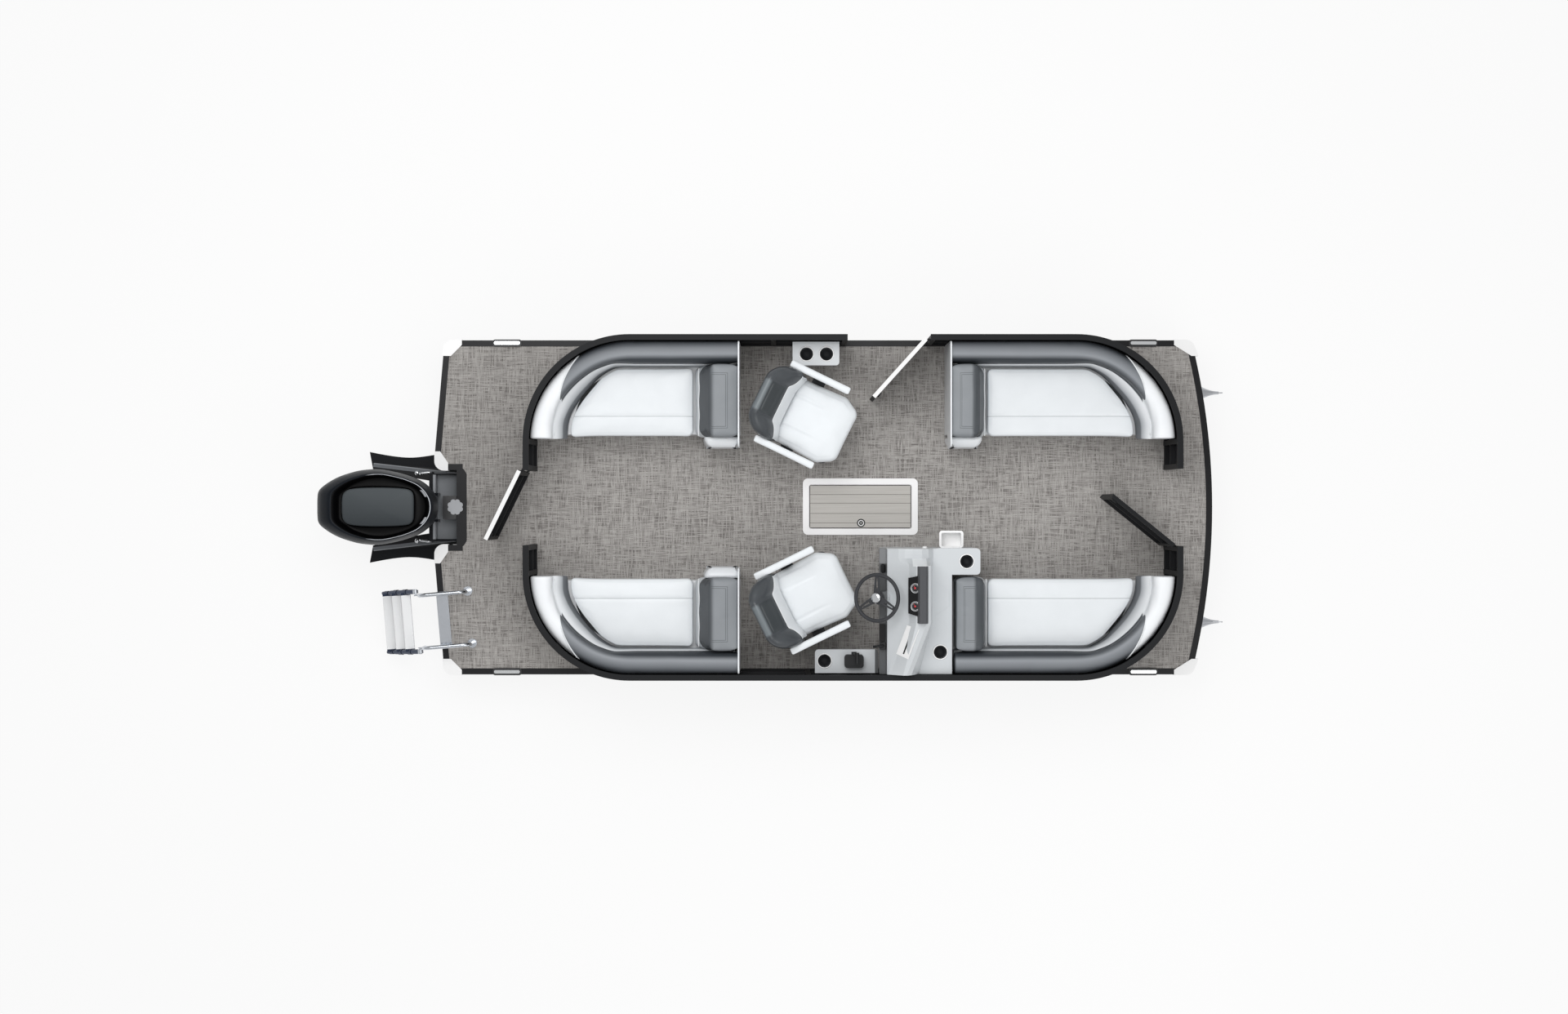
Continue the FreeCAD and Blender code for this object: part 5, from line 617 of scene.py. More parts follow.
def finishes():
    """Every finish by the record's slot name."""
    out = {
        "hull_aluminium": brushed("hull_aluminium_brushed", lin(196, 198, 202), 0),
        "frame_aluminium": brushed("frame_aluminium_mill", lin(170, 172, 176), 1, 0.42),
        "pod_black": pod_finish(),
        "cap_silver": well_box_finish(),
        "deck_vinyl": deck_vinyl(),
        "trim_black": black_trim(),
        "cap_white": moulded("cap_white_cast", lin(250, 250, 250), 0.35),
        "cleat_black": cleat_finish(),
        "locker_white": moulded("locker_white_shell", lin(251, 250, 250), 0.35),
        "lid_beige": lid_finish(),
        "fence_black": fence_black(),
        "skin_black": painted("skin_black_gloss", lin(34, 35, 38), 0.3, 0.2, spec=0.3),
        "pedestal_metal": brushed("pedestal_brushed", lin(176, 178, 182), 2),
        "console_grey": console_finish(),
        "gauge_black": moulded("gauge_black_gloss", lin(14, 14, 16), 0.3, 0.1, spec=0.25),
        "visor_dark": moulded("hood_dark_texture", lin(80, 81, 84), 0.55, 0.0, 420.0, 0.25),
        "control_black": moulded("control_black_soft", lin(24, 25, 27), 0.45, 0.0, spec=0.3),
        "wheel_black": moulded("wheel_grip_black", lin(58, 59, 62), 0.55, 0.0, 500.0, 0.25),
        "motor_black": painted("motor_black_paint", lin(26, 29, 34), 0.3, 0.2, spec=0.3),
        "cowl_black": cowl_finish(),
        "engine_block": painted("engine_cast", lin(110, 112, 116), 0.5, 0.0),
        "prop_metal": brushed("propeller_steel", lin(150, 152, 156), 0, 0.3),
        "ladder_chrome": brushed("ladder_chrome", lin(206, 210, 216), 2, 0.16),
        "ladder_tube": ladder_finish(),
        "base_white": moulded("seat_base_shell", lin(226, 228, 230), 0.4, 0.1),
        "vinyl_light": vinyl("vinyl_near_white", lin(230, 234, 237)),
        "vinyl_grey": roll_vinyl(),
        "vinyl_dark": chair_back_vinyl(),
        "shell_black": moulded("shell_black_moulded", lin(40, 41, 44), 0.45, 0.0, spec=0.25),
    }
    extra = {
        "chaise": chaise_vinyl(),
        "seat": seat_vinyl(),
        "piping": vinyl("piping_white", lin(240, 243, 245), 0.35),
        "end_cap": moulded("end_cap_plastic", lin(232, 235, 238), 0.35, 0.2),
        "bright": brushed("bright_trim", lin(225, 227, 230), 0, 0.14),
        "cup_liner": moulded("cup_liner_rubber", lin(34, 35, 38), 0.6, 0.0, pebble=300.0, spec=0.2),
        "dial": dial_finish(),
        "needle": Shade("needle_red", lin(215, 40, 52), rough=0.3, coat=0.4),
        "panel_white": moulded("panel_white", lin(246, 246, 246), 0.3),
        "gate_cap": gate_cap_finish(),
        "wing_stripe": wing_stripe_finish(),
        "pocket": pocket_finish(),
    }
    return {k: v.mat for k, v in {**out, **extra}.items()}


def dial_finish():
    """Gauge face: black with a ring of pale ticks round the centre of its own attribute."""
    s = Shade("dial_face", lin(16, 16, 18), rough=0.25, coat=0.6)
    u, v, _ = s.flow()
    far = s.math("SQRT", u * u + v * v)
    angle = s.math("ARCTAN2", u, v)
    ticks = s.math("SINE", angle * 24.0)
    tick = s.above(ticks, 0.55, 0.2) * s.band(far, 0.80, 0.07, 0.02)
    arc = s.band(far, 0.92, 0.012, 0.01)
    s.paint((tick + arc).clamped(), tone(16, 16, 18), tone(225, 226, 228))
    return s


# Surfaces from arrays


def mesh_piece(name, shape, body, material, smooth=True, flow=None):
    """Make one closed object: weld the grids' edges, point the faces outward, ride on a body."""
    points, *faces = shape
    mesh = bpy.data.meshes.new(name)
    mesh.from_pydata(points.tolist(), [], [face for part in faces for face in part.tolist()])
    if flow is not None:
        layer = mesh.attributes.new("flow", "FLOAT_VECTOR", "POINT")
        layer.data.foreach_set("vector", flow.astype(np.float32).ravel())
    bm = bmesh.new()
    bm.from_mesh(mesh)
    bmesh.ops.remove_doubles(bm, verts=bm.verts, dist=WELD)
    bmesh.ops.dissolve_degenerate(bm, edges=bm.edges, dist=WELD / 4)
    bmesh.ops.recalc_face_normals(bm, faces=bm.faces)
    bm.to_mesh(mesh)
    bm.free()
    mesh.polygons.foreach_set("use_smooth", np.full(len(mesh.polygons), smooth))
    obj = bpy.data.objects.new(name, mesh)
    bpy.context.collection.objects.link(obj)
    mesh.materials.append(material)
    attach(obj, body)
    return obj


def carried(shape, place):
    """The same shape with its points put through a function."""
    return (place(shape[0]), *shape[1:])


def unit(vectors):
    return vectors / np.linalg.norm(vectors, axis=1)[:, None]


def raised(plan, z):
    """Plan points (x, y) at one height."""
    return np.c_[plan, np.full(len(plan), z)]


def circle(count):
    a = np.linspace(0, 2 * math.pi, count, endpoint=False)
    return np.stack([np.cos(a), np.sin(a)], 1)


def run_length(line):
    """Distance from the line's start at each of its points."""
    return np.r_[0, np.cumsum(np.linalg.norm(np.diff(line, axis=0), axis=1))]


def along(line, reached, wanted):
    """Plan points where the run along a line has the wanted lengths."""
    return np.stack([np.interp(wanted, reached, line[:, k]) for k in range(2)], 1)


def grid_quads(rows, cols, start=0, wrap=False, closed=False):
    """Faces of a rows x cols grid: wrap joins the last column to the first, closed the last row."""
    r = np.arange(rows if closed else rows - 1)[:, None]
    c = np.arange(cols if wrap else cols - 1)[None, :]
    below, above = start + r * cols, start + (r + 1) % rows * cols
    nxt = (c + 1) % cols
    return np.stack([below + c, below + nxt, above + nxt, above + c], axis=-1).reshape(-1, 4)


def capped(rings, hubs=None):
    """Close a stack of rings with a fan at each end: points, quads and triangles."""
    rows, cols = rings.shape[:2]
    if hubs is None:
        hubs = [rings[0].mean(0), rings[-1].mean(0)]
    i = np.arange(cols)
    j = (i + 1) % cols
    base, last = rows * cols, (rows - 1) * cols
    tris = np.vstack([np.stack([np.full(cols, base), j, i], 1),
                      np.stack([np.full(cols, base + 1), last + i, last + j], 1)])
    return np.vstack([rings.reshape(base, -1), hubs]), grid_quads(rows, cols, wrap=True), tris


def tube(path, radius, sides=8, closed=False):
    """A round bar along a path: circles in the plane across the path's own direction."""
    path = np.asarray(path, float)
    run = unit(np.roll(path, -1, 0) - np.roll(path, 1, 0) if closed else np.gradient(path, axis=0))
    up = np.tile([0.0, 0.0, 1.0], (len(path), 1))
    up[np.abs(run[:, 2]) > STEEP_RUN] = [1.0, 0.0, 0.0]
    side = unit(np.cross(run, up))
    over = np.cross(side, run)
    x, y = circle(sides).T[:, None, :, None]
    rings = path[:, None] + (side[:, None] * x + over[:, None] * y) * radius
    if closed:
        return rings.reshape(-1, 3), grid_quads(len(path), sides, wrap=True, closed=True)
    return capped(rings, path[[0, -1]])


def disc(profile, sides=48):
    """Turned piece: a profile of (radius, height) swept round the z axis, closed at both ends."""
    rings = np.array([raised(circle(sides) * r, z) for r, z in profile])
    return capped(rings, [[0, 0, profile[0][1]], [0, 0, profile[-1][1]]])


def slab(name, plan, low, high, body, material):
    """Flat plate of a plan outline, its edges eased by a millimetre."""
    plan = np.asarray(plan, float)
    off = plan - plan.mean(0)
    small = plan.mean(0) + off * (1 - 2 * EASE / np.linalg.norm(off, axis=1).max())
    rings = [raised(small, low), raised(plan, low + EASE), raised(plan, high - EASE),
             raised(small, high)]
    return mesh_piece(name, capped(np.stack(rings)), body, material, smooth=False)


def rounded_outline(corners):
    """Closed outline through corners (x, y, radius): straight runs with tangent arcs."""
    pts = np.array([c[:2] for c in corners], float)
    rad = np.array([c[2] for c in corners], float)
    before = unit(np.roll(pts, 1, 0) - pts)
    after = unit(np.roll(pts, -1, 0) - pts)
    half = np.arccos(np.clip((before * after).sum(1), -1, 1)) / 2
    centre = pts + unit(before + after) * (rad / np.sin(half))[:, None]
    start = pts + before * (rad / np.tan(half))[:, None] - centre
    end = pts + after * (rad / np.tan(half))[:, None] - centre
    arcs = []
    for c, s, e, r, h in zip(centre, start, end, rad, half):
        t = np.linspace(0, 1, max(2, int(r * (math.pi - 2 * h) / ARC_STEP) + 2))[:, None]
        first = math.atan2(s[1], s[0])
        turn = math.atan2(s[0] * e[1] - s[1] * e[0], (s * e).sum())
        arcs.append(c + r * np.concatenate([np.cos(first + turn * t), np.sin(first + turn * t)], 1))
    return np.concatenate(arcs)


def coons(sides):
    """Fill four boundary curves: the sum of both ruled surfaces less the bilinear one."""
    bottom, right, top, left = sides
    s = np.linspace(0, 1, len(bottom))[None, :, None]
    t = np.linspace(0, 1, len(right))[:, None, None]
    ruled_t = (1 - t) * bottom[None] + t * top[::-1][None]
    ruled_s = (1 - s) * left[::-1][:, None] + s * right[:, None]
    corners = ((1 - s) * (1 - t) * bottom[0] + s * (1 - t) * bottom[-1]
               + s * t * top[0] + (1 - s) * t * top[-1])
    return ruled_t + ruled_s - corners


def cushion(corners, profile, crown, n_long, n_wide, splits=None):
    """A pad on a rounded outline: rings step inward by the profile, crowned grids close both faces.

    Four splits of the outline, its corners if none are given, bound the grids.
    Height over the top grid = ring height + crown x (4s(1-s) x 4t(1-t))^0.45."""
    outline = rounded_outline(corners)
    closed = np.vstack([outline, outline[:1]])
    reached = run_length(closed)
    near = [np.argmin(np.linalg.norm(outline - np.array(c[:2]), axis=1)) for c in splits or corners]
    shares = reached[near] / reached[-1]
    counts = (n_long, n_wide, n_long, n_wide)
    fractions = []
    for a, b, count in zip(shares, np.roll(shares, -1), counts):
        fractions.append(a + (b + (b < a) - a) * np.linspace(0, 1, count + 1)[:-1])
    loop = along(closed, reached, np.concatenate(fractions) % 1.0 * reached[-1])
    tangent = unit(np.roll(loop, -1, 0) - np.roll(loop, 1, 0))
    area = 0.5 * np.sum(loop[:, 0] * np.roll(loop[:, 1], -1) - loop[:, 1] * np.roll(loop[:, 0], -1))
    inward = np.stack([-tangent[:, 1], tangent[:, 0]], 1) * np.sign(area)
    rings = np.stack([raised(loop + inward * inset, z) for inset, z in profile])
    quads = [grid_quads(len(profile), len(loop), wrap=True)]
    points = [rings.reshape(-1, 3)]
    used = rings.size // 3
    stops = np.cumsum((0,) + counts)
    for ring, lift in ((rings[-1], crown), (rings[0], 0.0)):
        edge = np.vstack([ring, ring[:1]])
        grid = coons([edge[stops[i]:stops[i + 1] + 1] for i in range(4)])
        s = np.linspace(0, 1, grid.shape[1])[None, :]
        t = np.linspace(0, 1, grid.shape[0])[:, None]
        grid[..., 2] += lift * (16 * s * (1 - s) * t * (1 - t)) ** 0.45
        points.append(grid.reshape(-1, 3))
        quads.append(grid_quads(grid.shape[0], grid.shape[1], used))
        used += grid.size // 3
    return np.vstack(points), np.vstack(quads)


def rounded_profile(low, high, r_low, r_high, steps=5):
    """(inset, height) pairs up a side: a quarter round, a straight wall, a quarter round."""
    a = np.linspace(0, math.pi / 2, steps)
    foot = [(r_low * (1 - math.sin(t)), low + r_low * (1 - math.cos(t))) for t in a]
    head = [(r_high * (1 - math.cos(t)), high - r_high * (1 - math.sin(t))) for t in a]
    return foot + head


def corner_cut(net, times, closed):
    """Round a net along its first axis: each pass has points at 1/4 and 3/4 of every span."""
    for _ in range(times):
        nxt = np.roll(net, -1, 0) if closed else net[1:]
        here = net if closed else net[:-1]
        pairs = np.stack([here * 0.75 + nxt * 0.25, here * 0.25 + nxt * 0.75], 1)
        pairs = pairs.reshape((-1,) + net.shape[1:])
        net = pairs if closed else np.concatenate([net[:1], pairs, net[-1:]])
    return net


def cut_across(net, times):
    """The same rounding round the net's second axis, which is closed."""
    return np.swapaxes(corner_cut(np.swapaxes(net, 0, 1), times, True), 0, 1)


def subdivided(obj):
    mod = obj.modifiers.new("finish", "SUBSURF")
    mod.levels = mod.render_levels = 1


def puffed(obj, pressure, cap):
    """Fill a cushion by cloth pressure, then hold every point within cap of where it started."""
    before = mesh_array(obj.data)
    mod = obj.modifiers.new("fill", "CLOTH")
    settings = mod.settings
    settings.use_pressure = True
    settings.uniform_pressure_force = pressure
    settings.tension_stiffness = settings.compression_stiffness = CLOTH_STIFFNESS
    settings.bending_stiffness = CLOTH_BENDING
    settings.effector_weights.gravity = 0.0
    mod.point_cache.frame_start = 1
    mod.point_cache.frame_end = CLOTH_FRAMES
    scene = bpy.context.scene
    for step in range(1, CLOTH_FRAMES + 1):
        scene.frame_set(step)
    filled = obj.evaluated_get(bpy.context.evaluated_depsgraph_get())
    move = mesh_array(filled.to_mesh()) - before
    filled.to_mesh_clear()
    obj.modifiers.remove(mod)
    scene.frame_set(1)
    size = np.linalg.norm(move, axis=1)
    move *= (np.minimum(size, cap) / np.maximum(size, 1e-9))[:, None]
    reshaped(obj, before + move)


def mesh_array(mesh):
    out = np.empty(len(mesh.vertices) * 3)
    mesh.vertices.foreach_get("co", out)
    return out.reshape(-1, 3)


def reshaped(obj, points):
    obj.data.vertices.foreach_set("co", np.ascontiguousarray(points).ravel())
    obj.data.update()


# Lounges: u runs from the chaise end to the wrapped corner, v from the fence inwards


LOUNGES = ("port_aft", "port_fwd", "starboard_aft", "starboard_fwd")


class Lounge:
    """Where one lounge stands, read from its base and seat."""

    def __init__(self, name):
        self.name = name
        low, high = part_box("lounge_base_" + name)
        seat_low, seat_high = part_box("lounge_seat_" + name)
        self.aft = name.endswith("aft")
        self.side = 1.0 if name.startswith("port") else -1.0
        self.start = high.x if self.aft else low.x
        self.length = high.x - low.x + 0.004
        self.seat_start = (self.start - seat_high.x) if self.aft else (seat_low.x - self.start)
        self.seat_end = (self.start - seat_low.x) if self.aft else (seat_high.x - self.start)

    def world(self, p):
        """(u, v, height above the deck) to the boat's frame."""
        x = self.start - p[:, 0] if self.aft else self.start + p[:, 0]
        return np.stack([x, self.side * (FENCE_IN_Y - p[:, 1]), DECK_Z + p[:, 2]], 1)

    def local(self, p):
        u = self.start - p[:, 0] if self.aft else p[:, 0] - self.start
        return np.stack([u, FENCE_IN_Y - self.side * p[:, 1], p[:, 2] - DECK_Z], 1)


# Seat: its lower and upper face over the deck, how far a pad may sink, its edge at the fence
SEAT_LOW = BASE_TOP_Z - DECK_Z + 0.0006
SEAT_HIGH = 0.418
SINK = 0.0004
SEAT_OUT_V = 0.190
# Seat edge towards the wrapped corner: distance short of the seat's end, place in from the fence
SEAT_EDGE = ((-0.523, 0.194), (-0.423, 0.194), (-0.357, 0.200), (-0.293, 0.235), (-0.234, 0.278),
             (-0.173, 0.350), (-0.110, 0.427), (-0.068, 0.490), (-0.036, 0.550), (-0.018, 0.605),
             (-0.011, 0.649), (-0.009, 0.727))
# Its inboard edge, its sewn line, and that line's depth and half width
SEAT_IN_V = 0.723
SEAM_V = 0.563
SEAM = 0.007
# Back: its top, its start behind the chaise, its depth at the corner, the gap to the seat, the foot
# of its roll, the piping's radius and the number of sections
BACK_TOP = 0.636
BACK_START = 0.012
BACK_DEPTH = 0.727
SEAT_TO_BACK = 0.012
ROLL_FOOT = 0.545
PIPING = 0.004
WRAP_COUNT = 92
# Chaise: its top, its back and its top's front along the lounge, its fence end, the gap to the
# seat, the end cap's face, and the wave across its front
CHAISE_HIGH = 0.652
CHAISE_BACK_U = 0.013
CHAISE_TOP_U = 0.205
CHAISE_OUT_V = 0.181
CHAISE_TO_SEAT = 0.010
END_CAP_V = 0.800
WAVE_Z, WAVE_DEPTH, WAVE_TURN = 0.455, 0.006, 31.0


def seat_cushion(lounge, mats):
    """Seat pad: crowned and puffed, with a sewn line along its front and piping round its top."""
    start, end = lounge.seat_start + GAP, lounge.seat_end
    corners = [(start, SEAT_IN_V - GAP, 0.045), (start, SEAT_OUT_V + GAP, 0.035)]
    corners += [(end + u, v, 0.12) for u, v in SEAT_EDGE[1:-1]]
    corners += [(end - 0.009, SEAT_IN_V - GAP, 0.03)]
    splits = (corners[0], corners[1], corners[6], corners[-1])
    profile = rounded_profile(SEAT_LOW, SEAT_HIGH - 0.010, 0.012, 0.018)
    shape = carried(cushion(corners, profile, 0.012, 34, 58, splits), lounge.world)
    pad = mesh_piece("seat_cushion_" + lounge.name, shape, "seat_" + lounge.name,
                     mats["seat"])
    puffed(pad, 4.0, 0.009)
    local = lounge.local(mesh_array(pad.data))
    top = np.clip((local[:, 2] - SEAT_HIGH + 0.05) / 0.03, 0, 1)
    local[:, 2] -= SEAM * np.exp(-((local[:, 1] - SEAM_V) / SEAM) ** 2) * top
    local[:, 2] = np.clip(local[:, 2], SEAT_LOW, SEAT_HIGH + 0.012)
    local[:, 1] = np.clip(local[:, 1], SEAT_OUT_V - 0.003, SEAT_IN_V + 0.006)
    reshaped(pad, lounge.world(local))
    subdivided(pad)
    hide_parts("lounge_seat_" + lounge.name)


def wrap_lines(lounge):
    """Outer and inner plan lines of the wrapped back, and the degrees turned round its corner."""
    half = WRAP_COUNT // 2
    centre = np.array([lounge.length - GAP - FENCE_CURVE, GAP + FENCE_CURVE])
    last = math.acos((GAP + FENCE_CURVE - BACK_DEPTH) / FENCE_CURVE)
    turn = np.linspace(0, last, half)

    def straight(end, v):
        return raised(np.linspace(BACK_START, end, half, endpoint=False), v)

    outer = np.vstack([straight(centre[0], GAP),
                       centre + FENCE_CURVE * np.stack([np.sin(turn), -np.cos(turn)], 1)])
    edge = corner_cut(np.array(SEAT_EDGE), 2, False) + np.array([lounge.seat_end, 0.0])
    run = unit(np.gradient(edge, axis=0))
    edge = edge + SEAT_TO_BACK * np.stack([run[:, 1], -run[:, 0]], 1)
    reached = run_length(edge)
    curved = along(edge, reached, turn / last * reached[-1])
    inner = np.vstack([straight(edge[0, 0], edge[0, 1]), curved])
    return outer, inner, np.r_[np.zeros(half), np.degrees(turn)]


def back_section(lean):
    """Closed section of the wrapped back as (share of the way in, height).

    It is flat at the fence and has a round roll on top, and its lower face runs further in by the
    lean, which grows towards the wrapped end."""
    roll = 1.0 - lean
    a = np.linspace(math.pi, 0, 15)
    arch = np.stack([roll * 0.5 + roll * 0.5 * np.sign(np.cos(a)) * np.abs(np.cos(a)) ** 0.8,
                     ROLL_FOOT + (BACK_TOP - ROLL_FOOT) * np.sin(a) ** 0.75], 1)
    face = np.array([[roll - 0.01, 0.505], [roll - 0.025, 0.470],
                     [roll + lean * 0.10 - 0.03, 0.452],
                     [roll + lean * 0.30 - 0.02, 0.435], [roll + lean * 0.62, 0.400],
                     [roll + lean * 0.90, 0.355], [0.995, 0.325], [0.985, SEAT_LOW + 0.006],
                     [0.95, SEAT_LOW]])
    foot = np.array([[0.70, SEAT_LOW], [0.4, SEAT_LOW], [0.08, SEAT_LOW], [0.0, SEAT_LOW + 0.012],
                     [0.0, 0.40], [0.0, 0.48]])
    return np.vstack([arch, face, foot])


LEAN_DEGREES = (0.0, 10.0, 20.0, 32.0, 45.0, 62.0, 75.0, 88.0)
LEAN_SHARES = (0.08, 0.11, 0.20, 0.32, 0.42, 0.47, 0.43, 0.36)


def lean_at(degrees):
    """Share of the depth that the lower face takes, a smooth line through the measured shares."""
    fine = np.linspace(-15, 100, 461)
    shares = np.interp(fine, LEAN_DEGREES, LEAN_SHARES)
    shares = np.convolve(np.pad(shares, 20, mode="edge"), np.full(41, 1 / 41), "valid")
    return np.interp(degrees, fine, shares)


def wrapped_back(lounge, mats):
    """Backrest along the fence: its section carried from the chaise round the fence's corner."""
    outer, inner, degrees = wrap_lines(lounge)
    lean = lean_at(degrees)
    sections = np.array([back_section(share) for share in lean])
    plan = outer[:, None] + (inner - outer)[:, None] * sections[..., :1]
    width = np.linalg.norm(inner - outer, axis=1)
    turn = np.broadcast_to(degrees[:, None, None] / 100, sections[..., :1].shape)
    depth = sections[..., :1] * width[:, None, None]
    rings = np.concatenate([plan, sections[..., 1:], turn, depth, sections[..., 1:]], -1)
    ends = []
    for end, inside in ((0, 3), (-1, -4)):
        mean = rings[end, :, :3].mean(0)
        run = rings[end, :, :3] - rings[inside, :, :3]
        for size, reach in ((0.975, 0.10), (0.90, 0.15)):
            ring = rings[end].copy()
            ring[:, :3] = mean + (ring[:, :3] - mean) * size + run * reach
            ends.append(ring)
    shape = capped(np.concatenate([[ends[1], ends[0]], rings, ends[2:]]))
    flow = shape[0][:, 3:]
    shape = carried(shape, lambda p: lounge.world(p[:, :3]))
    pad = mesh_piece("wrapped_back_" + lounge.name, shape, "boat", mats["vinyl_grey"],
                     flow=flow)
    puffed(pad, 3.0, 0.006)
    local = lounge.local(mesh_array(pad.data))
    local[:, 1] = np.maximum(local[:, 1], 0.002)
    local[:, 2] = np.clip(local[:, 2], SEAT_LOW - SINK, BACK_TOP + 0.008)
    local[:, 0] = np.clip(local[:, 0], 0.001, lounge.length - 0.002)
    reshaped(pad, lounge.world(local))
    subdivided(pad)
    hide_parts("lounge_back_" + lounge.name)


def piping(name, path, radius, mats):
    """White piping of a lounge along a path."""
    mesh_piece("piping_" + name, tube(path, radius), "boat", mats["piping"])


def roll_piping(lounge, mats):
    """White piping under the roll, and along the leaf's edge over the roll to its tip."""
    outer, inner, degrees = wrap_lines(lounge)
    lean = lean_at(degrees)
    under = outer + (inner - outer) * (1 - lean + lean * 0.02)[:, None]
    path = lounge.world(raised(under, 0.4545)[1:-1])
    piping("under_roll_" + lounge.name, path, 0.0045, mats)
    depth = np.linspace(0.0, 0.1260, 30)
    half = WRAP_COUNT // 2
    at = np.interp(30.8 + depth * 226.0, degrees[half:], np.arange(half, WRAP_COUNT))
    k = np.clip(at.astype(int), 0, WRAP_COUNT - 2)
    f = at - k
    first, last, share = ((line[k].T * (1 - f) + line[k + 1].T * f).T
                          for line in (outer, inner, lean))
    across = depth / np.linalg.norm(last - first, axis=1)
    roll = (1 - share) * 0.5
    x = np.clip((across - roll) / roll, -1, 1)
    bend = np.sqrt(np.clip(1 - np.abs(x) ** 2.5, 0, 1))
    height = ROLL_FOOT + (BACK_TOP - ROLL_FOOT) * bend ** 0.75 + 0.001
    path = np.c_[first + (last - first) * across[:, None], height]
    piping("leaf_" + lounge.name, lounge.world(path), PIPING, mats)


def chaise_front(foot, height):
    """How far forward the chaise's front stands at a height."""
    lift = np.clip((height - SEAT_LOW) / (CHAISE_HIGH - SEAT_LOW), 0, 1)
    return foot - (foot - CHAISE_TOP_U) * np.clip((lift - 0.08) / 0.92, 0, 1) ** 1.15


def chaise_back(lounge, mats):
    """Chaise back: a pad whose front slopes from its narrow top down to the seat."""
    foot = lounge.seat_start - CHAISE_TO_SEAT
    corners = [(CHAISE_OUT_V, SEAT_LOW, 0.02), (SEAT_IN_V, SEAT_LOW, 0.03),
               (SEAT_IN_V, CHAISE_HIGH, 0.035), (CHAISE_OUT_V, CHAISE_HIGH, 0.025)]
    profile = [(0.010 * (1 - min(1, t * 6)), t * 0.86) for t in np.linspace(0, 1, 7)]
    profile += [(0.030 * (1 - math.cos(t)), 0.86 + 0.14 * math.sin(t))
                for t in np.linspace(0.15, math.pi / 2, 6)]
    points, quads = cushion(corners, profile, 0.03, 40, 28)
    v, w, k = points.T
    u = CHAISE_BACK_U + (chaise_front(foot, w) - CHAISE_BACK_U) * k
    shape = lounge.world(np.stack([u, v, w], 1)), quads
    pad = mesh_piece("chaise_back_" + lounge.name, shape, "boat", mats["chaise"],
                     flow=np.stack([u / foot, v, w], 1))
    puffed(pad, 3.0, 0.006)
    local = lounge.local(mesh_array(pad.data))
    local[:, 0] = np.clip(local[:, 0], 0.0125, foot + 0.004)
    local[:, 2] = np.clip(local[:, 2], SEAT_LOW - SINK, CHAISE_HIGH + 0.010)
    reshaped(pad, lounge.world(local))
    subdivided(pad)
    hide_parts("lounge_back_" + lounge.name)


def chaise_shell(lounge, mats):
    """Thin white moulded panel behind the chaise, from the fence to the end cap."""
    top = CHAISE_HIGH + 0.004
    corners = [(0.006, SEAT_LOW, 0.01), (END_CAP_V, SEAT_LOW, 0.02), (END_CAP_V, top, 0.04),
               (0.006, top, 0.02)]
    shape = cushion(corners, rounded_profile(0.0, 0.0125, 0.002, 0.004, 4), 0.0, 30, 16)
    shape = carried(shape, lambda p: lounge.world(p[:, [2, 0, 1]]))
    mesh_piece("chaise_shell_" + lounge.name, shape, "boat", mats["end_cap"])


def end_cap(lounge, mats):
    """Moulded cap on the chaise's inboard end: a soft-faceted wedge, narrower towards its face."""
    reach = min(0.292, lounge.seat_start - 0.012)
    corners = [(0.0, 0.004, 0.02), (reach, 0.004, 0.02), (reach - 0.03, 0.518, 0.05),
               (0.004, 0.518, 0.03)]
    profile = [(0.0, 0.722), (0.0, 0.745), (0.012, 0.770), (0.030, 0.788), (0.045, 0.797),
               (0.052, END_CAP_V)]
    shape = cushion(corners, profile, 0.0, 30, 22)
    shape = carried(shape, lambda p: lounge.world(p[:, [0, 2, 1]]))
    mesh_piece("end_cap_" + lounge.name, shape, "boat", mats["end_cap"])


def chaise_piping(lounge, mats):
    """White piping along the waved lower edge of the charcoal front."""
    v = np.linspace(0.20, 0.712, 60)
    w = WAVE_Z - WAVE_DEPTH * np.sin(v * WAVE_TURN)
    u = chaise_front(lounge.seat_start - CHAISE_TO_SEAT, w) + 0.018
    piping("chaise_" + lounge.name, lounge.world(np.stack([u, v, w], 1)), PIPING, mats)


# Motor and well


# Cowl: half plan at its fullest level, its levels (height, front, aft, share of the width) from the
# pan over the rim into the bowl, and the raised panel's half plan and levels (height, share)
COWL_PLAN = ((-2.937, 0.0), (-2.95, 0.075), (-2.994, 0.144), (-3.057, 0.197), (-3.128, 0.228),
             (-3.208, 0.255), (-3.315, 0.279), (-3.40, 0.292), (-3.528, 0.282), (-3.616, 0.259),
             (-3.705, 0.228), (-3.794, 0.175), (-3.85, 0.125), (-3.856, 0.06), (-3.856, 0.0))
COWL_LEVELS = ((0.6003, -2.985, -3.80, 0.90), (0.63, -2.965, -3.825, 0.94),
               (0.70, -2.945, -3.85, 0.98), (0.78, -2.937, -3.856, 1.0),
               (0.86, -2.938, -3.845, 0.985), (0.93, -2.943, -3.81, 0.95),
               (0.975, -2.948, -3.765, 0.905), (1.000, -2.955, -3.735, 0.870),
               (1.003, -2.965, -3.722, 0.85), (0.998, -2.978, -3.705, 0.825),
               (0.975, -2.99, -3.69, 0.80), (0.945, -3.005, -3.672, 0.775),
               (0.938, -3.02, -3.655, 0.74))
PANEL_PLAN = ((-3.095, 0.0), (-3.095, 0.06), (-3.10, 0.105), (-3.125, 0.132), (-3.18, 0.141),
              (-3.25, 0.145), (-3.33, 0.147), (-3.41, 0.147), (-3.48, 0.145), (-3.54, 0.141),
              (-3.59, 0.132), (-3.62, 0.112), (-3.634, 0.085), (-3.638, 0.04), (-3.638, 0.0))
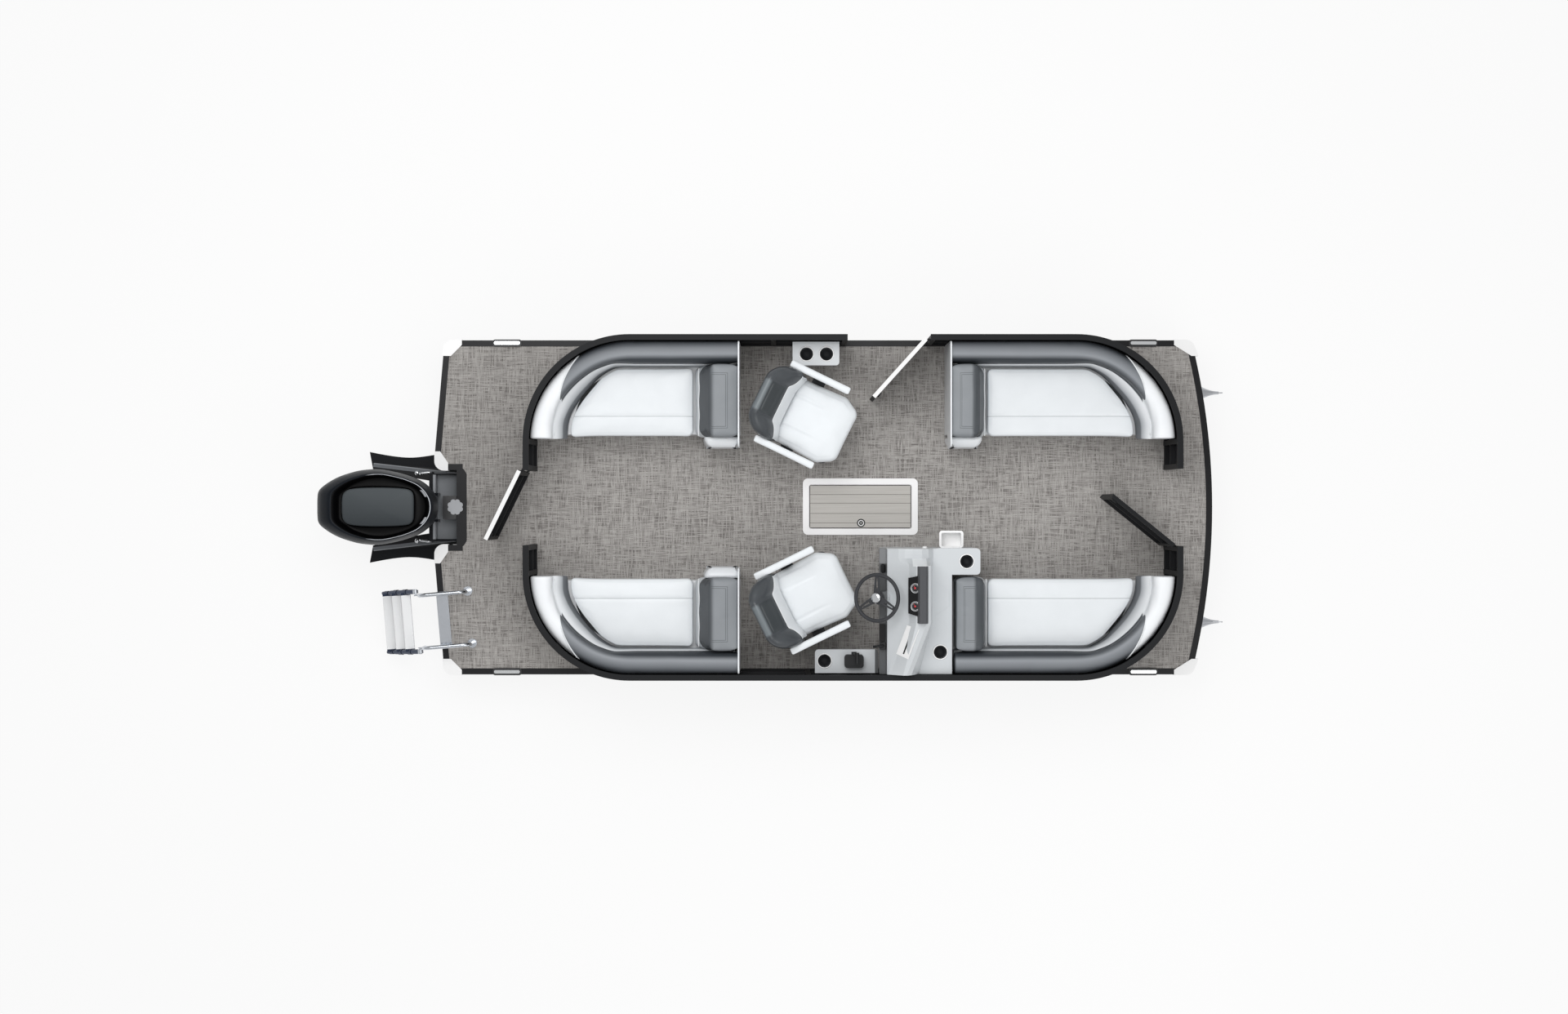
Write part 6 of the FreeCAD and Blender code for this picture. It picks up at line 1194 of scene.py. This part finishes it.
PANEL_LEVELS = ((0.939, 1.0), (0.968, 1.0), (0.980, 0.985), (0.985, 0.93))


def cowl(mats):
    """Cowl from its plans: rounded all round, with a rim, a sunk bowl inside and a raised panel."""
    plan, levels, panel = np.array(COWL_PLAN), np.array(COWL_LEVELS), np.array(PANEL_PLAN)
    back = (plan[:, 0] - plan[0, 0]) / (plan[-1, 0] - plan[0, 0])
    x = levels[:, 1:2] + (levels[:, 2:3] - levels[:, 1:2]) * back
    outer = np.stack([x, levels[:, 3:4] * plan[:, 1], np.broadcast_to(levels[:, :1], x.shape)], -1)
    middle = panel[[0, -1], 0].mean()
    lid = np.array([raised(np.c_[middle + (panel[:, 0] - middle) * k, panel[:, 1] * k], z)
                    for z, k in PANEL_LEVELS])
    half = np.concatenate([outer, lid])
    net = np.concatenate([half, half[:, -2:0:-1] * MIRROR_Y], 1)
    way = np.arange(len(net))[:, None, None] / (len(net) - 1) + 0 * net[..., :1]
    shape = capped(corner_cut(cut_across(np.concatenate([net, way], -1), 2), 1, False))
    flow = shape[0][:, [3, 0, 1]]
    shape = carried(shape, lambda p: p[:, :3] + np.array([0.0, BOAT_MID_Y, 0.0]))
    piece = mesh_piece("cowl_moulding", shape, "motor", mats["cowl_black"], flow=flow)
    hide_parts("outboard_cowl")


# Beside the motor: half plans of a wing's strip and its hook, and the stud's place and profile
STRIP_PLAN = ((-3.556, 0.304), (-3.23, 0.228), (-3.06, 0.200), (-2.842, 0.190), (-2.842, 0.296),
              (-2.94, 0.296), (-3.548, 0.349))
HOOK_LINE = ((-3.186, 0.262), (-3.165, 0.266), (-3.12, 0.272), (-3.07, 0.268))
HOOK_Z = 0.121
STUD_PLACE = (-3.205, 0.268)
STUD = ((0.019, 0.111), (0.019, 0.124), (0.014, 0.130), (0.002, 0.131))


def wing_strips(mats):
    """Grey-striped strip along the inner edge of each wing, and the bright fittings on it."""
    for name, side in SIDES:
        plan, line, (x, y) = (np.array([0.0, BOAT_MID_Y]) + np.array(p) * (1.0, side)
                              for p in (STRIP_PLAN, HOOK_LINE, STUD_PLACE))
        slab("wing_strip_" + name, plan, 0.094, 0.1115, "boat", mats["wing_stripe"])
        hook = tube(raised(line, HOOK_Z), 0.010, 10)
        mesh_piece("wing_hook_" + name, hook, "boat", mats["bright"])
        stud = carried(disc(STUD, 24), lambda p: p + np.array([x, y, 0.0]))
        mesh_piece("wing_stud_" + name, stud, "boat", mats["bright"])


# Chairs


# Lines of the chair back from its middle to a wing tip, as x, y and height: the first is low
# inside, the third is the piping, the fifth the ridge and the last low outside
BACK_LINES = (
    ((-0.128, -0.128, -0.124, -0.122, -0.118, -0.110, -0.102, -0.098),
     (0.0, 0.075, 0.132, 0.145, 0.170, 0.205, 0.240, 0.262), 0.4975),
    ((-0.160, -0.160, -0.158, -0.155, -0.142, -0.131, -0.124, -0.120),
     (0.0, 0.075, 0.134, 0.147, 0.168, 0.202, 0.234, 0.256), 0.600),
    ((-0.197, -0.197, -0.197, -0.192, -0.172, -0.156, -0.147, -0.150),
     (0.0, 0.075, 0.137, 0.146, 0.165, 0.197, 0.235, 0.258),
     (0.71, 0.71, 0.71, 0.705, 0.695, 0.685, 0.668, 0.655)),
    ((-0.318, -0.318, -0.316, -0.300, -0.262, -0.222, -0.182, -0.156),
     (0.0, 0.075, 0.130, 0.146, 0.180, 0.222, 0.250, 0.265),
     (0.87, 0.87, 0.868, 0.855, 0.83, 0.80, 0.75, 0.70)),
    ((-0.345, -0.345, -0.343, -0.335, -0.305, -0.262, -0.205, -0.164),
     (0.0, 0.085, 0.145, 0.172, 0.215, 0.250, 0.268, 0.273),
     (0.91, 0.91, 0.905, 0.885, 0.86, 0.82, 0.76, 0.71)),
    ((-0.392, -0.392, -0.390, -0.378, -0.345, -0.295, -0.225, -0.168),
     (0.0, 0.090, 0.155, 0.190, 0.236, 0.270, 0.284, 0.285),
     (0.88, 0.88, 0.875, 0.85, 0.83, 0.79, 0.74, 0.69)),
    ((-0.378, -0.378, -0.376, -0.362, -0.330, -0.282, -0.215, -0.158),
     (0.0, 0.090, 0.157, 0.193, 0.238, 0.272, 0.286, 0.287),
     (0.68, 0.68, 0.68, 0.67, 0.66, 0.65, 0.63, 0.61)),
    ((-0.345, -0.345, -0.343, -0.327, -0.295, -0.250, -0.190, -0.138),
     (0.0, 0.090, 0.155, 0.188, 0.228, 0.258, 0.272, 0.277), 0.4975),
)


class Chair:
    """A swivel chair's own frame: x forward, y left, height above the deck."""

    def __init__(self, name, side):
        self.name = name
        self.side = side

    def world(self, p):
        c, s = math.cos(-CHAIR_YAW), math.sin(-CHAIR_YAW)
        x = CHAIR_AXIS.x + p[:, 0] * c - p[:, 1] * s
        y = CHAIR_AXIS.y + p[:, 0] * s + p[:, 1] * c
        return np.stack([x, y * self.side, DECK_Z + p[:, 2]], 1)

    def local(self, p):
        c, s = math.cos(CHAIR_YAW), math.sin(CHAIR_YAW)
        x, y = p[:, 0] - CHAIR_AXIS.x, p[:, 1] * self.side - CHAIR_AXIS.y
        return np.stack([x * c - y * s, x * s + y * c, p[:, 2] - DECK_Z], 1)


CHAIR_SEAM_Y = 0.125
CHAIR_SEAM = 0.008


def chair_seat(chair, mats):
    """Swivel chair's seat pad with two sewn lines that fade towards the front."""
    half = [(-0.188, 0.262, 0.06), (0.228, 0.279, 0.06), (0.360, 0.205, 0.08)]
    corners = [(x, -y, r) for x, y, r in half] + half[::-1]
    splits = ((-0.188, -0.262), (0.33, -0.235), (0.33, 0.235), (-0.188, 0.262))
    shape = cushion(corners, rounded_profile(0.3465, 0.480, 0.015, 0.040), 0.010, 40, 44, splits)
    pad = mesh_piece("chair_cushion_" + chair.name, carried(shape, chair.world),
                     "chair_" + chair.name, mats["vinyl_light"])
    puffed(pad, 4.0, 0.008)
    p = chair.local(mesh_array(pad.data))
    top = np.clip((p[:, 2] - 0.43) / 0.03, 0, 1) * np.clip((0.20 - p[:, 0]) / 0.15, 0, 1)
    for line in (-CHAIR_SEAM_Y, CHAIR_SEAM_Y):
        p[:, 2] -= CHAIR_SEAM * np.exp(-((p[:, 1] - line) / CHAIR_SEAM) ** 2) * top
    p[:, 2] = np.clip(p[:, 2], 0.3462, 0.496)
    reshaped(pad, chair.world(p))
    subdivided(pad)
    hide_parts("chair_seat_" + chair.name)


def chair_back_net():
    """Control net of the chair back: stations from wing to wing, each a loop of eight lines.

    Columns are x, y, height, the line's number / 8 and the station from -1 to 1."""
    half = np.stack([np.stack(np.broadcast_arrays(x, y, z), -1) for x, y, z in BACK_LINES], 1)
    net = np.concatenate([half[::-1] * MIRROR_Y, half[1:]])
    station = np.linspace(-1, 1, len(net))[:, None, None]
    line = np.arange(net.shape[1])[None, :, None] / 8.0
    return np.concatenate([net, line + 0 * station, station + 0 * line], -1)


def chair_back(chair, mats):
    """Wrapped chair back: white lining, a charcoal crest folded over the top and both wings."""
    net = cut_across(corner_cut(chair_back_net(), 2, False), 3)
    ends = net[[0, -1]]
    mean = ends.mean(1, keepdims=True)
    ends = mean + (ends - mean) * 0.6
    ends[..., 0] += 0.010
    rings = np.concatenate([ends[:1], net, ends[1:]])
    wide, line = np.abs(rings[..., 1]), rings[..., 3]
    sunk = np.clip((0.118 - wide) / 0.012, 0, 1)
    sunk = sunk * np.clip((line - 0.29) / 0.02, 0, 1) * np.clip((0.40 - line) / 0.02, 0, 1)
    rings[..., :3] -= sunk[..., None] * np.array([0.0045, 0.0, 0.0055])
    shape = capped(rings)
    flow = shape[0][:, [3, 1, 2]]
    pad = mesh_piece("chair_wrap_" + chair.name, carried(shape, lambda p: chair.world(p[:, :3])),
                     "chair_" + chair.name, mats["vinyl_dark"], flow=flow)
    puffed(pad, 3.0, 0.004)
    p = chair.local(mesh_array(pad.data))
    p[:, 2] = np.clip(p[:, 2], 0.4955, 0.902)
    reshaped(pad, chair.world(p))
    subdivided(pad)
    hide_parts("chair_back_" + chair.name)


def chair_piping(chair, mats):
    """White piping between the lining and the crest, from wing to wing."""
    net = chair_back_net()[..., :3]
    line = corner_cut((net[:, 1] + 6 * net[:, 2] + net[:, 3]) / 8, 3, False)
    path = chair.world(line[2:-2] + np.array([0.0015, 0.0, 0.0015]))
    mesh_piece("chair_piping_" + chair.name, tube(path, 0.0042), "chair_" + chair.name,
               mats["piping"])


def chair_arm(chair, hand, mats):
    """Padded armrest: a long soft-edged bar."""
    near, far = (0.283, 0.337) if hand == "left" else (-0.337, -0.283)
    plan = ((-0.268, near), (0.220, near), (0.220, far), (-0.268, far))
    corners = [(x, y, 0.012) for x, y in plan]
    shape = cushion(corners, rounded_profile(0.6345, 0.678, 0.008, 0.009), 0.002, 50, 8)
    arm = mesh_piece("arm_pad_%s_%s" % (chair.name, hand), carried(shape, chair.world),
                     "chair_" + chair.name, mats["vinyl_light"])
    puffed(arm, 2.0, 0.002)
    subdivided(arm)
    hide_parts("chair_arms_" + chair.name)


# Helm details


# Cup liner: radius and drop under the rim, from outside over its lip to its floor
LINER = ((0.043, 0.071), (0.0445, 0.045), (0.0445, 0.040), (0.036, 0.040), (0.033, 0.062))


def cup_liner(name, x, y, z, mats):
    """Rubber liner at the bottom of a cup well, its white rim and the dark lip inside that."""
    profile = [(r, z - drop) for r, drop in LINER]
    liner = carried(disc(profile), lambda p: p + np.array([x, y, 0.0]))
    mesh_piece("cup_liner_" + name, liner, "boat", mats["cup_liner"])
    for part, reach, thick, slot, finish in (
            ("rim", 0.0535, 0.0045, "cap_white", "panel_white"),
            ("lip", 0.0474, 0.0021, "control_black", "control_black")):
        ring = raised(circle(RING_SIDES) * reach + np.array([x, y]), z + 0.003)
        ring = tube(ring, thick, closed=True)
        mesh_piece("cup_%s_%s" % (part, name), ring, "boat", mats[finish])


# Gauge housing: its top face runs from the first to the second point (x, height), under the hood.
# Its sides are plan lines (y in front, y behind)
HOUSING_FRONT = (0.612, DECK_Z + 0.862)
HOUSING_BACK = (0.684, DECK_Z + 0.900)
HOUSING_SIDES = ((-0.521, -0.504), (-0.5215, -0.5045), (-0.7835, -0.8045), (-0.784, -0.805))
DIAL_X = 0.661
DIAL_R = 0.034


def tilted(run, out, centre):
    """A function that lays a turned piece on a face: its x along run, its z along out."""
    turn = np.array([list(run), [0.0, 1.0, 0.0], list(out)])
    return lambda points: points @ turn + np.array(centre)


def gauge_housing(mats):
    """Black wedge under the hood that holds both dials, narrower towards the wheel."""
    (x, z), (back_x, back_z) = HOUSING_FRONT, HOUSING_BACK
    rings = [[(x, near, z - 0.062), (x, near, z - 0.004), (x + 0.003, near, z),
              (back_x, far, back_z), (back_x + 0.004, far, z - 0.02), (x + 0.02, near, z - 0.066)]
             for near, far in HOUSING_SIDES]
    piece = mesh_piece("gauge_housing", capped(np.array(rings)), "boat",
                       mats["gauge_black"], smooth=False)
    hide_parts("helm_gauges")


def surface_point(node, start, direction):
    """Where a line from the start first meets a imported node."""
    hit, place, _, _ = frame["nodes"][node].ray_cast(Vector(start), Vector(direction))
    if not hit:
        raise RuntimeError("nothing of %s lies under %s" % (node, tuple(start)))
    return place


# Slotted plate on the console's outboard facet, as plan corners, and the ends of its slot
PLATE_PLAN = ((0.605, -0.873), (0.692, -0.899), (0.614, -1.126), (0.528, -1.090))
SLOT_ENDS = ((0.6397, -0.9116), (0.579, -1.088))
SLOT_HALF = 0.005


def helm_plate(mats):
    """White plate with a black slot, on z = a + bx + cy through the facet under its corners."""
    feet = np.array([surface_point("helm_console", (x, y, 2.5), (0, 0, -1)) for x, y in PLATE_PLAN])
    base = np.c_[np.ones(4), feet[:, :2]]
    plane = np.linalg.lstsq(base, feet[:, 2], rcond=None)[0]
    lift = (feet[:, 2] - base @ plane).max()
    a, b = np.array(SLOT_ENDS)
    side = np.array([-(b - a)[1], (b - a)[0]]) / np.linalg.norm(b - a) * SLOT_HALF
    slot = (a + side, a - side, b - side, b + side)
    for name, outline, high, low, kind, finish in (
            ("helm_plate", PLATE_PLAN, 0.0045, 0.010, "cap_white", "panel_white"),
            ("helm_plate_slot", slot, 0.0055, 0.004, "control_black", "control_black")):
        plan = np.array(outline, float)
        z = np.c_[np.ones(len(plan)), plan] @ plane + lift
        plate = capped(np.stack([np.c_[plan, z - low], np.c_[plan, z + high]]))
        mesh_piece(name, plate, "boat", mats[finish], smooth=False)


# Boxes on the strip under the dash: aft and fore x, inboard and outboard y, rise of the top, finish
DASH_BOXES = (("helm_switch_box", 0.408, 0.446, -0.872, -1.001, 0.055, "gauge_black"),
              ("helm_key_box", 0.410, 0.452, -1.008, -1.064, 0.061, "control_black"))
DASH_LOW = DECK_Z + 0.590
LEVER_PATH = ((0.436, -1.034, 0.055), (0.430, -1.035, 0.071), (0.400, -1.037, 0.075),
              (0.358, -1.042, 0.071))
KNOB_PLAN = ((0.416, -0.492), (0.453, -0.492), (0.453, -0.422), (0.416, -0.422))
CATCH = ((0.019, -0.004), (0.019, 0.006), (0.014, 0.013), (0.001, 0.015))


def helm_fittings(mats):
    """Switch box, key lever and knob on the strip under the dash, and the catch inboard."""
    for name, x0, x1, y0, y1, rise, finish in DASH_BOXES:
        slab(name, [(x0, y0), (x1, y0), (x1, y1), (x0, y1)], DASH_LOW, DASH_LOW + rise, "boat",
             mats[finish])
    lever = tube(np.array(LEVER_PATH) + np.array([0.0, 0.0, DASH_LOW]), 0.010, 10)
    mesh_piece("helm_key_lever", lever, "boat", mats["control_black"])
    corners = [(x, y, 0.018) for x, y in KNOB_PLAN]
    profile = rounded_profile(DASH_LOW, DASH_LOW + 0.055, 0.004, 0.016)
    knob = cushion(corners, profile, 0.003, 12, 12)
    mesh_piece("helm_knob", knob, "boat", mats["control_black"])
    place = surface_point("helm_console", (0.751, 0.2, DECK_Z + 0.55), (0, -1, 0))
    catch = carried(disc(CATCH, 28), lambda p: p[:, [0, 2, 1]] + np.array(place))
    mesh_piece("helm_catch", catch, "boat", mats["panel_white"])


def hub_cap(mats):
    """Bright bare cap on the wheel's hub, turned about the wheel's own axis."""
    run = Vector((math.cos(WHEEL_TILT), 0.0, math.sin(WHEEL_TILT)))
    axis = Vector((-run.z, 0.0, run.x))
    place = surface_point("steering_wheel", WHEEL_CENTRE + axis * 0.3, -axis)
    cap = disc([(0.036, -0.012), (0.036, 0.001), (0.033, 0.004), (0.016, 0.0065), (0.001, 0.007)])
    mesh_piece("hub_cap", carried(cap, tilted(run, axis, place)), "helm_wheel",
               mats["bright"])


def gauge(name, y, mats):
    """Dial in its housing, a bright bezel and the needle."""
    low, high = (Vector((x, 0, z)) for x, z in (HOUSING_FRONT, HOUSING_BACK))
    run = (high - low).normalized()
    out = Vector((-run.z, 0, run.x))
    centre = low + run * ((DIAL_X - low.x) / run.x) + out * 0.0006
    laid = tilted(run, out, (centre.x, y, centre.z))
    face = disc([(DIAL_R, -0.004), (DIAL_R, 0.0004), (0.033, 0.0008), (0.004, 0.0010)])
    mesh_piece("dial_" + name, carried(face, laid), "boat", mats["dial"],
               flow=raised(face[0][:, :2] / DIAL_R, 0.0))
    ring = laid(raised(circle(RING_SIDES) * 0.0352, 0.001))
    mesh_piece("bezel_" + name, tube(ring, 0.0024, closed=True), "boat",
               mats["bright"])
    t = np.linspace(-0.006, 0.026, 8)
    line = laid(np.stack([t * -0.5, t * 0.85, np.full(8, 0.0022)], 1))
    mesh_piece("needle_" + name, tube(line, 0.0011, 6), "boat", mats["needle"])
    hub = disc([(0.0075, 0.001), (0.0075, 0.0036), (0.006, 0.0046), (0.001, 0.0048)], 24)
    mesh_piece("needle_hub_" + name, carried(hub, laid), "boat", mats["needle"])


# Operators


class BoatColours(bpy.types.PropertyGroup):
    floor: FloatVectorProperty(name="Floor", description="Colour of the studio floor",
                               subtype="COLOR", default=(0.90, 0.90, 0.90), size=3)


class BoatStudio(bpy.types.PropertyGroup):
    height: FloatProperty(name="Camera height", description="Height of the lens over the waterline",
                          default=18.45, unit="LENGTH")
    aim_x: FloatProperty(name="Camera along", description="Place of the lens along the boat",
                         default=-0.307, unit="LENGTH")
    aim_y: FloatProperty(name="Camera across", description="Place of the lens across the boat",
                         default=0.003, unit="LENGTH")
    lens: FloatProperty(name="Lens", description="Focal length in mm on a 36 mm wide sensor",
                        default=53.3)
    key: FloatProperty(name="Key light", description="Power of the large overhead light in watts",
                       default=375.0)
    sky: FloatProperty(name="Sky light", description="Strength of the even surrounding light",
                       default=0.56)
    panels: IntProperty(name="Floor cuts", description="Divisions of the floor sheet", default=2)


# Studio: half the floor sheet, and the share of its white that the camera sees as its own light
FLOOR_SPAN = 40.0
FLOOR_GLOW = 0.85
SENSOR = 36.0
MATS = {}
# Cup wells: name, place and height of the rim over the deck
CUPS = (("helm_inboard", 1.063, -0.405, 0.600), ("helm_outboard", 0.865, -1.085, 0.600),
        ("ledge", -0.001, -1.160, 0.455), ("shelf_aft", -0.137, 1.160, 0.455),
        ("shelf_forward", 0.014, 1.160, 0.455))


class BOAT_OT_finishes(bpy.types.Operator):
    """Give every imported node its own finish"""
    bl_idname = "boat.finishes"
    bl_label = "Finishes"

    def execute(self, context):
        MATS.update(finishes())
        slots = {p["node"]: p["material_slot"] for p in frame["record"]["subparts"]}
        for name, node in frame["nodes"].items():
            material = MATS[slots[name]]
            if name in ("gate_stern", "gate_side"):
                material = MATS["gate_cap"]
            if name == "helm_pocket":
                material = MATS["pocket"]
            if not node.material_slots:
                node.data.materials.append(material)
            for place in node.material_slots:
                place.material = material
        return {"FINISHED"}


class BOAT_OT_lounges(bpy.types.Operator):
    """Make the cushions, backs, piping and caps of the four lounges"""
    bl_idname = "boat.lounges"
    bl_label = "Lounges"

    def execute(self, context):
        for name in LOUNGES:
            lounge = Lounge(name)
            seat_cushion(lounge, MATS)
            wrapped_back(lounge, MATS)
            roll_piping(lounge, MATS)
            chaise_back(lounge, MATS)
            chaise_piping(lounge, MATS)
            if name != "starboard_fwd":
                chaise_shell(lounge, MATS)
                end_cap(lounge, MATS)
        return {"FINISHED"}


class BOAT_OT_chairs(bpy.types.Operator):
    """Make the cushions and armrests of the two swivel chairs"""
    bl_idname = "boat.chairs"
    bl_label = "Chairs"

    def execute(self, context):
        for name, side in SIDES:
            chair = Chair(name, side)
            chair_seat(chair, MATS)
            chair_back(chair, MATS)
            chair_piping(chair, MATS)
            for hand in ("left", "right"):
                chair_arm(chair, hand, MATS)
        return {"FINISHED"}


class BOAT_OT_helm(bpy.types.Operator):
    """Make the gauges, cup liners and small helm fittings"""
    bl_idname = "boat.helm"
    bl_label = "Helm details"

    def execute(self, context):
        for name, x, y, rise in CUPS:
            cup_liner(name, x, y, DECK_Z + rise, MATS)
        gauge_housing(MATS)
        gauge("inboard", -0.596, MATS)
        gauge("outboard", -0.730, MATS)
        helm_plate(MATS)
        helm_fittings(MATS)
        hub_cap(MATS)
        return {"FINISHED"}


class BOAT_OT_motor(bpy.types.Operator):
    """Make the motor's cowl and the striped strips of the wings beside it"""
    bl_idname = "boat.motor"
    bl_label = "Motor and wings"

    def execute(self, context):
        cowl(MATS)
        wing_strips(MATS)
        return {"FINISHED"}


class BOAT_OT_studio(bpy.types.Operator):
    """Make the pale floor at the waterline, the lights and the camera straight above"""
    bl_idname = "boat.studio"
    bl_label = "Studio"

    def execute(self, context):
        set_up = context.scene.boat_studio
        colour = context.scene.boat_colours.floor
        line = np.linspace(-FLOOR_SPAN, FLOOR_SPAN, set_up.panels + 1)
        x, y = np.meshgrid(line, line)
        points = np.stack([x, y, np.zeros_like(x)], -1).reshape(-1, 3)
        mesh = bpy.data.meshes.new("studio_floor")
        mesh.from_pydata(points.tolist(), [], grid_quads(len(line), len(line)).tolist())
        floor = bpy.data.objects.new("studio_floor", mesh)
        context.collection.objects.link(floor)
        s = Shade("studio_floor", tuple(colour), rough=0.9, spec=0.0)
        rays = s.node("ShaderNodeLightPath")
        seen = s.most(rays.outputs["Is Camera Ray"], rays.outputs["Is Glossy Ray"])
        seen = s.most(seen, rays.outputs["Is Transmission Ray"])
        glow = s.node("ShaderNodeEmission", None, {"Color": (1, 1, 1, 1), "Strength": 1.0})
        lift = s.node("ShaderNodeMixShader", None,
                      {0: seen * FLOOR_GLOW, 1: s.bsdf.outputs[0], 2: glow.outputs[0]})
        out = [n for n in s.tree.nodes if n.type == "OUTPUT_MATERIAL"][0]
        s.tree.links.new(lift.outputs[0], out.inputs[0])
        mesh.materials.append(s.mat)

        world = bpy.data.worlds.new("studio_sky")
        world.use_nodes = True
        world.node_tree.nodes["Background"].inputs[0].default_value = (1, 1, 1, 1)
        world.node_tree.nodes["Background"].inputs[1].default_value = set_up.sky
        context.scene.world = world
        for name, where, size, power in (("key", (-1.5, 2.5, 9.0), 6.0, set_up.key),
                                         ("fill", (3.5, -4.0, 7.0), 5.0, set_up.key * 0.35)):
            lamp = bpy.data.lights.new(name, "AREA")
            lamp.size = size
            lamp.energy = power
            light = bpy.data.objects.new(name, lamp)
            light.location = where
            aim = Vector((0, 0, 0.4)) - Vector(where)
            light.rotation_euler = aim.to_track_quat("-Z", "Y").to_euler()
            context.collection.objects.link(light)
        camera = bpy.data.cameras.new("view")
        camera.sensor_width = SENSOR
        camera.lens = set_up.lens
        camera.clip_end = 200.0
        eye = bpy.data.objects.new("view", camera)
        eye.location = (set_up.aim_x, set_up.aim_y, set_up.height)
        context.collection.objects.link(eye)
        context.scene.camera = eye
        context.scene.view_settings.view_transform = "Standard"
        return {"FINISHED"}


class BOAT_PT_panel(bpy.types.Panel):
    """Sidebar list of the boat's steps"""
    bl_idname = "BOAT_PT_panel"
    bl_label = "Pontoon boat"
    bl_space_type = "VIEW_3D"
    bl_region_type = "UI"
    bl_category = "Boat"

    def draw(self, context):
        for step in STEPS:
            self.layout.operator(step.bl_idname)
        for group in (context.scene.boat_colours, context.scene.boat_studio):
            for prop in group.__annotations__:
                self.layout.prop(group, prop)


STEPS = (BOAT_OT_finishes, BOAT_OT_studio, BOAT_OT_lounges, BOAT_OT_chairs, BOAT_OT_helm,
         BOAT_OT_motor)
CLASSES = (BoatColours, BoatStudio, BOAT_PT_panel) + STEPS


def register():
    for cls in CLASSES:
        bpy.utils.register_class(cls)
    bpy.types.Scene.boat_colours = PointerProperty(type=BoatColours)
    bpy.types.Scene.boat_studio = PointerProperty(type=BoatStudio)


def unregister():
    del bpy.types.Scene.boat_studio
    del bpy.types.Scene.boat_colours
    for cls in reversed(CLASSES):
        bpy.utils.unregister_class(cls)


def main():
    """Run every step in order."""
    register()
    bpy.ops.boat.finishes()
    bpy.ops.boat.studio()
    bpy.ops.boat.lounges()
    bpy.ops.boat.chairs()
    bpy.ops.boat.helm()
    bpy.ops.boat.motor()


if __name__ == "__main__":
    main()
